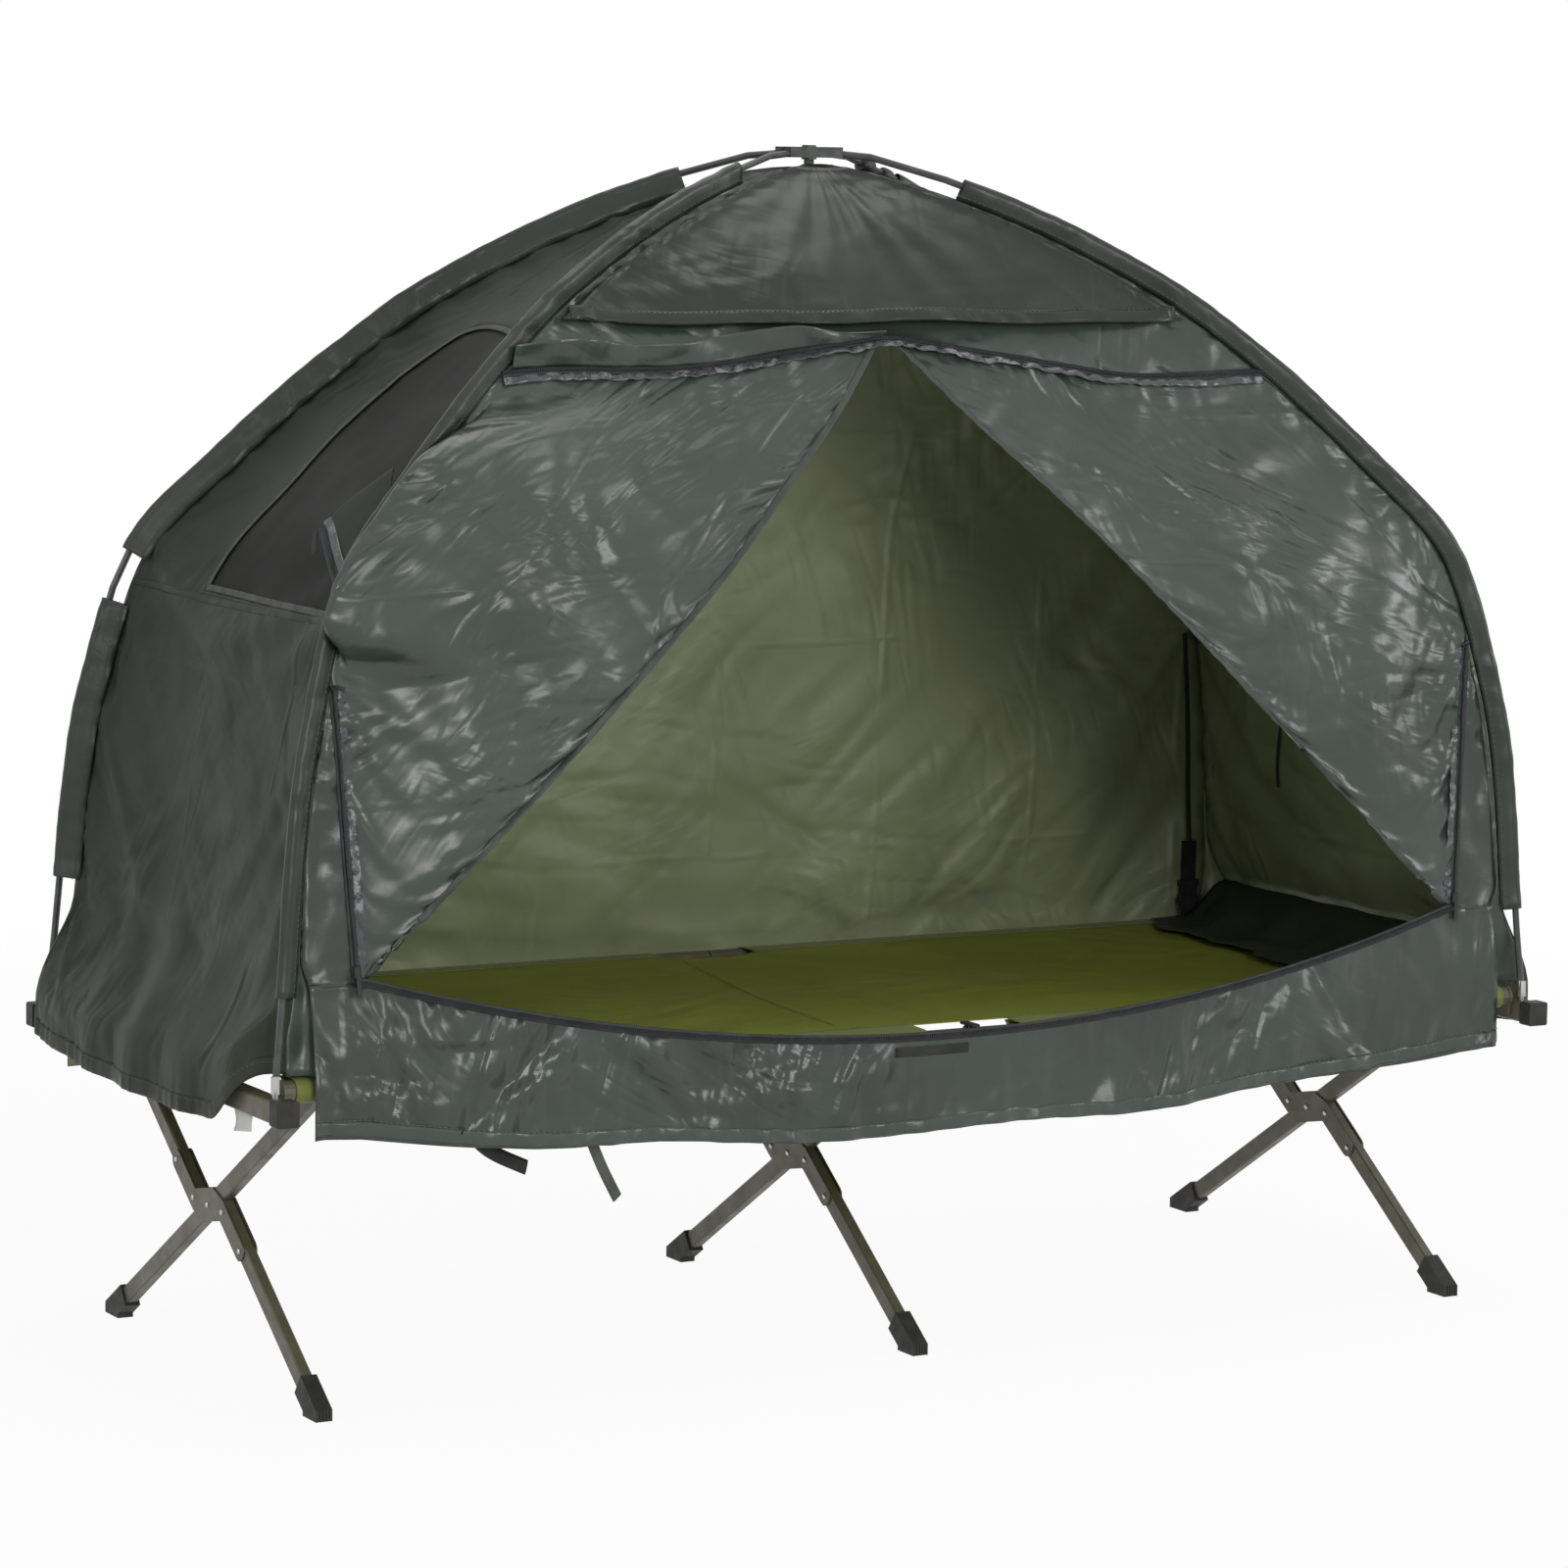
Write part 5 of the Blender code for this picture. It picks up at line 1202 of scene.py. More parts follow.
# An end wall's window, as (y, z).
WINDOW = (
    (0.134, 1.017), (0.115, 1.133), (0.112, 1.210), (0.092, 1.281), (0.060, 1.340), (0.020, 1.362),
    (-0.060, 1.362), (-0.140, 1.350), (-0.192, 1.325), (-0.218, 1.285), (-0.222, 1.240),
    (-0.218, 1.180), (-0.238, 1.090), (-0.268, 1.010),
)


def zip_height(x: np.ndarray) -> np.ndarray:
    """Height of the top zip at places along the bed."""
    return np.interp(x, ZIP_CURVE[:, 0], ZIP_CURVE[:, 1])


def front_of(x: Number, height: Number, out: Number = 0.0) -> Surface:
    """A panel on the canopy's front, some distance proud of it."""
    return Surface.of(x, -ARC.seam(height) * PLAN.sin - out, height)


@dataclass
class Walls:
    """The two end walls with their windows, and the back wall."""

    rows: int = 96
    columns: int = 88
    slack: float = 0.012
    cap: float = 0.013
    hem_width: float = 0.022
    net_flat: tuple = (0.42, 0.46)
    net_area: float = 0.175
    window_share: float = 0.82
    lines: list = field(default_factory=list)
    made: dict = field(default_factory=dict)

    def surface(self, side: Side) -> Surface:
        """Draw a wall between its corner seams.

        Args:
            side: which wall.

        Returns:
            The wall before it hangs.
        """
        ends = side is not Side.BACK
        skirt, hem, widest = ((PLAN.end_x, PLAN.end_hem, PLAN.end_half) if ends
                              else (PLAN.side_y, PLAN.back_hem, PLAN.back_half))
        per, other = (PLAN.cos, PLAN.sin) if ends else (PLAN.sin, PLAN.cos)
        start = PLAN.bar_top + PLAN.clearance
        high = ARC.canopy[ARC.canopy[:, 1] > start + PLAN.clearance]
        bent = np.stack([flared(high[:, 1], high[:, 0] * per, skirt), high[:, 1]], axis=1)
        line = even(np.vstack([[(skirt, hem), (skirt, start)], bent]), self.rows)
        distance, height = line[:, :1], line[:, 1:]
        seam = ARC.low_seam(height) * other - PLAN.seam
        w = np.linspace(-1, 1, self.columns + 1)[None, :]
        w = w if side is Side.RIGHT else -w
        front = 0.30 if side is Side.LEFT else 0.50
        behind = (w > 0) | (not ends)
        drawn_in = smooth((height - np.where(behind, 0.455, front)) / np.where(behind, 0.07, 0.12))
        half = mix(np.minimum(seam, widest), seam, drawn_in)
        inner = 1 - w ** 2
        waves, phase, dip = (5, 0.7, PLAN.end_dip) if ends else (9, 1.9, 0.0)
        top = PLAN.level(0.41)
        hanging = smooth((top - height) / (top - PLAN.bar_top))
        ripple = PLAN.fold * (0.5 + 0.5 * np.sin(math.pi * waves * w + phase)) * hanging
        taut = smooth((height - PLAN.bar_top - PLAN.flare) / PLAN.flare)
        taut = taut * smooth((PLAN.peak - height) / PLAN.flare)
        push = (ripple - PLAN.sag * taut) * inner
        z = height - dip * inner * smooth((PLAN.rail_z - height) / 0.03)
        if side is Side.LEFT:
            distance = mix(distance, ARC.low_seam(height) * per, smooth((-w - 0.80) / 0.20))
            rise = smooth((-w - 0.64) / 0.28) * (1 - smooth((height - hem) / 0.17))
            push = push + 0.006 * np.exp(-((w + 0.45 + (height - 0.4) * 0.5) / 0.10) ** 2) * hanging
            z = z + PLAN.corner_rise * rise
        out, across = distance + push, w * half
        if side is Side.BACK:
            return Surface.of(across, out, z)
        return Surface.of(out if side is Side.RIGHT else -out, across, z)

    def holds(self, surface: Surface) -> np.ndarray:
        """Hold a wall's seams and top fast, and its skirt lightly.

        Args:
            surface: the wall.

        Returns:
            How firmly each point is held.
        """
        z = surface.points[..., 2]
        at_edge = np.zeros(z.shape, bool)
        at_edge[:, [0, -1]] = True
        weights = np.where(at_edge, np.where(z < 0.50, 0.7, 1.0), np.where(z < 0.46, 0.25, 0.0))
        weights[-2:] = 1.0
        return weights

    def spots(self, surface: Surface, places: list) -> np.ndarray:
        """Turn (y, z) places on an end wall into (column, row) places.

        Args:
            surface: the wall.
            places: the places.

        Returns:
            One row for each place.
        """
        index = np.arange(surface.rows)
        low, high = surface.points[:, 0, 1], surface.points[:, -1, 1]
        found = []
        for y, height in places:
            row = float(np.interp(height, surface.points[:, surface.middle, 2], index))
            first, last = np.interp(row, index, low), np.interp(row, index, high)
            found.append(((y - first) / (last - first) * (surface.columns - 1), row))
        return np.array(found)

    def build(self) -> None:
        """Make the walls, the nets, the window tapes and the hems."""
        for side in Side:
            rest = self.surface(side)
            hung = settled(f"wall_{side.value}", rest, self.holds(rest), self.slack, cap=self.cap)
            ends = side is not Side.BACK
            item = self.windowed(side, hung) if ends else cloth_object("wall_back", hung, "matt_canopy")
            sewn(item, f"canopy_wall_{side.value}")
            step = self.hem_width / 2 / max(hung.row_step, 1e-4)
            spots = spots_between((0, hung.columns - 1), (step, step), 260)
            sewn(ribbon(f"hem_{side.value}", hung.line(spots), self.hem_width, 0.0012, "matt_canopy"))
            self.lines.append(hung.line(spots + (0.0, step * 0.75), 0.0012)[0])
            self.made[side] = hung
            LOG.info("wall %s made", side.value)

    def windowed(self, side: Side, hung: Surface) -> Item:
        """Make an end wall with its window, net, tape and cross seam.

        Args:
            side: which wall.
            hung: the wall as it hangs.

        Returns:
            The wall itself.
        """
        name = side.value
        outline = curve_through([*self.spots(hung, list(WINDOW))], 5)
        foot = outline[-1] + np.linspace(0, 1, 24)[1:-1, None] * (outline[0] - outline[-1])
        outline = np.vstack([outline, foot])
        middle = outline.mean(axis=0)
        wall, keep = cut(hung, outline, False)
        net, kept = cut(hung, middle + (outline - middle) * 1.05, True)
        net = Surface(net.points - net.normals * 0.0030, net.flat)
        mesh = sewn(cloth_object(f"net_{name}", net, "fly_net", "fly_net", 0.0006, kept),
                    f"window_mesh_{name}")
        closed = np.vstack([outline, outline[:1]])
        sewn(ribbon(f"window_tape_{name}", hung.line(closed, 0.0002), 0.009, 0.0009, "hem_tape"))
        self.lines.append(hung.line(middle + (closed - middle) * 1.035, 0.0008)[0])
        row = float(outline[-1, 1]) - 0.9
        line, normal = hung.line(spots_between((0.5, hung.columns - 1.5), (row, row), 200))
        sewn(ribbon(f"wall_seam_{name}", (line, normal), 0.011, 0.0010, "matt_canopy"))
        self.lines.append(line + normal * 0.0012)
        return cloth_object(f"wall_{name}", wall, "matt_canopy", keep=keep)


@dataclass
class Front:
    """The panel over the door, the brow, the two door halves and the sill."""

    slack: float = 0.016
    binding_width: float = 0.010
    zip_width: float = 0.012
    coil_width: float = 0.0045
    lines: list = field(default_factory=list)
    zips: list = field(default_factory=list)
    strips: dict = field(default_factory=dict)
    sill_made: Surface | None = None

    def upper(self, rows: int = 60, columns: int = 110) -> Surface:
        """Draw the panel between the top zip and the hub.

        Args:
            rows: cells upwards.
            columns: cells across.

        Returns:
            The panel before it hangs.
        """
        corner = PLAN.zip_corner
        base = even(ARC.canopy[ARC.canopy[:, 1] > corner], rows)[:, 1:]
        top = float(base[-1, 0])
        w = np.linspace(-1, 1, columns + 1)[None, :]
        height = base * np.ones_like(w)
        for _ in range(8):
            rise = zip_height(w * ARC.side_x(height)) + 0.0003 - corner
            height = base + rise * (top - base) / (top - corner)
        return front_of(w * ARC.side_x(height), height)

    def brow(self, rows: int = 44, columns: int = 100) -> Surface:
        """Draw the loose cloth that hangs from the hub over the top zip.

        Args:
            rows: cells upwards.
            columns: cells across.

        Returns:
            The cloth before it hangs.
        """
        base = even(ARC.canopy[ARC.canopy[:, 1] > 1.30], 120)
        high = base[(base[:, 1] < 1.588) & (base[:, 1] >= PLAN.brow_hem - 0.004)]
        line = even(high, rows)
        share = 1 - shares(rows + 1, 1)[0]
        w = np.linspace(-1, 1, columns + 1)[None, :]
        half = line[:, :1] * PLAN.cos - PLAN.seam
        x = w * (half - np.minimum(0.030, half / 2))
        sway = 0.002 * np.sin(5.3 * w + 1.0) + 0.0015 * np.sin(11 * w)
        height = line[:, 1:] + 0.0035 + share ** 3 * (0.004 * w ** 2 + sway)
        fan = np.arctan2(x, PLAN.peak - line[:, 1:])
        out = 0.012 * share ** 2 * (1 - w ** 2) + 0.0035
        out = out + 0.0042 * share * (1 - w ** 2) * np.sin(17 * fan + 1.0) * np.sin(math.pi * share ** 0.7)
        return Surface.of(x, -line[:, :1] * PLAN.sin - out, height + out / 3)

    def side_zip(self, height: np.ndarray) -> Line:
        """Follow the right side zip between the sill and its top end.

        Args:
            height: heights on it.

        Returns:
            X and y at each height.
        """
        low, high = PLAN.corner_low, PLAN.level(PLAN.side_zip_top)
        t = (height - low) / (high - low)
        low_y = float(flared(low, ARC.seam(low) * PLAN.sin, PLAN.side_y))
        return (mix(PLAN.side_zip_x, float(ARC.side_x(high)) - 0.006, t),
                mix(-low_y, -float(ARC.seam(high)) * PLAN.sin, t))

    def flap(self, sign: int, rows: int = 110, columns: int = 90) -> Surface:
        """Draw one door half, drawn aside from the peak to the lower corner.

        Args:
            sign: -1 for the left half and 1 for the right one.
            rows: cells from the lower corner up to the top zip.
            columns: cells from the pole to the free edge.

        Returns:
            The door half before it hangs.
        """
        t, p = shares(rows + 1, columns + 1)
        arch = np.sin(math.pi * t)
        low = PLAN.corner_low + 0.002
        outer_z, inner_z = mix(low, PLAN.zip_corner, t), mix(low, PLAN.door_peak, t)
        zip_x, zip_y = self.side_zip(outer_z)
        above = smooth((outer_z - 0.925) / 0.03)
        outer = mix(zip_x - 0.0012, ARC.side_x(outer_z), above)
        inner = mix(PLAN.corner_x, 0.012, t) - 0.010 * arch * (1 if sign > 0 else 0.6)
        x = mix(outer, inner, p)
        z = mix(outer_z, inner_z, p)
        top = zip_height(sign * x) - 0.0006
        z = z + (top - mix(PLAN.zip_corner, PLAN.door_peak, p)) * smooth((t - 0.75) / 0.25)
        free = np.clip((p - 0.03) / 0.97, 0, 1)
        out = 0.030 * arch * np.sin(math.pi * free) + 0.015 * arch * free ** 2
        fan = np.arctan2(1.36 - z, 0.88 - x)
        strength = arch * np.sin(math.pi * free) ** 0.7
        out = out + 0.0060 * np.sin(19 * fan + 3 * sign + 2.2 * t) * strength
        out = out + 0.0035 * np.abs(np.sin(11 * fan - 1.0 + 5 * p)) * strength
        points = front_of(sign * x, z, np.maximum(out, 0.0)).points
        points[..., 1] += (zip_y + ARC.seam(outer_z) * PLAN.sin) * (1 - above) * (1 - p) ** 2
        if sign < 0:
            self.cover_pole(points, t, p)
        return Surface(points[:, ::-1] if sign > 0 else points)

    def cover_pole(self, points: np.ndarray, t: np.ndarray, p: np.ndarray) -> None:
        """Let the left door half swell out round the front of its pole, as the slack cloth does.

        Args:
            points: the door half's points, which move.
            t: the share of its height for each row.
            p: the share of its width for each column.
        """
        rising = smooth((t - 0.49) / 0.13) * smooth((1.0 - t) / 0.12)
        loop = curve_through([(0.0, 0.0, 0.0), (0.03, -0.002, -0.024), (0.06, -0.028, -0.036),
                              (0.09, -0.058, -0.036), (0.12, -0.054, -0.046), (0.16, -0.024, -0.056),
                              (0.20, 0.010, -0.058)], 6)
        last = loop[-1, 0]
        wanted = np.stack([np.interp(np.minimum(p, last), loop[:, 0], loop[:, k]) for k in (1, 2)], axis=-1)
        edge = int(np.searchsorted(p[0], last))
        base = points[..., :2] - points[:, :1, :2]
        base[:, edge:] = base[:, edge:edge + 1]
        points[..., :2] += (wanted - base) * ((1 - smooth((p - last) / 0.45)) * rising)[..., None]

    def sill(self, rows: int = 26, columns: int = 230) -> Surface:
        """Draw the panel below the door.

        Args:
            rows: cells upwards.
            columns: cells across.

        Returns:
            The panel before it hangs.
        """
        v = shares(rows + 1, 1)[0]
        x = np.linspace(-PLAN.sill_half, PLAN.sill_half, columns + 1)[None, :]
        share = 1 - np.minimum(np.abs(x) / PLAN.side_zip_x, 1.0) ** 2
        top = PLAN.level(0.095) - 0.117 * (1 - np.minimum(np.abs(x) / PLAN.corner_x, 1.0) ** 2)
        z = mix(0.366 - 0.048 * share + 0.004 * np.sin(13 * x + 0.6), top, v)
        ripple = 0.5 + 0.5 * np.sin(math.pi * 6 * x / PLAN.sill_half + 1.1)
        out = 0.003 + 0.014 * share + PLAN.fold * ripple * share * (1 - v)
        return Surface.of(x, -flared(z, ARC.low_seam(z) * PLAN.sin, PLAN.side_y) - out, z)

    def strip(self, sign: int, rows: int = 40, columns: int = 8) -> Surface:
        """Draw the narrow strip between a side zip and its corner seam.

        Args:
            sign: -1 for the left strip and 1 for the right one.
            rows: cells upwards.
            columns: cells across.

        Returns:
            The strip before it hangs.
        """
        v, u = shares(rows + 1, columns + 1)
        z = mix(PLAN.corner_low - 0.004, PLAN.level(PLAN.side_zip_top), v)
        zip_x, zip_y = self.side_zip(z)
        far = mix(PLAN.sill_half, ARC.seam(z) * PLAN.cos - 0.0055, smooth(v / 0.10))
        u = u if sign > 0 else 1 - u
        bow = 0.004 * np.sin(9 * v + 1) * u * (1 - u) * 4
        return Surface.of(sign * mix(zip_x, far, u), zip_y - bow, z)

    def panel(self, name: str, rest: Surface, edges: tuple, node: str | None, slot: str,
              outer: str = "glossy_door", slack: float | None = None, gravity: float = 0.35,
              cap: float = 0.016) -> Surface:
        """Hang one panel and make it.

        Args:
            name: the piece's name.
            rest: the panel before it hangs.
            edges: how firmly its left, right, top and bottom are held.
            node: the CAD node that it stands for.
            slot: not used.
            outer: the finish outside.
            slack: share by which the cloth is wider than its space, if not the front's own.
            gravity: share of the pull of the earth.
            cap: the furthest that a point may move.

        Returns:
            The panel as it hangs.
        """
        hung = settled(name, rest, edge_weights(rest, *edges), self.slack if slack is None else slack, 0.25,
                       gravity, cap)
        item = sewn(cloth_object(name, hung, outer), node)
        LOG.info("%s made", name)
        return hung

    def build(self) -> None:
        """Make every panel of the front with its tapes, zips and hems."""
        sewn_round = (1, 1, 1, 1)
        upper = self.panel("panel_over_door", self.upper(), sewn_round, "canopy_front_upper", "canopy_cloth",
                           cap=0.008)
        brow = self.panel("brow", self.brow(), (1, 1, 1, 0.12), "canopy_brow", "canopy_cloth", "satin_brow",
                          gravity=0.2, cap=0.006)
        sill = self.panel("sill", self.sill(), (0.8, 0.8, 0.85, 0.10), "front_sill", "door_cloth",
                          "crumpled_shaded_door", slack=0.012, cap=0.006)
        self.sill_made = sill
        for side, sign in SIDES.items():
            flap = self.panel(f"door_half_{side}", self.flap(sign), sewn_round, f"door_flap_{side}",
                              "door_cloth", gravity=0.4, cap=0.014)
            column = 0.6 if sign > 0 else flap.columns - 1.6
            edge = flap.line(spots_between((column, column), (0.5, flap.rows - 1.2), 200))
            sewn(ribbon(f"door_binding_{side}", edge, self.binding_width, 0.0012, "hem_tape"))
            strip = self.panel(f"corner_strip_{side}", self.strip(sign), sewn_round, None, "door_cloth",
                               "crumpled_shaded_door", slack=0.004, cap=0.004)
            self.strips[sign] = strip
            column = 0.0 if sign > 0 else strip.columns - 1.0
            spots = spots_between((column, column), (0, strip.rows - 1), 120)
            self.zipper(f"side_zip_{side}", strip.line(spots, 0.0002), sign)
        self.hem("brow_hem", brow, 0.010, "satin_brow")
        self.hem("sill_hem", sill, 0.009, "glossy_door")
        first = float(np.argmin(np.abs(sill.points[-1, :, 0] + PLAN.side_zip_x)))
        top = (sill.rows - 1.0, sill.rows - 1.0)
        self.zipper("sill_zip", sill.line(spots_between((first, sill.columns - 1 - first), top, 400), 0.0002), 0)
        line, normal = upper.line(spots_between((0.0, upper.columns - 1), (0.0, 0.0), 360), 0.0012)
        self.zipper("top_zip", (line, normal), -1)
        self.storm_flap(line[(line[:, 0] > -0.565) & (line[:, 0] < -0.006)])

    def storm_flap(self, line: np.ndarray, rows: int = 10) -> None:
        """Make the loose cloth over the left half of the top zip, folded up off it.

        Args:
            line: the zip's line below it.
            rows: rows of points upwards.
        """
        v = shares(rows, 1)[0]
        x, y, z = line.T[:, None]
        wide = 0.032 * (0.25 + 0.75 * smooth((-x - 0.006) / 0.16)) + 0.003 * np.sin(x * 23.0)
        lean = 0.010 + 0.004 * np.sin(x * 37.0 + 1.0) + 0.003 * np.sin(x * 61.0 + 3.0 * v)
        flap = Surface.of(x + 0.004 * np.sin(x * 29.0) * v, y - 0.003 - lean * v, z + 0.004 + wide * v)
        flap = flap.facing(1, -1)
        item = sewn(cloth_object("storm_flap", flap, "crumpled_shaded_door", thickness=0.0012))

    def hem(self, name: str, panel: Surface, middle: float, finish: str) -> None:
        """Make the hem along a panel's foot, and keep the line of its stitches.

        Args:
            name: the hem's name.
            panel: the panel.
            middle: height of the hem's middle line over the panel's edge.
            finish: its finish.
        """
        row = middle / panel.row_step
        spots = spots_between((0, panel.columns - 1), (row, row), 300)
        sewn(ribbon(name, panel.line(spots), middle * 2, 0.0012, finish))
        self.lines.append(panel.line(spots + (0.0, 0.8 * row), 0.0012)[0])

    def zipper(self, name: str, run: Line, shine_on: int) -> None:
        """Make a coil zip with its tape, and shiny backing tape on one side.

        Args:
            name: the zip's name.
            run: the line of its teeth, and which way it faces.
            shine_on: -1 or 1 for the side of the backing tape, 0 for none.
        """
        line, normals = run
        sewn(ribbon(name, run, self.zip_width, 0.0012, "zip_tape"))
        sewn(ribbon(f"{name}_coil", (line + normals * 0.0010, normals), self.coil_width, 0.0018, "zip_tape"))
        if shine_on:
            side = unit(np.cross(normals, unit(np.gradient(line, axis=0))))
            moved = line + side * 0.0105 * shine_on - normals * 0.0002
            sewn(ribbon(f"{name}_backing", (moved, normals), self.zip_width, 0.0011, "coated_tape"))
        self.zips.append(line + normals * 0.0028)


@dataclass
class Sleeves:
    """Cloth sleeves over the four poles, sewn down to the corner seams."""

    radius: float = 0.0078
    foot: float = PLAN.drop + 0.0005
    starts: tuple = (0.549, 0.552, 0.604, 0.56)
    stops: tuple = (0.150, 0.205, 0.175, 0.19)
    bare: tuple = (0.985, 1.045)
    lines: list = field(default_factory=list)

    def section(self) -> np.ndarray:
        """Draw the loose teardrop round the pole, with a flange down to the seam.

        Returns:
            Places across it, as (out, aside).
        """
        turns = np.linspace(-0.5 * math.pi, 0.5 * math.pi, 13)
        ring = np.stack([np.cos(turns) * 1.25, np.sin(turns)], axis=1) * self.radius
        foot = self.foot
        wall = [(-foot - 0.0070, -0.0210), (-foot * 0.80, -0.0165), (-foot * 0.32, -0.0122)]
        front = [(-foot * 0.35, self.radius * 0.8), (-foot * 0.7, 0.0045), (-foot, 0.0035)]
        return np.vstack([wall, ring, front])

    def build(self) -> None:
        """Make the sleeves, in two stretches where the pole shows between them."""
        for (corner, signs), low, high in zip(CORNERS.items(), self.starts, self.stops):
            above, inward = ARC.pole[:, 1] >= low, ARC.pole[:, 0] >= high
            spans = [above & inward]
            if corner == "back_left":
                spans = [above & (ARC.pole[:, 1] <= self.bare[0]), (ARC.pole[:, 1] >= self.bare[1]) & inward]
            parts = [self.run(f"sleeve_{corner}", even(ARC.pole[span], 150), *signs) for span in spans]
            sewn(joined(f"pole_sleeve_{corner}", parts), f"sleeve_{corner}")

    def run(self, name: str, line: np.ndarray, sx: int, sy: int) -> Item:
        """Make one stretch of sleeve along part of a pole, and keep the lines of its stitches.

        Args:
            name: the piece's name.
            line: the part of the pole, as (reach, height).
            sx: 1 towards the right end, -1 towards the left one.
            sy: 1 towards the back, -1 towards the front.

        Returns:
            The stretch as a closed mesh.
        """
        path = np.stack([sx * line[:, 0] * PLAN.cos, sy * line[:, 0] * PLAN.sin, line[:, 1]], axis=1)
        way = unit(np.gradient(path, axis=0))
        across = np.array([-sx * PLAN.sin, sy * PLAN.cos, 0.0])
        out = unit(np.cross(across, way))
        outward = (out[:, :2] * path[:, :2]).sum(axis=1) + out[:, 2]
        out = out * np.where(outward < 0, -1.0, 1.0)[:, None]
        section = self.section()
        seed = 3.0 * sx + 7.0 * sy
        loose, fine = (np.array([noise.noise(Vector((s * scale, seed, layer))) for s in along(path)])
                       for scale, layer in ((11.0, 0.0), (45.0, 4.0)))
        swell = (1 + 0.16 * loose + 0.10 * fine)[:, None, None]
        reach, aside = section[None, :, :1], section[None, :, 1:]
        points = (path[:, None] + out[:, None] * reach * np.where(reach > 0, swell, 1.0)
                  + across * aside * swell)
        surface = Surface(points)
        if (surface.normals[:, 9] * out).sum() < 0:
            surface = Surface(points[:, ::-1])
        for k in (1, len(section) - 2):
            self.lines.append(points[:, k] + (points[:, k] - path) * 0.02)
        return cloth_object(name, surface, "satin_sleeve", "satin_sleeve", 0.0007)


# The bed

@dataclass
class Bed:
    """The bed sheet between its two rail sleeves, with hems and stitches."""

    half: float = 0.925
    stitch: float = 0.334
    top: float = 0.4464
    sleeve: float = 0.0159
    sag: float = 0.007
    keep: float = 0.13
    band: float = 0.020
    leg_slot: float = 0.015
    notch_front: tuple = (-0.012, 0.135)
    notch_back: tuple = (-0.036, 0.112)
    notch_depth: float = 0.022
    thickness: float = 0.0009
    stitch_end: float = 0.29
    sheet_flat: tuple = (1.87, 0.680)
    sheet_area: float = 1.26
    sleeve_flat: tuple = (1.85, 0.140)
    sleeve_area: float = 0.235

    def sheet(self, rows: int = 110, columns: int = 300) -> Surface:
        """Draw the sheet between the sewn lines, a little slack and creased from its folding.

        Args:
            rows: cells across the bed.
            columns: cells along it.

        Returns:
            The sheet.
        """
        x = np.linspace(-self.half, self.half, columns + 1)[None, :]
        y = np.linspace(-self.stitch, self.stitch, rows + 1)[:, None]
        across = 1 - (y / self.stitch) ** 2
        coarse = Surface.of(x * 7.0, y * 2.6, 0.0).points
        fine = Surface.of(x * 26.0, y * 6.0, 2.0).points
        z = self.top - self.sag * across + 0.0022 * across * wave_noise(coarse, 1.3)
        pull = (0.35 + 0.65 * smooth((np.abs(y) - 0.18) / 0.14)) * (1 - smooth((np.abs(y) - 0.315) / 0.019))
        z = z + 0.0008 * wave_noise(fine, 5.1) * pull
        crease = (x + 0.057) - (y - 0.015) * (-0.013 + 0.10) / 0.64
        z = z + 0.0020 * np.exp(-(crease / 0.005) ** 2) * np.minimum(across * 4, 1)
        middle = x - PLAN.joint_x
        z = z - 0.0030 * np.exp(-(middle / 0.020) ** 2) * np.minimum(across * 2, 1)
        return Surface.of(x, y, z)

    def spots(self, sheet: Surface, x: np.ndarray, y: np.ndarray) -> np.ndarray:
        """Turn places on the sheet into (column, row) places."""
        return np.stack([(x + self.half) / (2 * self.half) * (sheet.columns - 1),
                         (y + self.stitch) / (2 * self.stitch) * (sheet.rows - 1)], axis=1)

    def rail_sleeve(self, name: str, sign: int, first: float, last: float, columns: int = 30) -> Item:
        """Make the part of the sheet that wraps a rail, between two places along it.

        Args:
            name: the piece's name.
            sign: -1 for the front rail and 1 for the back one.
            first: where it begins along the bed.
            last: where it ends.
            columns: cells round the rail.

        Returns:
            The sleeve, open where the legs pass through it.
        """
        turn = np.linspace(-0.62 * math.pi, 0.5 * math.pi, 18)
        ring = (PLAN.rail_y, PLAN.rail_z) + self.sleeve * np.stack([np.cos(turn), np.sin(turn)], axis=1)
        below, above = (self.stitch, self.top - 0.0028), (self.stitch - 0.003, self.top + 0.0010)
        under = mix(np.array(below), ring[0], np.linspace(0, 1, 6)[:-1, None])
        over = mix(ring[-1], np.array(above), np.linspace(0, 1, 7)[1:, None])
        y, z = even(np.vstack([under, ring, over]), columns).T[:, None]
        x = np.linspace(first, last, int((last - first) * 150) + 1)[:, None]
        wrinkle = wave_noise(Surface.of(x * 30.0, y * 8.0, z * 8.0).points, 3.0 * sign)
        edge = np.minimum(np.arange(columns + 1), np.arange(columns + 1)[::-1])[None, :]
        lift = 0.0007 * (wrinkle * 0.5 + 0.5 + np.sin(x * 380.0) * 0.25) * smooth(edge / 5)
        out = unit(np.stack([y - PLAN.rail_y, z - PLAN.rail_z], axis=-1)) * lift[..., None]
        grid = Surface.of(x, (y + out[..., 0]) * sign, z + out[..., 1]).points
        surface = Surface(grid[:, ::-1] if sign < 0 else grid)
        grid = surface.points
        middles = (grid[1:, 1:] + grid[:-1, :-1]) / 2
        low = (middles[..., 2] < PLAN.rail_z - 0.006) | (np.abs(middles[..., 1]) < PLAN.rail_y - self.sleeve)
        low &= middles[..., 2] < self.top - 0.004
        keep = np.ones(middles.shape[:2], bool)
        for station in (-PLAN.leg_x, 0.0, PLAN.leg_x):
            keep &= ~(low & (np.abs(middles[..., 0] - station) < self.leg_slot))
        return cloth_object(name, surface, "rail_canvas_shade_and_sheen", "rail_canvas_shade_and_sheen", self.thickness, keep)

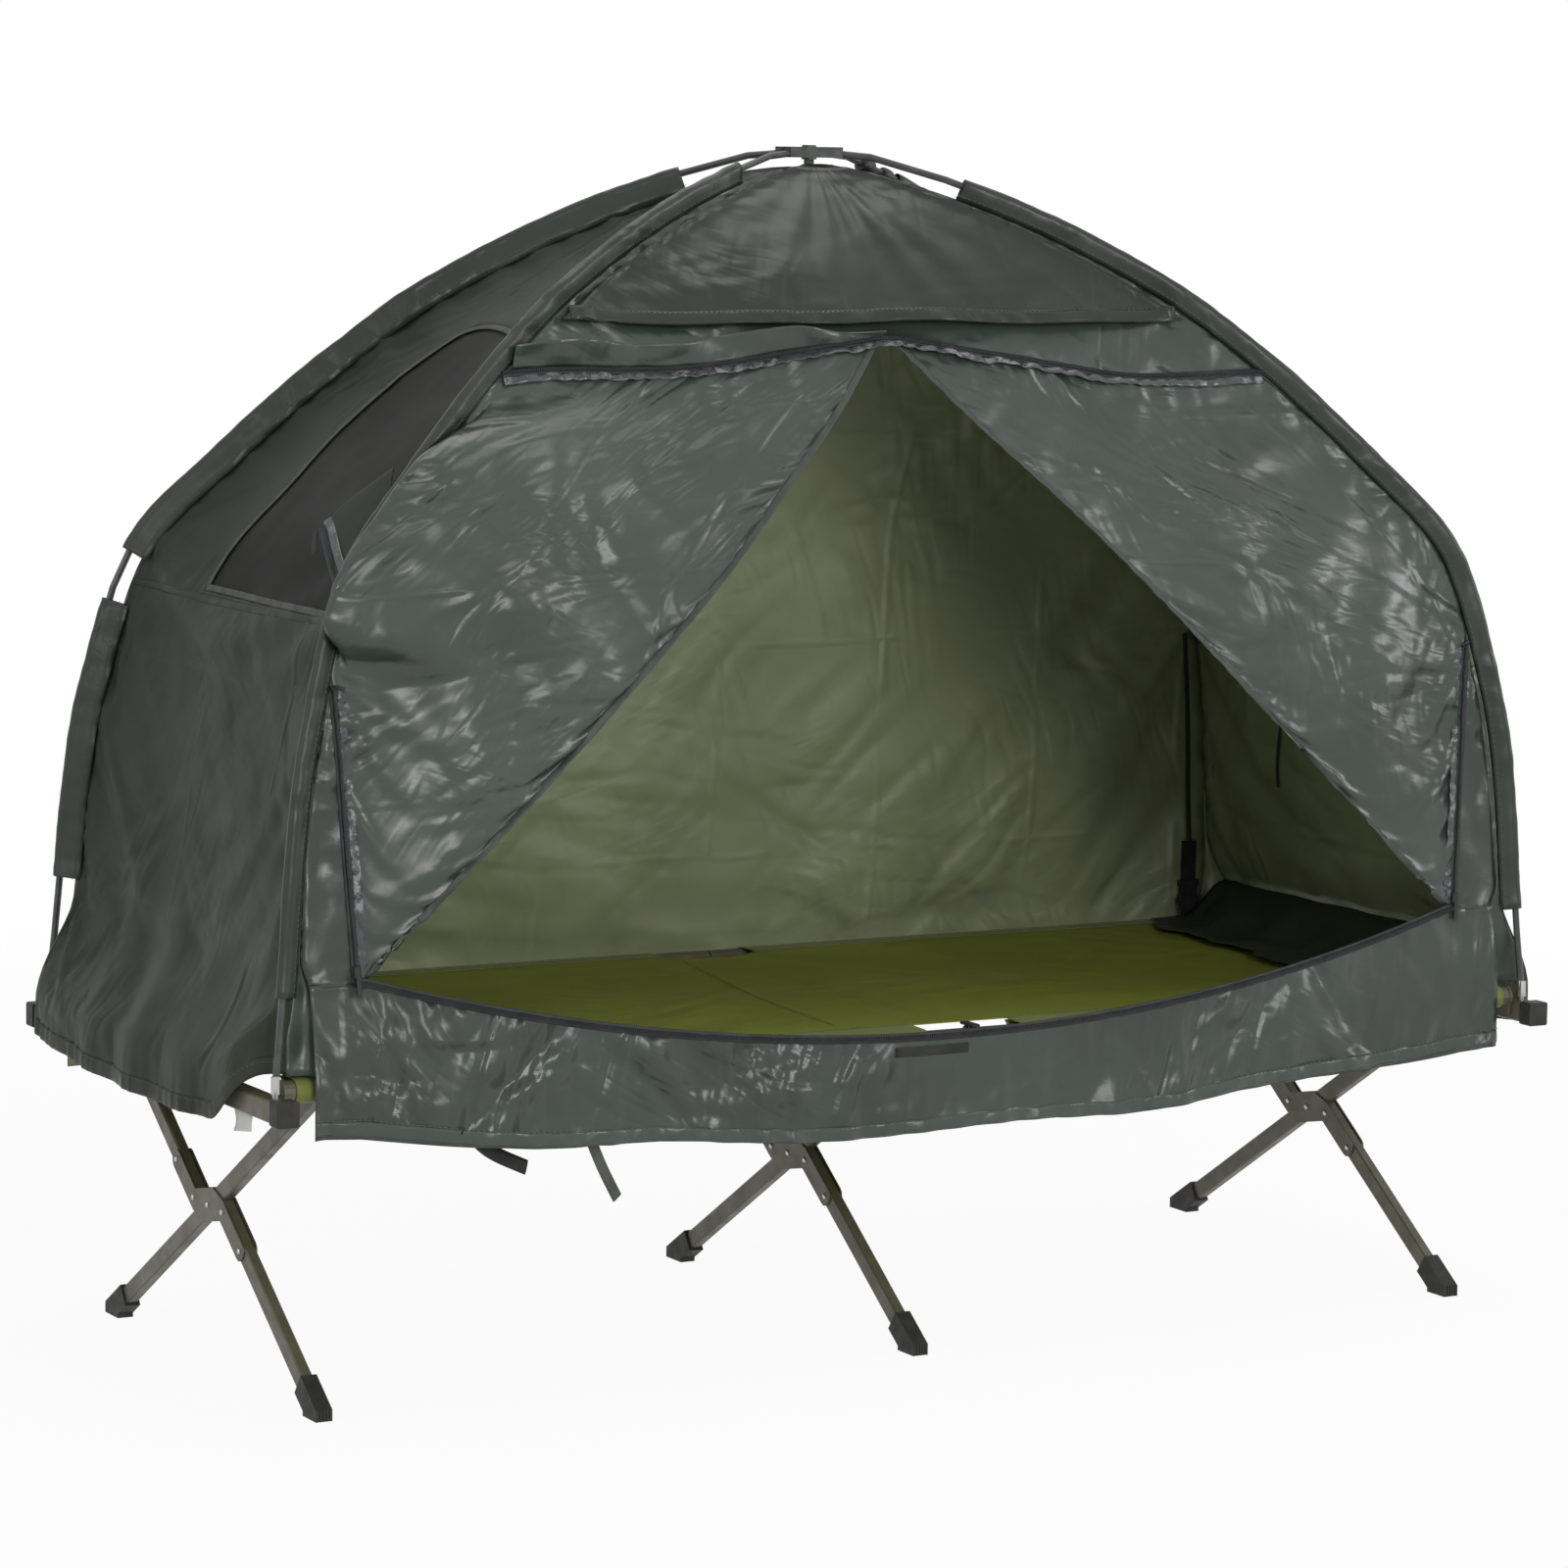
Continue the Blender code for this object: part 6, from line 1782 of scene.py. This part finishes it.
    def flatten(self, item: Item) -> None:
        """Give a piece its own copy of its mesh."""
        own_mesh(item)

    def build(self) -> None:
        """Make the sheet with its notch, its sleeves, hems and stitches."""
        rest = self.sheet()
        low, high = self.notch_back
        turn = np.linspace(0, math.pi, 40)
        notch = self.spots(rest, (low + high) / 2 + (high - low) / 2 * np.cos(turn),
                           self.stitch - self.notch_depth * np.sin(turn) ** 0.8)
        lid = [(notch[-1, 0], rest.rows + 2.0), (notch[0, 0], rest.rows + 2.0)]
        sheet, keep = cut(rest, np.vstack([notch, lid]), False)
        bed = cloth_object("bed_sheet", sheet, "bed_canvas", "bed_canvas", self.thickness, keep)
        hems, threads = self.hems(rest)
        bed = sewn(joined("bed_sheet", [bed, *hems]), "bed_fabric", "bed_frame")
        self.flatten(bed)
        self.flatten(sewn(BED_STITCHES.lay("bed_hem_stitches", threads), body="bed_frame"))
        self.rail_sleeves()
        LOG.info("bed made")

    def hems(self, rest: Surface) -> tuple[list, list]:
        """Make the folded hems at the sheet's two ends.

        Args:
            rest: the sheet that they are sewn to.

        Returns:
            The hems, and the stitch lines of the hems and of the middle seam.
        """
        hems, threads = [], []
        for side, sign in SIDES.items():
            column = (rest.columns - 1) * (0.5 + sign * 0.5 * (1 - (self.band / 2 + 0.0005) / self.half))
            line, normal = rest.line(spots_between((column, column), (0, rest.rows - 1), 160))
            hems.append(ribbon(f"bed_hem_{side}", (line, normal), self.band, 0.0012, "bed_canvas"))
            thread = line + normal * 0.0014 - (sign * self.band * 0.4, 0.0, 0.0)
            threads.append(thread[np.abs(line[:, 1]) < self.stitch_end])
        y = np.linspace(-self.stitch_end, self.stitch_end, 160)
        threads.append(rest.line(self.spots(rest, -0.057 + (y - 0.015) * 0.136 - 0.006, y), 0.0006)[0])
        return hems, threads

    def rail_sleeves(self) -> None:
        """Make the sleeves along both rails with their stitches."""
        for sign, side, body, notch, node in (
                (-1, "front", "bed_frame", self.notch_front, None),
                (1, "back", "back_rail", self.notch_back, "bed_sleeve_back")):
            spans = ((-self.half, notch[0]), (notch[1], self.half))
            parts = [self.rail_sleeve(f"sleeve_{k}", sign, *span) for k, span in enumerate(spans)]
            item = sewn(joined(f"bed_sleeve_{side}_cloth", parts), node, body)
            lines = [Surface.of(np.linspace(a + 0.004, b - 0.004, 80)[None, :], sign * (self.stitch + 0.002),
                                self.top + 0.0016).points[0] for a, b in spans]
            sewn(BED_STITCHES.lay(f"bed_stitches_{side}", lines), body=body)


# Loose trim on the tent

@dataclass(frozen=True)
class Strap:
    """A webbing strap along a few places."""

    name: str
    places: tuple
    facing: tuple
    width: float
    finish: str = "black_webbing"

    def build(self) -> None:
        """Make the strap and set it on the tent."""
        line = curve_through(list(self.places), 12)
        normals = np.repeat(unit(np.array([self.facing])), len(line), axis=0)
        sewn(ribbon(self.name, (line, normals), self.width, 0.0014, self.finish))


STRAPS = (
    Strap("window_fastener", ((-0.812, -0.186, 1.112), (-0.816, -0.190, 1.100), (-0.819, -0.196, 1.086)),
          (-1.0, 0.0, 0.3), 0.014),
    Strap("skirt_strap_left", ((-0.700, -0.398, 0.372), (-0.655, -0.378, 0.335), (-0.596, -0.366, 0.306)),
          (0.0, -1.0, 0.35), 0.020),
    Strap("skirt_strap_right", ((-0.525, -0.398, 0.352), (-0.495, -0.382, 0.300), (-0.466, -0.368, 0.256)),
          (0.0, -1.0, 0.30), 0.016, "tie_strap"),
    Strap("corner_strap", ((0.889, 0.3705, 0.560), (0.884, 0.3700, 0.640), (0.876, 0.3640, 0.760),
                           (0.860, 0.3550, 0.905)), (0.0, -1.0, 0.0), 0.008),
)


@dataclass
class Trim:
    """Straps, patches, a blank label, a window's rolled cover and other small sewn parts."""

    walls: Walls
    front: Front
    sleeves: Sleeves
    cover_foot: tuple = ((-0.838, -0.338, 1.029), (-0.778, -0.316, 1.115))
    cover_top: tuple = ((-0.812, -0.194, 1.117), (-0.718, -0.214, 1.195))
    fastener_x: tuple = (-0.081, 0.028)
    tie: tuple = ((0.118, 0.775), (0.126, 0.745), (0.140, 0.70), (0.146, 0.672))
    toggle_ways: tuple = ((-1.0, 0.70), (-0.8, 0.96), (0.0, 1.0), (0.8, 0.96), (1.0, 0.70))

    def build(self) -> None:
        """Make every small sewn part and the stitches of the canopy."""
        self.window_cover()
        for strap in STRAPS:
            strap.build()
        self.sill_fastener()
        right = self.walls.made[Side.RIGHT]
        line, normal = right.line(self.walls.spots(right, self.tie), -0.0035)
        line = curve_through([*line], 8)
        sewn(ribbon("window_tie_right", (line, np.repeat(-normal[:1], len(line), axis=0)), 0.006, 0.0014,
                    "black_webbing"))
        sewn(CANOPY_STITCHES.lay("canopy_stitches", self.walls.lines + self.front.lines + self.sleeves.lines))
        sewn(ZIP_TEETH.lay("zip_teeth", self.front.zips))
        self.gussets()
        self.tucked_skirt()
        self.label()
        self.toggle("toggle", 0.125, 0.0125)
        self.toggle("clip", 0.170, 0.0105)
        LOG.info("trim made")

    def sill_fastener(self) -> None:
        """Make the dark fastener sewn on the sill under its zip."""
        sill = self.front.sill_made
        first, last = np.searchsorted(sill.points[-1, :, 0], self.fastener_x)
        top = sill.rows - 1
        spots = np.stack(np.meshgrid(np.linspace(first, last, 14), np.linspace(top - 5.2, top - 2.6, 10)), axis=-1)
        patch = Surface(sill.line(spots, 0.0012)[0])
        sewn(cloth_object("sill_fastener", patch, "black_webbing", "black_webbing", 0.0013))

    def window_cover(self, rows: int = 26, columns: int = 22) -> None:
        """Make the left window's loose cover: a flap by the front pole, with its taped edge hanging out.

        Args:
            rows: rows of points upwards.
            columns: columns of points away from the taped edge.
        """
        v, u = shares(rows, columns)
        near, far = (mix(np.array(foot), np.array(top), v[..., None])
                     for foot, top in zip(self.cover_foot, self.cover_top))
        points = mix(near, far, u[..., None])
        lift = np.sin(math.pi * u) * (0.4 + 0.6 * v)
        points[..., 0] -= 0.008 * lift + 0.003 * np.sin(9 * u + 4 * v) * (1 - u)
        rest = Surface(points)
        cover = rest.facing(0, -1)
        column = 0.6 if cover is rest else columns - 1.6
        item = sewn(cloth_object("window_cover_left", cover, "matt_canopy", "matt_canopy", 0.0016))
        line, normal = cover.line(spots_between((column, column), (0, rows - 1), 60))
        sewn(ribbon("window_cover_zip", (line, normal), 0.012, 0.0016, "zip_tape"))
        self.front.zips.append(line + normal * 0.0022)
        inward = unit(cover.points[:, cover.middle].mean(axis=0) - line.mean(axis=0))
        sewn(ribbon("window_cover_backing", (line + inward * 0.012, normal), 0.013, 0.0014, "coated_tape"))

    def gussets(self) -> None:
        """Close each corner inside its pole with cloth, from the end wall's edge to its neighbour's."""
        back, sill = self.walls.made[Side.BACK].points, self.front.sill_made.points
        u = np.linspace(0, 1, 12)[None, :, None]
        for corner, (sx, sy) in CORNERS.items():
            side = Side.RIGHT if sx > 0 else Side.LEFT
            end = self.walls.made[side].points[:, -1 if sx * sy > 0 else 0]
            if sy > 0:
                near, heights = back[:, 0 if sx > 0 else -1], np.linspace(0.452, 0.640, 40)
            else:
                edge, heights = 0 if sx < 0 else -1, np.linspace(0.450, 0.900, 40)
                near = np.vstack([sill[:-1, edge] + (-sx * 0.003, 0.004, 0.0),
                                  self.front.strips[sx].points[3:, edge]])
            a, b = (np.stack([*(np.interp(heights, line[:, 2], line[:, k]) for k in (0, 1)), heights], axis=1)
                    for line in (end, near))
            gap = np.linalg.norm(b - a, axis=1)[:, None, None]
            ripple = 1 + 0.25 * np.sin(heights * 70.0 + sx)[:, None, None]
            inward = np.array([-sx, -sy, 0.0]) * 0.707
            points = mix(a[:, None], b[:, None], u)
            points = points + inward * (0.0015 + 0.30 * gap * ripple) * np.sin(math.pi * u)
            cloth = Surface(points[:, ::-1] if sx * sy < 0 else points)
            outer = "matt_canopy" if sy > 0 else "glossy_door"
            item = sewn(cloth_object(f"gusset_{corner}", cloth, outer))

    def tucked_skirt(self, rows: int = 16, columns: int = 70) -> None:
        """Make the inner skirt of the right wall, which lies on the bed's end and closes the corner.

        Args:
            rows: rows of points from the wall inwards.
            columns: columns of points from the back to the front.
        """
        v, y = shares(rows, 1)[0], np.linspace(0.352, -0.310, columns)[None, :]
        wall = self.walls.made[Side.RIGHT]
        row = wall.points[int(np.argmin(np.abs(wall.points[:, wall.middle, 2] - 0.505)))]
        order = np.argsort(row[:, 1])
        foot = np.interp(y, row[order, 1], row[order, 0]) - 0.004
        edge = 0.772 - 0.055 * smooth((0.10 - y) / 0.35) + 0.030 * smooth((y - 0.26) / 0.08)
        edge = edge + 0.006 * np.sin(y * 41.0) + 0.003 * np.sin(y * 97.0)
        ripple = 0.0016 * np.sin(y * 53.0 + 4 * v) * np.sin(math.pi * v)
        z = 0.4505 + 0.052 * (1 - smooth(v / 0.55)) + ripple + 0.0010
        skirt = Surface.of(mix(foot, edge, v), y, z).facing(2, 1)
        item = sewn(cloth_object("skirt_inside_right", skirt, "matt_canopy"))

    def label(self) -> None:
        """Make a small blank care label that hangs under the left end bar near its front."""
        v, u = shares(10, 8)
        y = mix(-0.262, -0.318, u) - 0.010 * (1 - v)
        z = mix(0.366, 0.399, v) + 0.008 * u
        x = -PLAN.bar_x - 0.006 * (1 - v) ** 2 + 0.0015 * np.sin(5 * v + 3 * u)
        sewn(cloth_object("blank_care_label", Surface.of(x, y, z), "blank_label", "blank_label", 0.0006),
             body="bed_frame")

    def toggle(self, name: str, reach: float, size: float) -> None:
        """Make a small cord toggle or clip on the back right pole near the hub.

        Args:
            name: the piece's name.
            reach: its distance from the hub.
            size: half its length.
        """
        turn = np.linspace(0, 2 * math.pi, 20, endpoint=False)
        points = np.array([[(a, s * math.cos(t), s * math.sin(t)) for t in turn] for a, s in self.toggle_ways])
        faces = [face[::-1] for face in tube_faces(*points.shape[:2])]
        item = make_mesh(name, points * size, faces, points[..., :2] * size)
        item.data.materials.append(PAINTS[NYLON.name])
        near = ARC.pole[np.abs(ARC.pole[:, 0] - reach) < 0.03]
        slope = math.atan2(near[-1, 1] - near[0, 1], near[-1, 0] - near[0, 0])
        height = float(np.interp(reach, ARC.pole[::-1, 0], ARC.pole[::-1, 1]))
        place = Matrix.Translation((reach * PLAN.cos, reach * PLAN.sin, height - 0.002))
        turned = Matrix.Rotation(math.atan2(PLAN.sin, PLAN.cos), 4, "Z") @ Matrix.Rotation(-slope, 4, "Y")
        item.data.transform(place @ turned)
        bevel = item.modifiers.new("round", "BEVEL")
        bevel.width = size * 0.12
        bevel.segments = 2
        sewn(plain_mesh(item))


# The rigid frame

@dataclass
class RigidParts:
    """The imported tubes, feet, caps, poles and buckles, which keep their shape and get their finish."""

    head_face: float = 0.0112
    plated: tuple = ("#b4b5b3", 1.0, 0.30)
    strap: tuple = ("#4c5148", 0.0, 0.7)
    webbing: tuple = ("#222321", 0.0, 0.75)
    made: dict = field(default_factory=dict)

    def split(self, name: str) -> Split | None:
        """Choose a node's two finishes.

        Args:
            name: the node's name.

        Returns:
            The finishes, or None where it has one only.
        """
        stations = {"left": -PLAN.leg_x, "middle": 0.0, "right": PLAN.leg_x}
        side = name.rpartition("_")[2]
        if name.startswith("pole_"):
            foot = PLAN.base + 0.0005
            return Split(replace(FIBRE, name="pole_with_ferrule"), *self.plated, "Z", foot - 1.0, 1.0)
        if name.startswith("pivot_plates_"):
            base = replace(FRAME_PAINT, name=f"plate_with_rivets_{side}")
            return Split(base, *self.plated, "X", stations[side], self.head_face, True)
        if name.startswith("leg_bracket_"):
            base = replace(FRAME_PAINT, name=f"bracket_with_pin_{side}")
            return Split(base, *self.plated, "X", stations[side], self.head_face, True)
        if name == "hub":
            return Split(replace(NYLON, name="hub_with_tie"), *self.strap, "X", 0.0, 0.0101)
        if name == "rail_link_front":
            base = replace(FRAME_PAINT, name="link_with_cord")
            return Split(base, *self.webbing, "X", PLAN.joint_x, 0.0062)
        return None

    def finish(self, name: str) -> Material:
        """Find the finish of one node, and make a split one the first time that it is asked for.

        Args:
            name: the node's name.

        Returns:
            Its material.
        """
        split = self.split(name)
        if split is not None:
            if split.base.name not in self.made:
                self.made[split.base.name] = split.material()
            return self.made[split.base.name]
        if name.startswith(("foot_", "bar_cap_")):
            return PAINTS[RUBBER.name]
        if name.startswith(("zip_slider_", "corner_buckle")):
            return PAINTS[NYLON.name]
        return PAINTS[FRAME_PAINT.name]

    def build(self) -> None:
        """Finish every node that still shows."""
        for name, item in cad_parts.items():
            if item.hide_render:
                continue
            material = self.finish(name)
            if not item.material_slots:
                item.data.materials.append(material)
            for slot in item.material_slots:
                slot.material = material
            LOG.info("%s finished", name)


# Floor, lamps and camera

@dataclass(frozen=True)
class Lamp:
    """A square soft lamp that faces the cot."""

    name: str
    place: tuple
    size: float
    power: float

    def build(self) -> None:
        """Set the lamp up."""
        lamp = bpy.data.lights.new(self.name, "AREA")
        lamp.size, lamp.energy = self.size, self.power
        item = bpy.data.objects.new(self.name, lamp)
        bpy.context.scene.collection.objects.link(item)
        way = Vector((0.0, 0.0, 0.7)) - Vector(self.place)
        item.matrix_world = Matrix.Translation(self.place) @ way.to_track_quat("-Z", "Y").to_matrix().to_4x4()


@dataclass
class Studio:
    """A plain white floor, soft lamps and the photograph's camera."""

    floor: float = 60.0
    lamps: tuple = (
        Lamp("key", (-0.8, -6.2, 2.6), 2.2, 165.0), Lamp("fill", (-5.2, -1.6, 2.6), 2.2, 34.0),
        Lamp("side", (5.0, -2.6, 2.4), 1.6, 60.0), Lamp("top", (0.8, 0.6, 4.8), 2.6, 40.0))
    place: tuple = (-3.5706, -6.4037, 1.6079)
    yaw: float = 0.5057
    pitch: float = -0.1189
    roll: float = 0.0145
    focal_pixels: float = 5449.03
    frame_pixels: float = 1600.0
    sensor: float = 36.0

    def build(self) -> None:
        """Make the stage."""
        self.ground()
        self.world()
        for lamp in self.lamps:
            lamp.build()
        self.camera()
        bpy.context.scene.view_settings.view_transform = "Standard"

    def seen(self, tree: Tree) -> Node:
        """Tell the rays that see the background from those that light the object.

        Args:
            tree: the floor's or the world's nodes.

        Returns:
            The node with 1 for the camera's, a gloss's and a glass's rays.
        """
        path = add(tree, "ShaderNodeLightPath").outputs
        shiny = add(tree, MATH, MAXIMUM, {0: path["Is Glossy Ray"], 1: path["Is Transmission Ray"]})
        return add(tree, MATH, MAXIMUM, {0: path["Is Camera Ray"], 1: shiny})

    def ground(self) -> None:
        """Lay a floor that the camera sees as white paper with a soft shadow."""
        corners = np.array([(x, y, 0.0) for x, y in ((-1, -1), (1, -1), (1, 1), (-1, 1))]) * self.floor
        item = make_mesh("floor", corners, [(0, 1, 2, 3)])
        shading = Shading("pale_floor", {"Roughness": 0.9})
        tree = shading.tree
        grain = add(tree, NOISE, inputs={"Vector": shading.body, "Scale": 3.0, "Detail": 3.0, "Roughness": 0.55})
        shading.dye(grain, "#e6e6e4", "#ececea")
        white = add(tree, "ShaderNodeEmission", inputs={"Color": linear("#ffffff"), "Strength": 1.0})
        away = add(tree, "ShaderNodeVectorMath", {"operation": "LENGTH"}, {0: shading.body}).outputs["Value"]
        share = add(tree, RANGE, EASED, {
            "Value": away, "From Min": 1.5, "From Max": 4.5, "To Min": 0.93, "To Max": 1.0})
        seen = add(tree, MATH, TIMES, {0: self.seen(tree), 1: share})
        shown = add(tree, "ShaderNodeMixShader", inputs={0: seen, 1: shading.shader, 2: white})
        tree.links.new(shown.outputs[0], shading.out.inputs["Surface"])
        item.data.materials.append(shading.material)

    def world(self) -> None:
        """Set white all round for the camera, and soft grey light for the object."""
        world = bpy.data.worlds.new("studio")
        world.use_nodes = True
        tree = world.node_tree
        tree.nodes.clear()
        back = add(tree, "ShaderNodeBackground", inputs={"Color": linear("#ffffff"), "Strength": 1.0})
        soft = add(tree, "ShaderNodeBackground", inputs={"Color": linear("#f6f8f8"), "Strength": 0.42})
        both = add(tree, "ShaderNodeMixShader", inputs={0: self.seen(tree), 1: soft, 2: back})
        add(tree, "ShaderNodeOutputWorld", inputs={"Surface": both})
        bpy.context.scene.world = world

    def camera(self) -> None:
        """Set the photograph's viewpoint and framing."""
        lens = bpy.data.cameras.new("camera")
        lens.sensor_width = self.sensor
        lens.sensor_fit = "HORIZONTAL"
        lens.lens = self.focal_pixels / self.frame_pixels * self.sensor
        lens.clip_end = 200.0
        flat = math.cos(self.pitch)
        ahead = Vector((math.sin(self.yaw) * flat, math.cos(self.yaw) * flat, math.sin(self.pitch)))
        right = Vector((math.cos(self.yaw), -math.sin(self.yaw), 0.0))
        up = right.cross(ahead)
        across = right * math.cos(self.roll) + up * math.sin(self.roll)
        above = up * math.cos(self.roll) - right * math.sin(self.roll)
        item = bpy.data.objects.new("camera", lens)
        item.matrix_world = (Matrix.Translation(self.place)
                             @ Matrix((across, above, -ahead)).transposed().to_4x4())
        bpy.context.scene.collection.objects.link(item)
        bpy.context.scene.camera = item


def main() -> None:
    """Build every piece in order."""
    logging.basicConfig(level=logging.INFO)
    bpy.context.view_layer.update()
    Studio().build()
    walls, front, sleeves = Walls(), Front(), Sleeves()
    for part in (walls, front, sleeves, Trim(walls, front, sleeves), Bed(), RigidParts()):
        part.build()
        LOG.info("%s built", type(part).__name__)


if __name__ == "__main__":
    main()
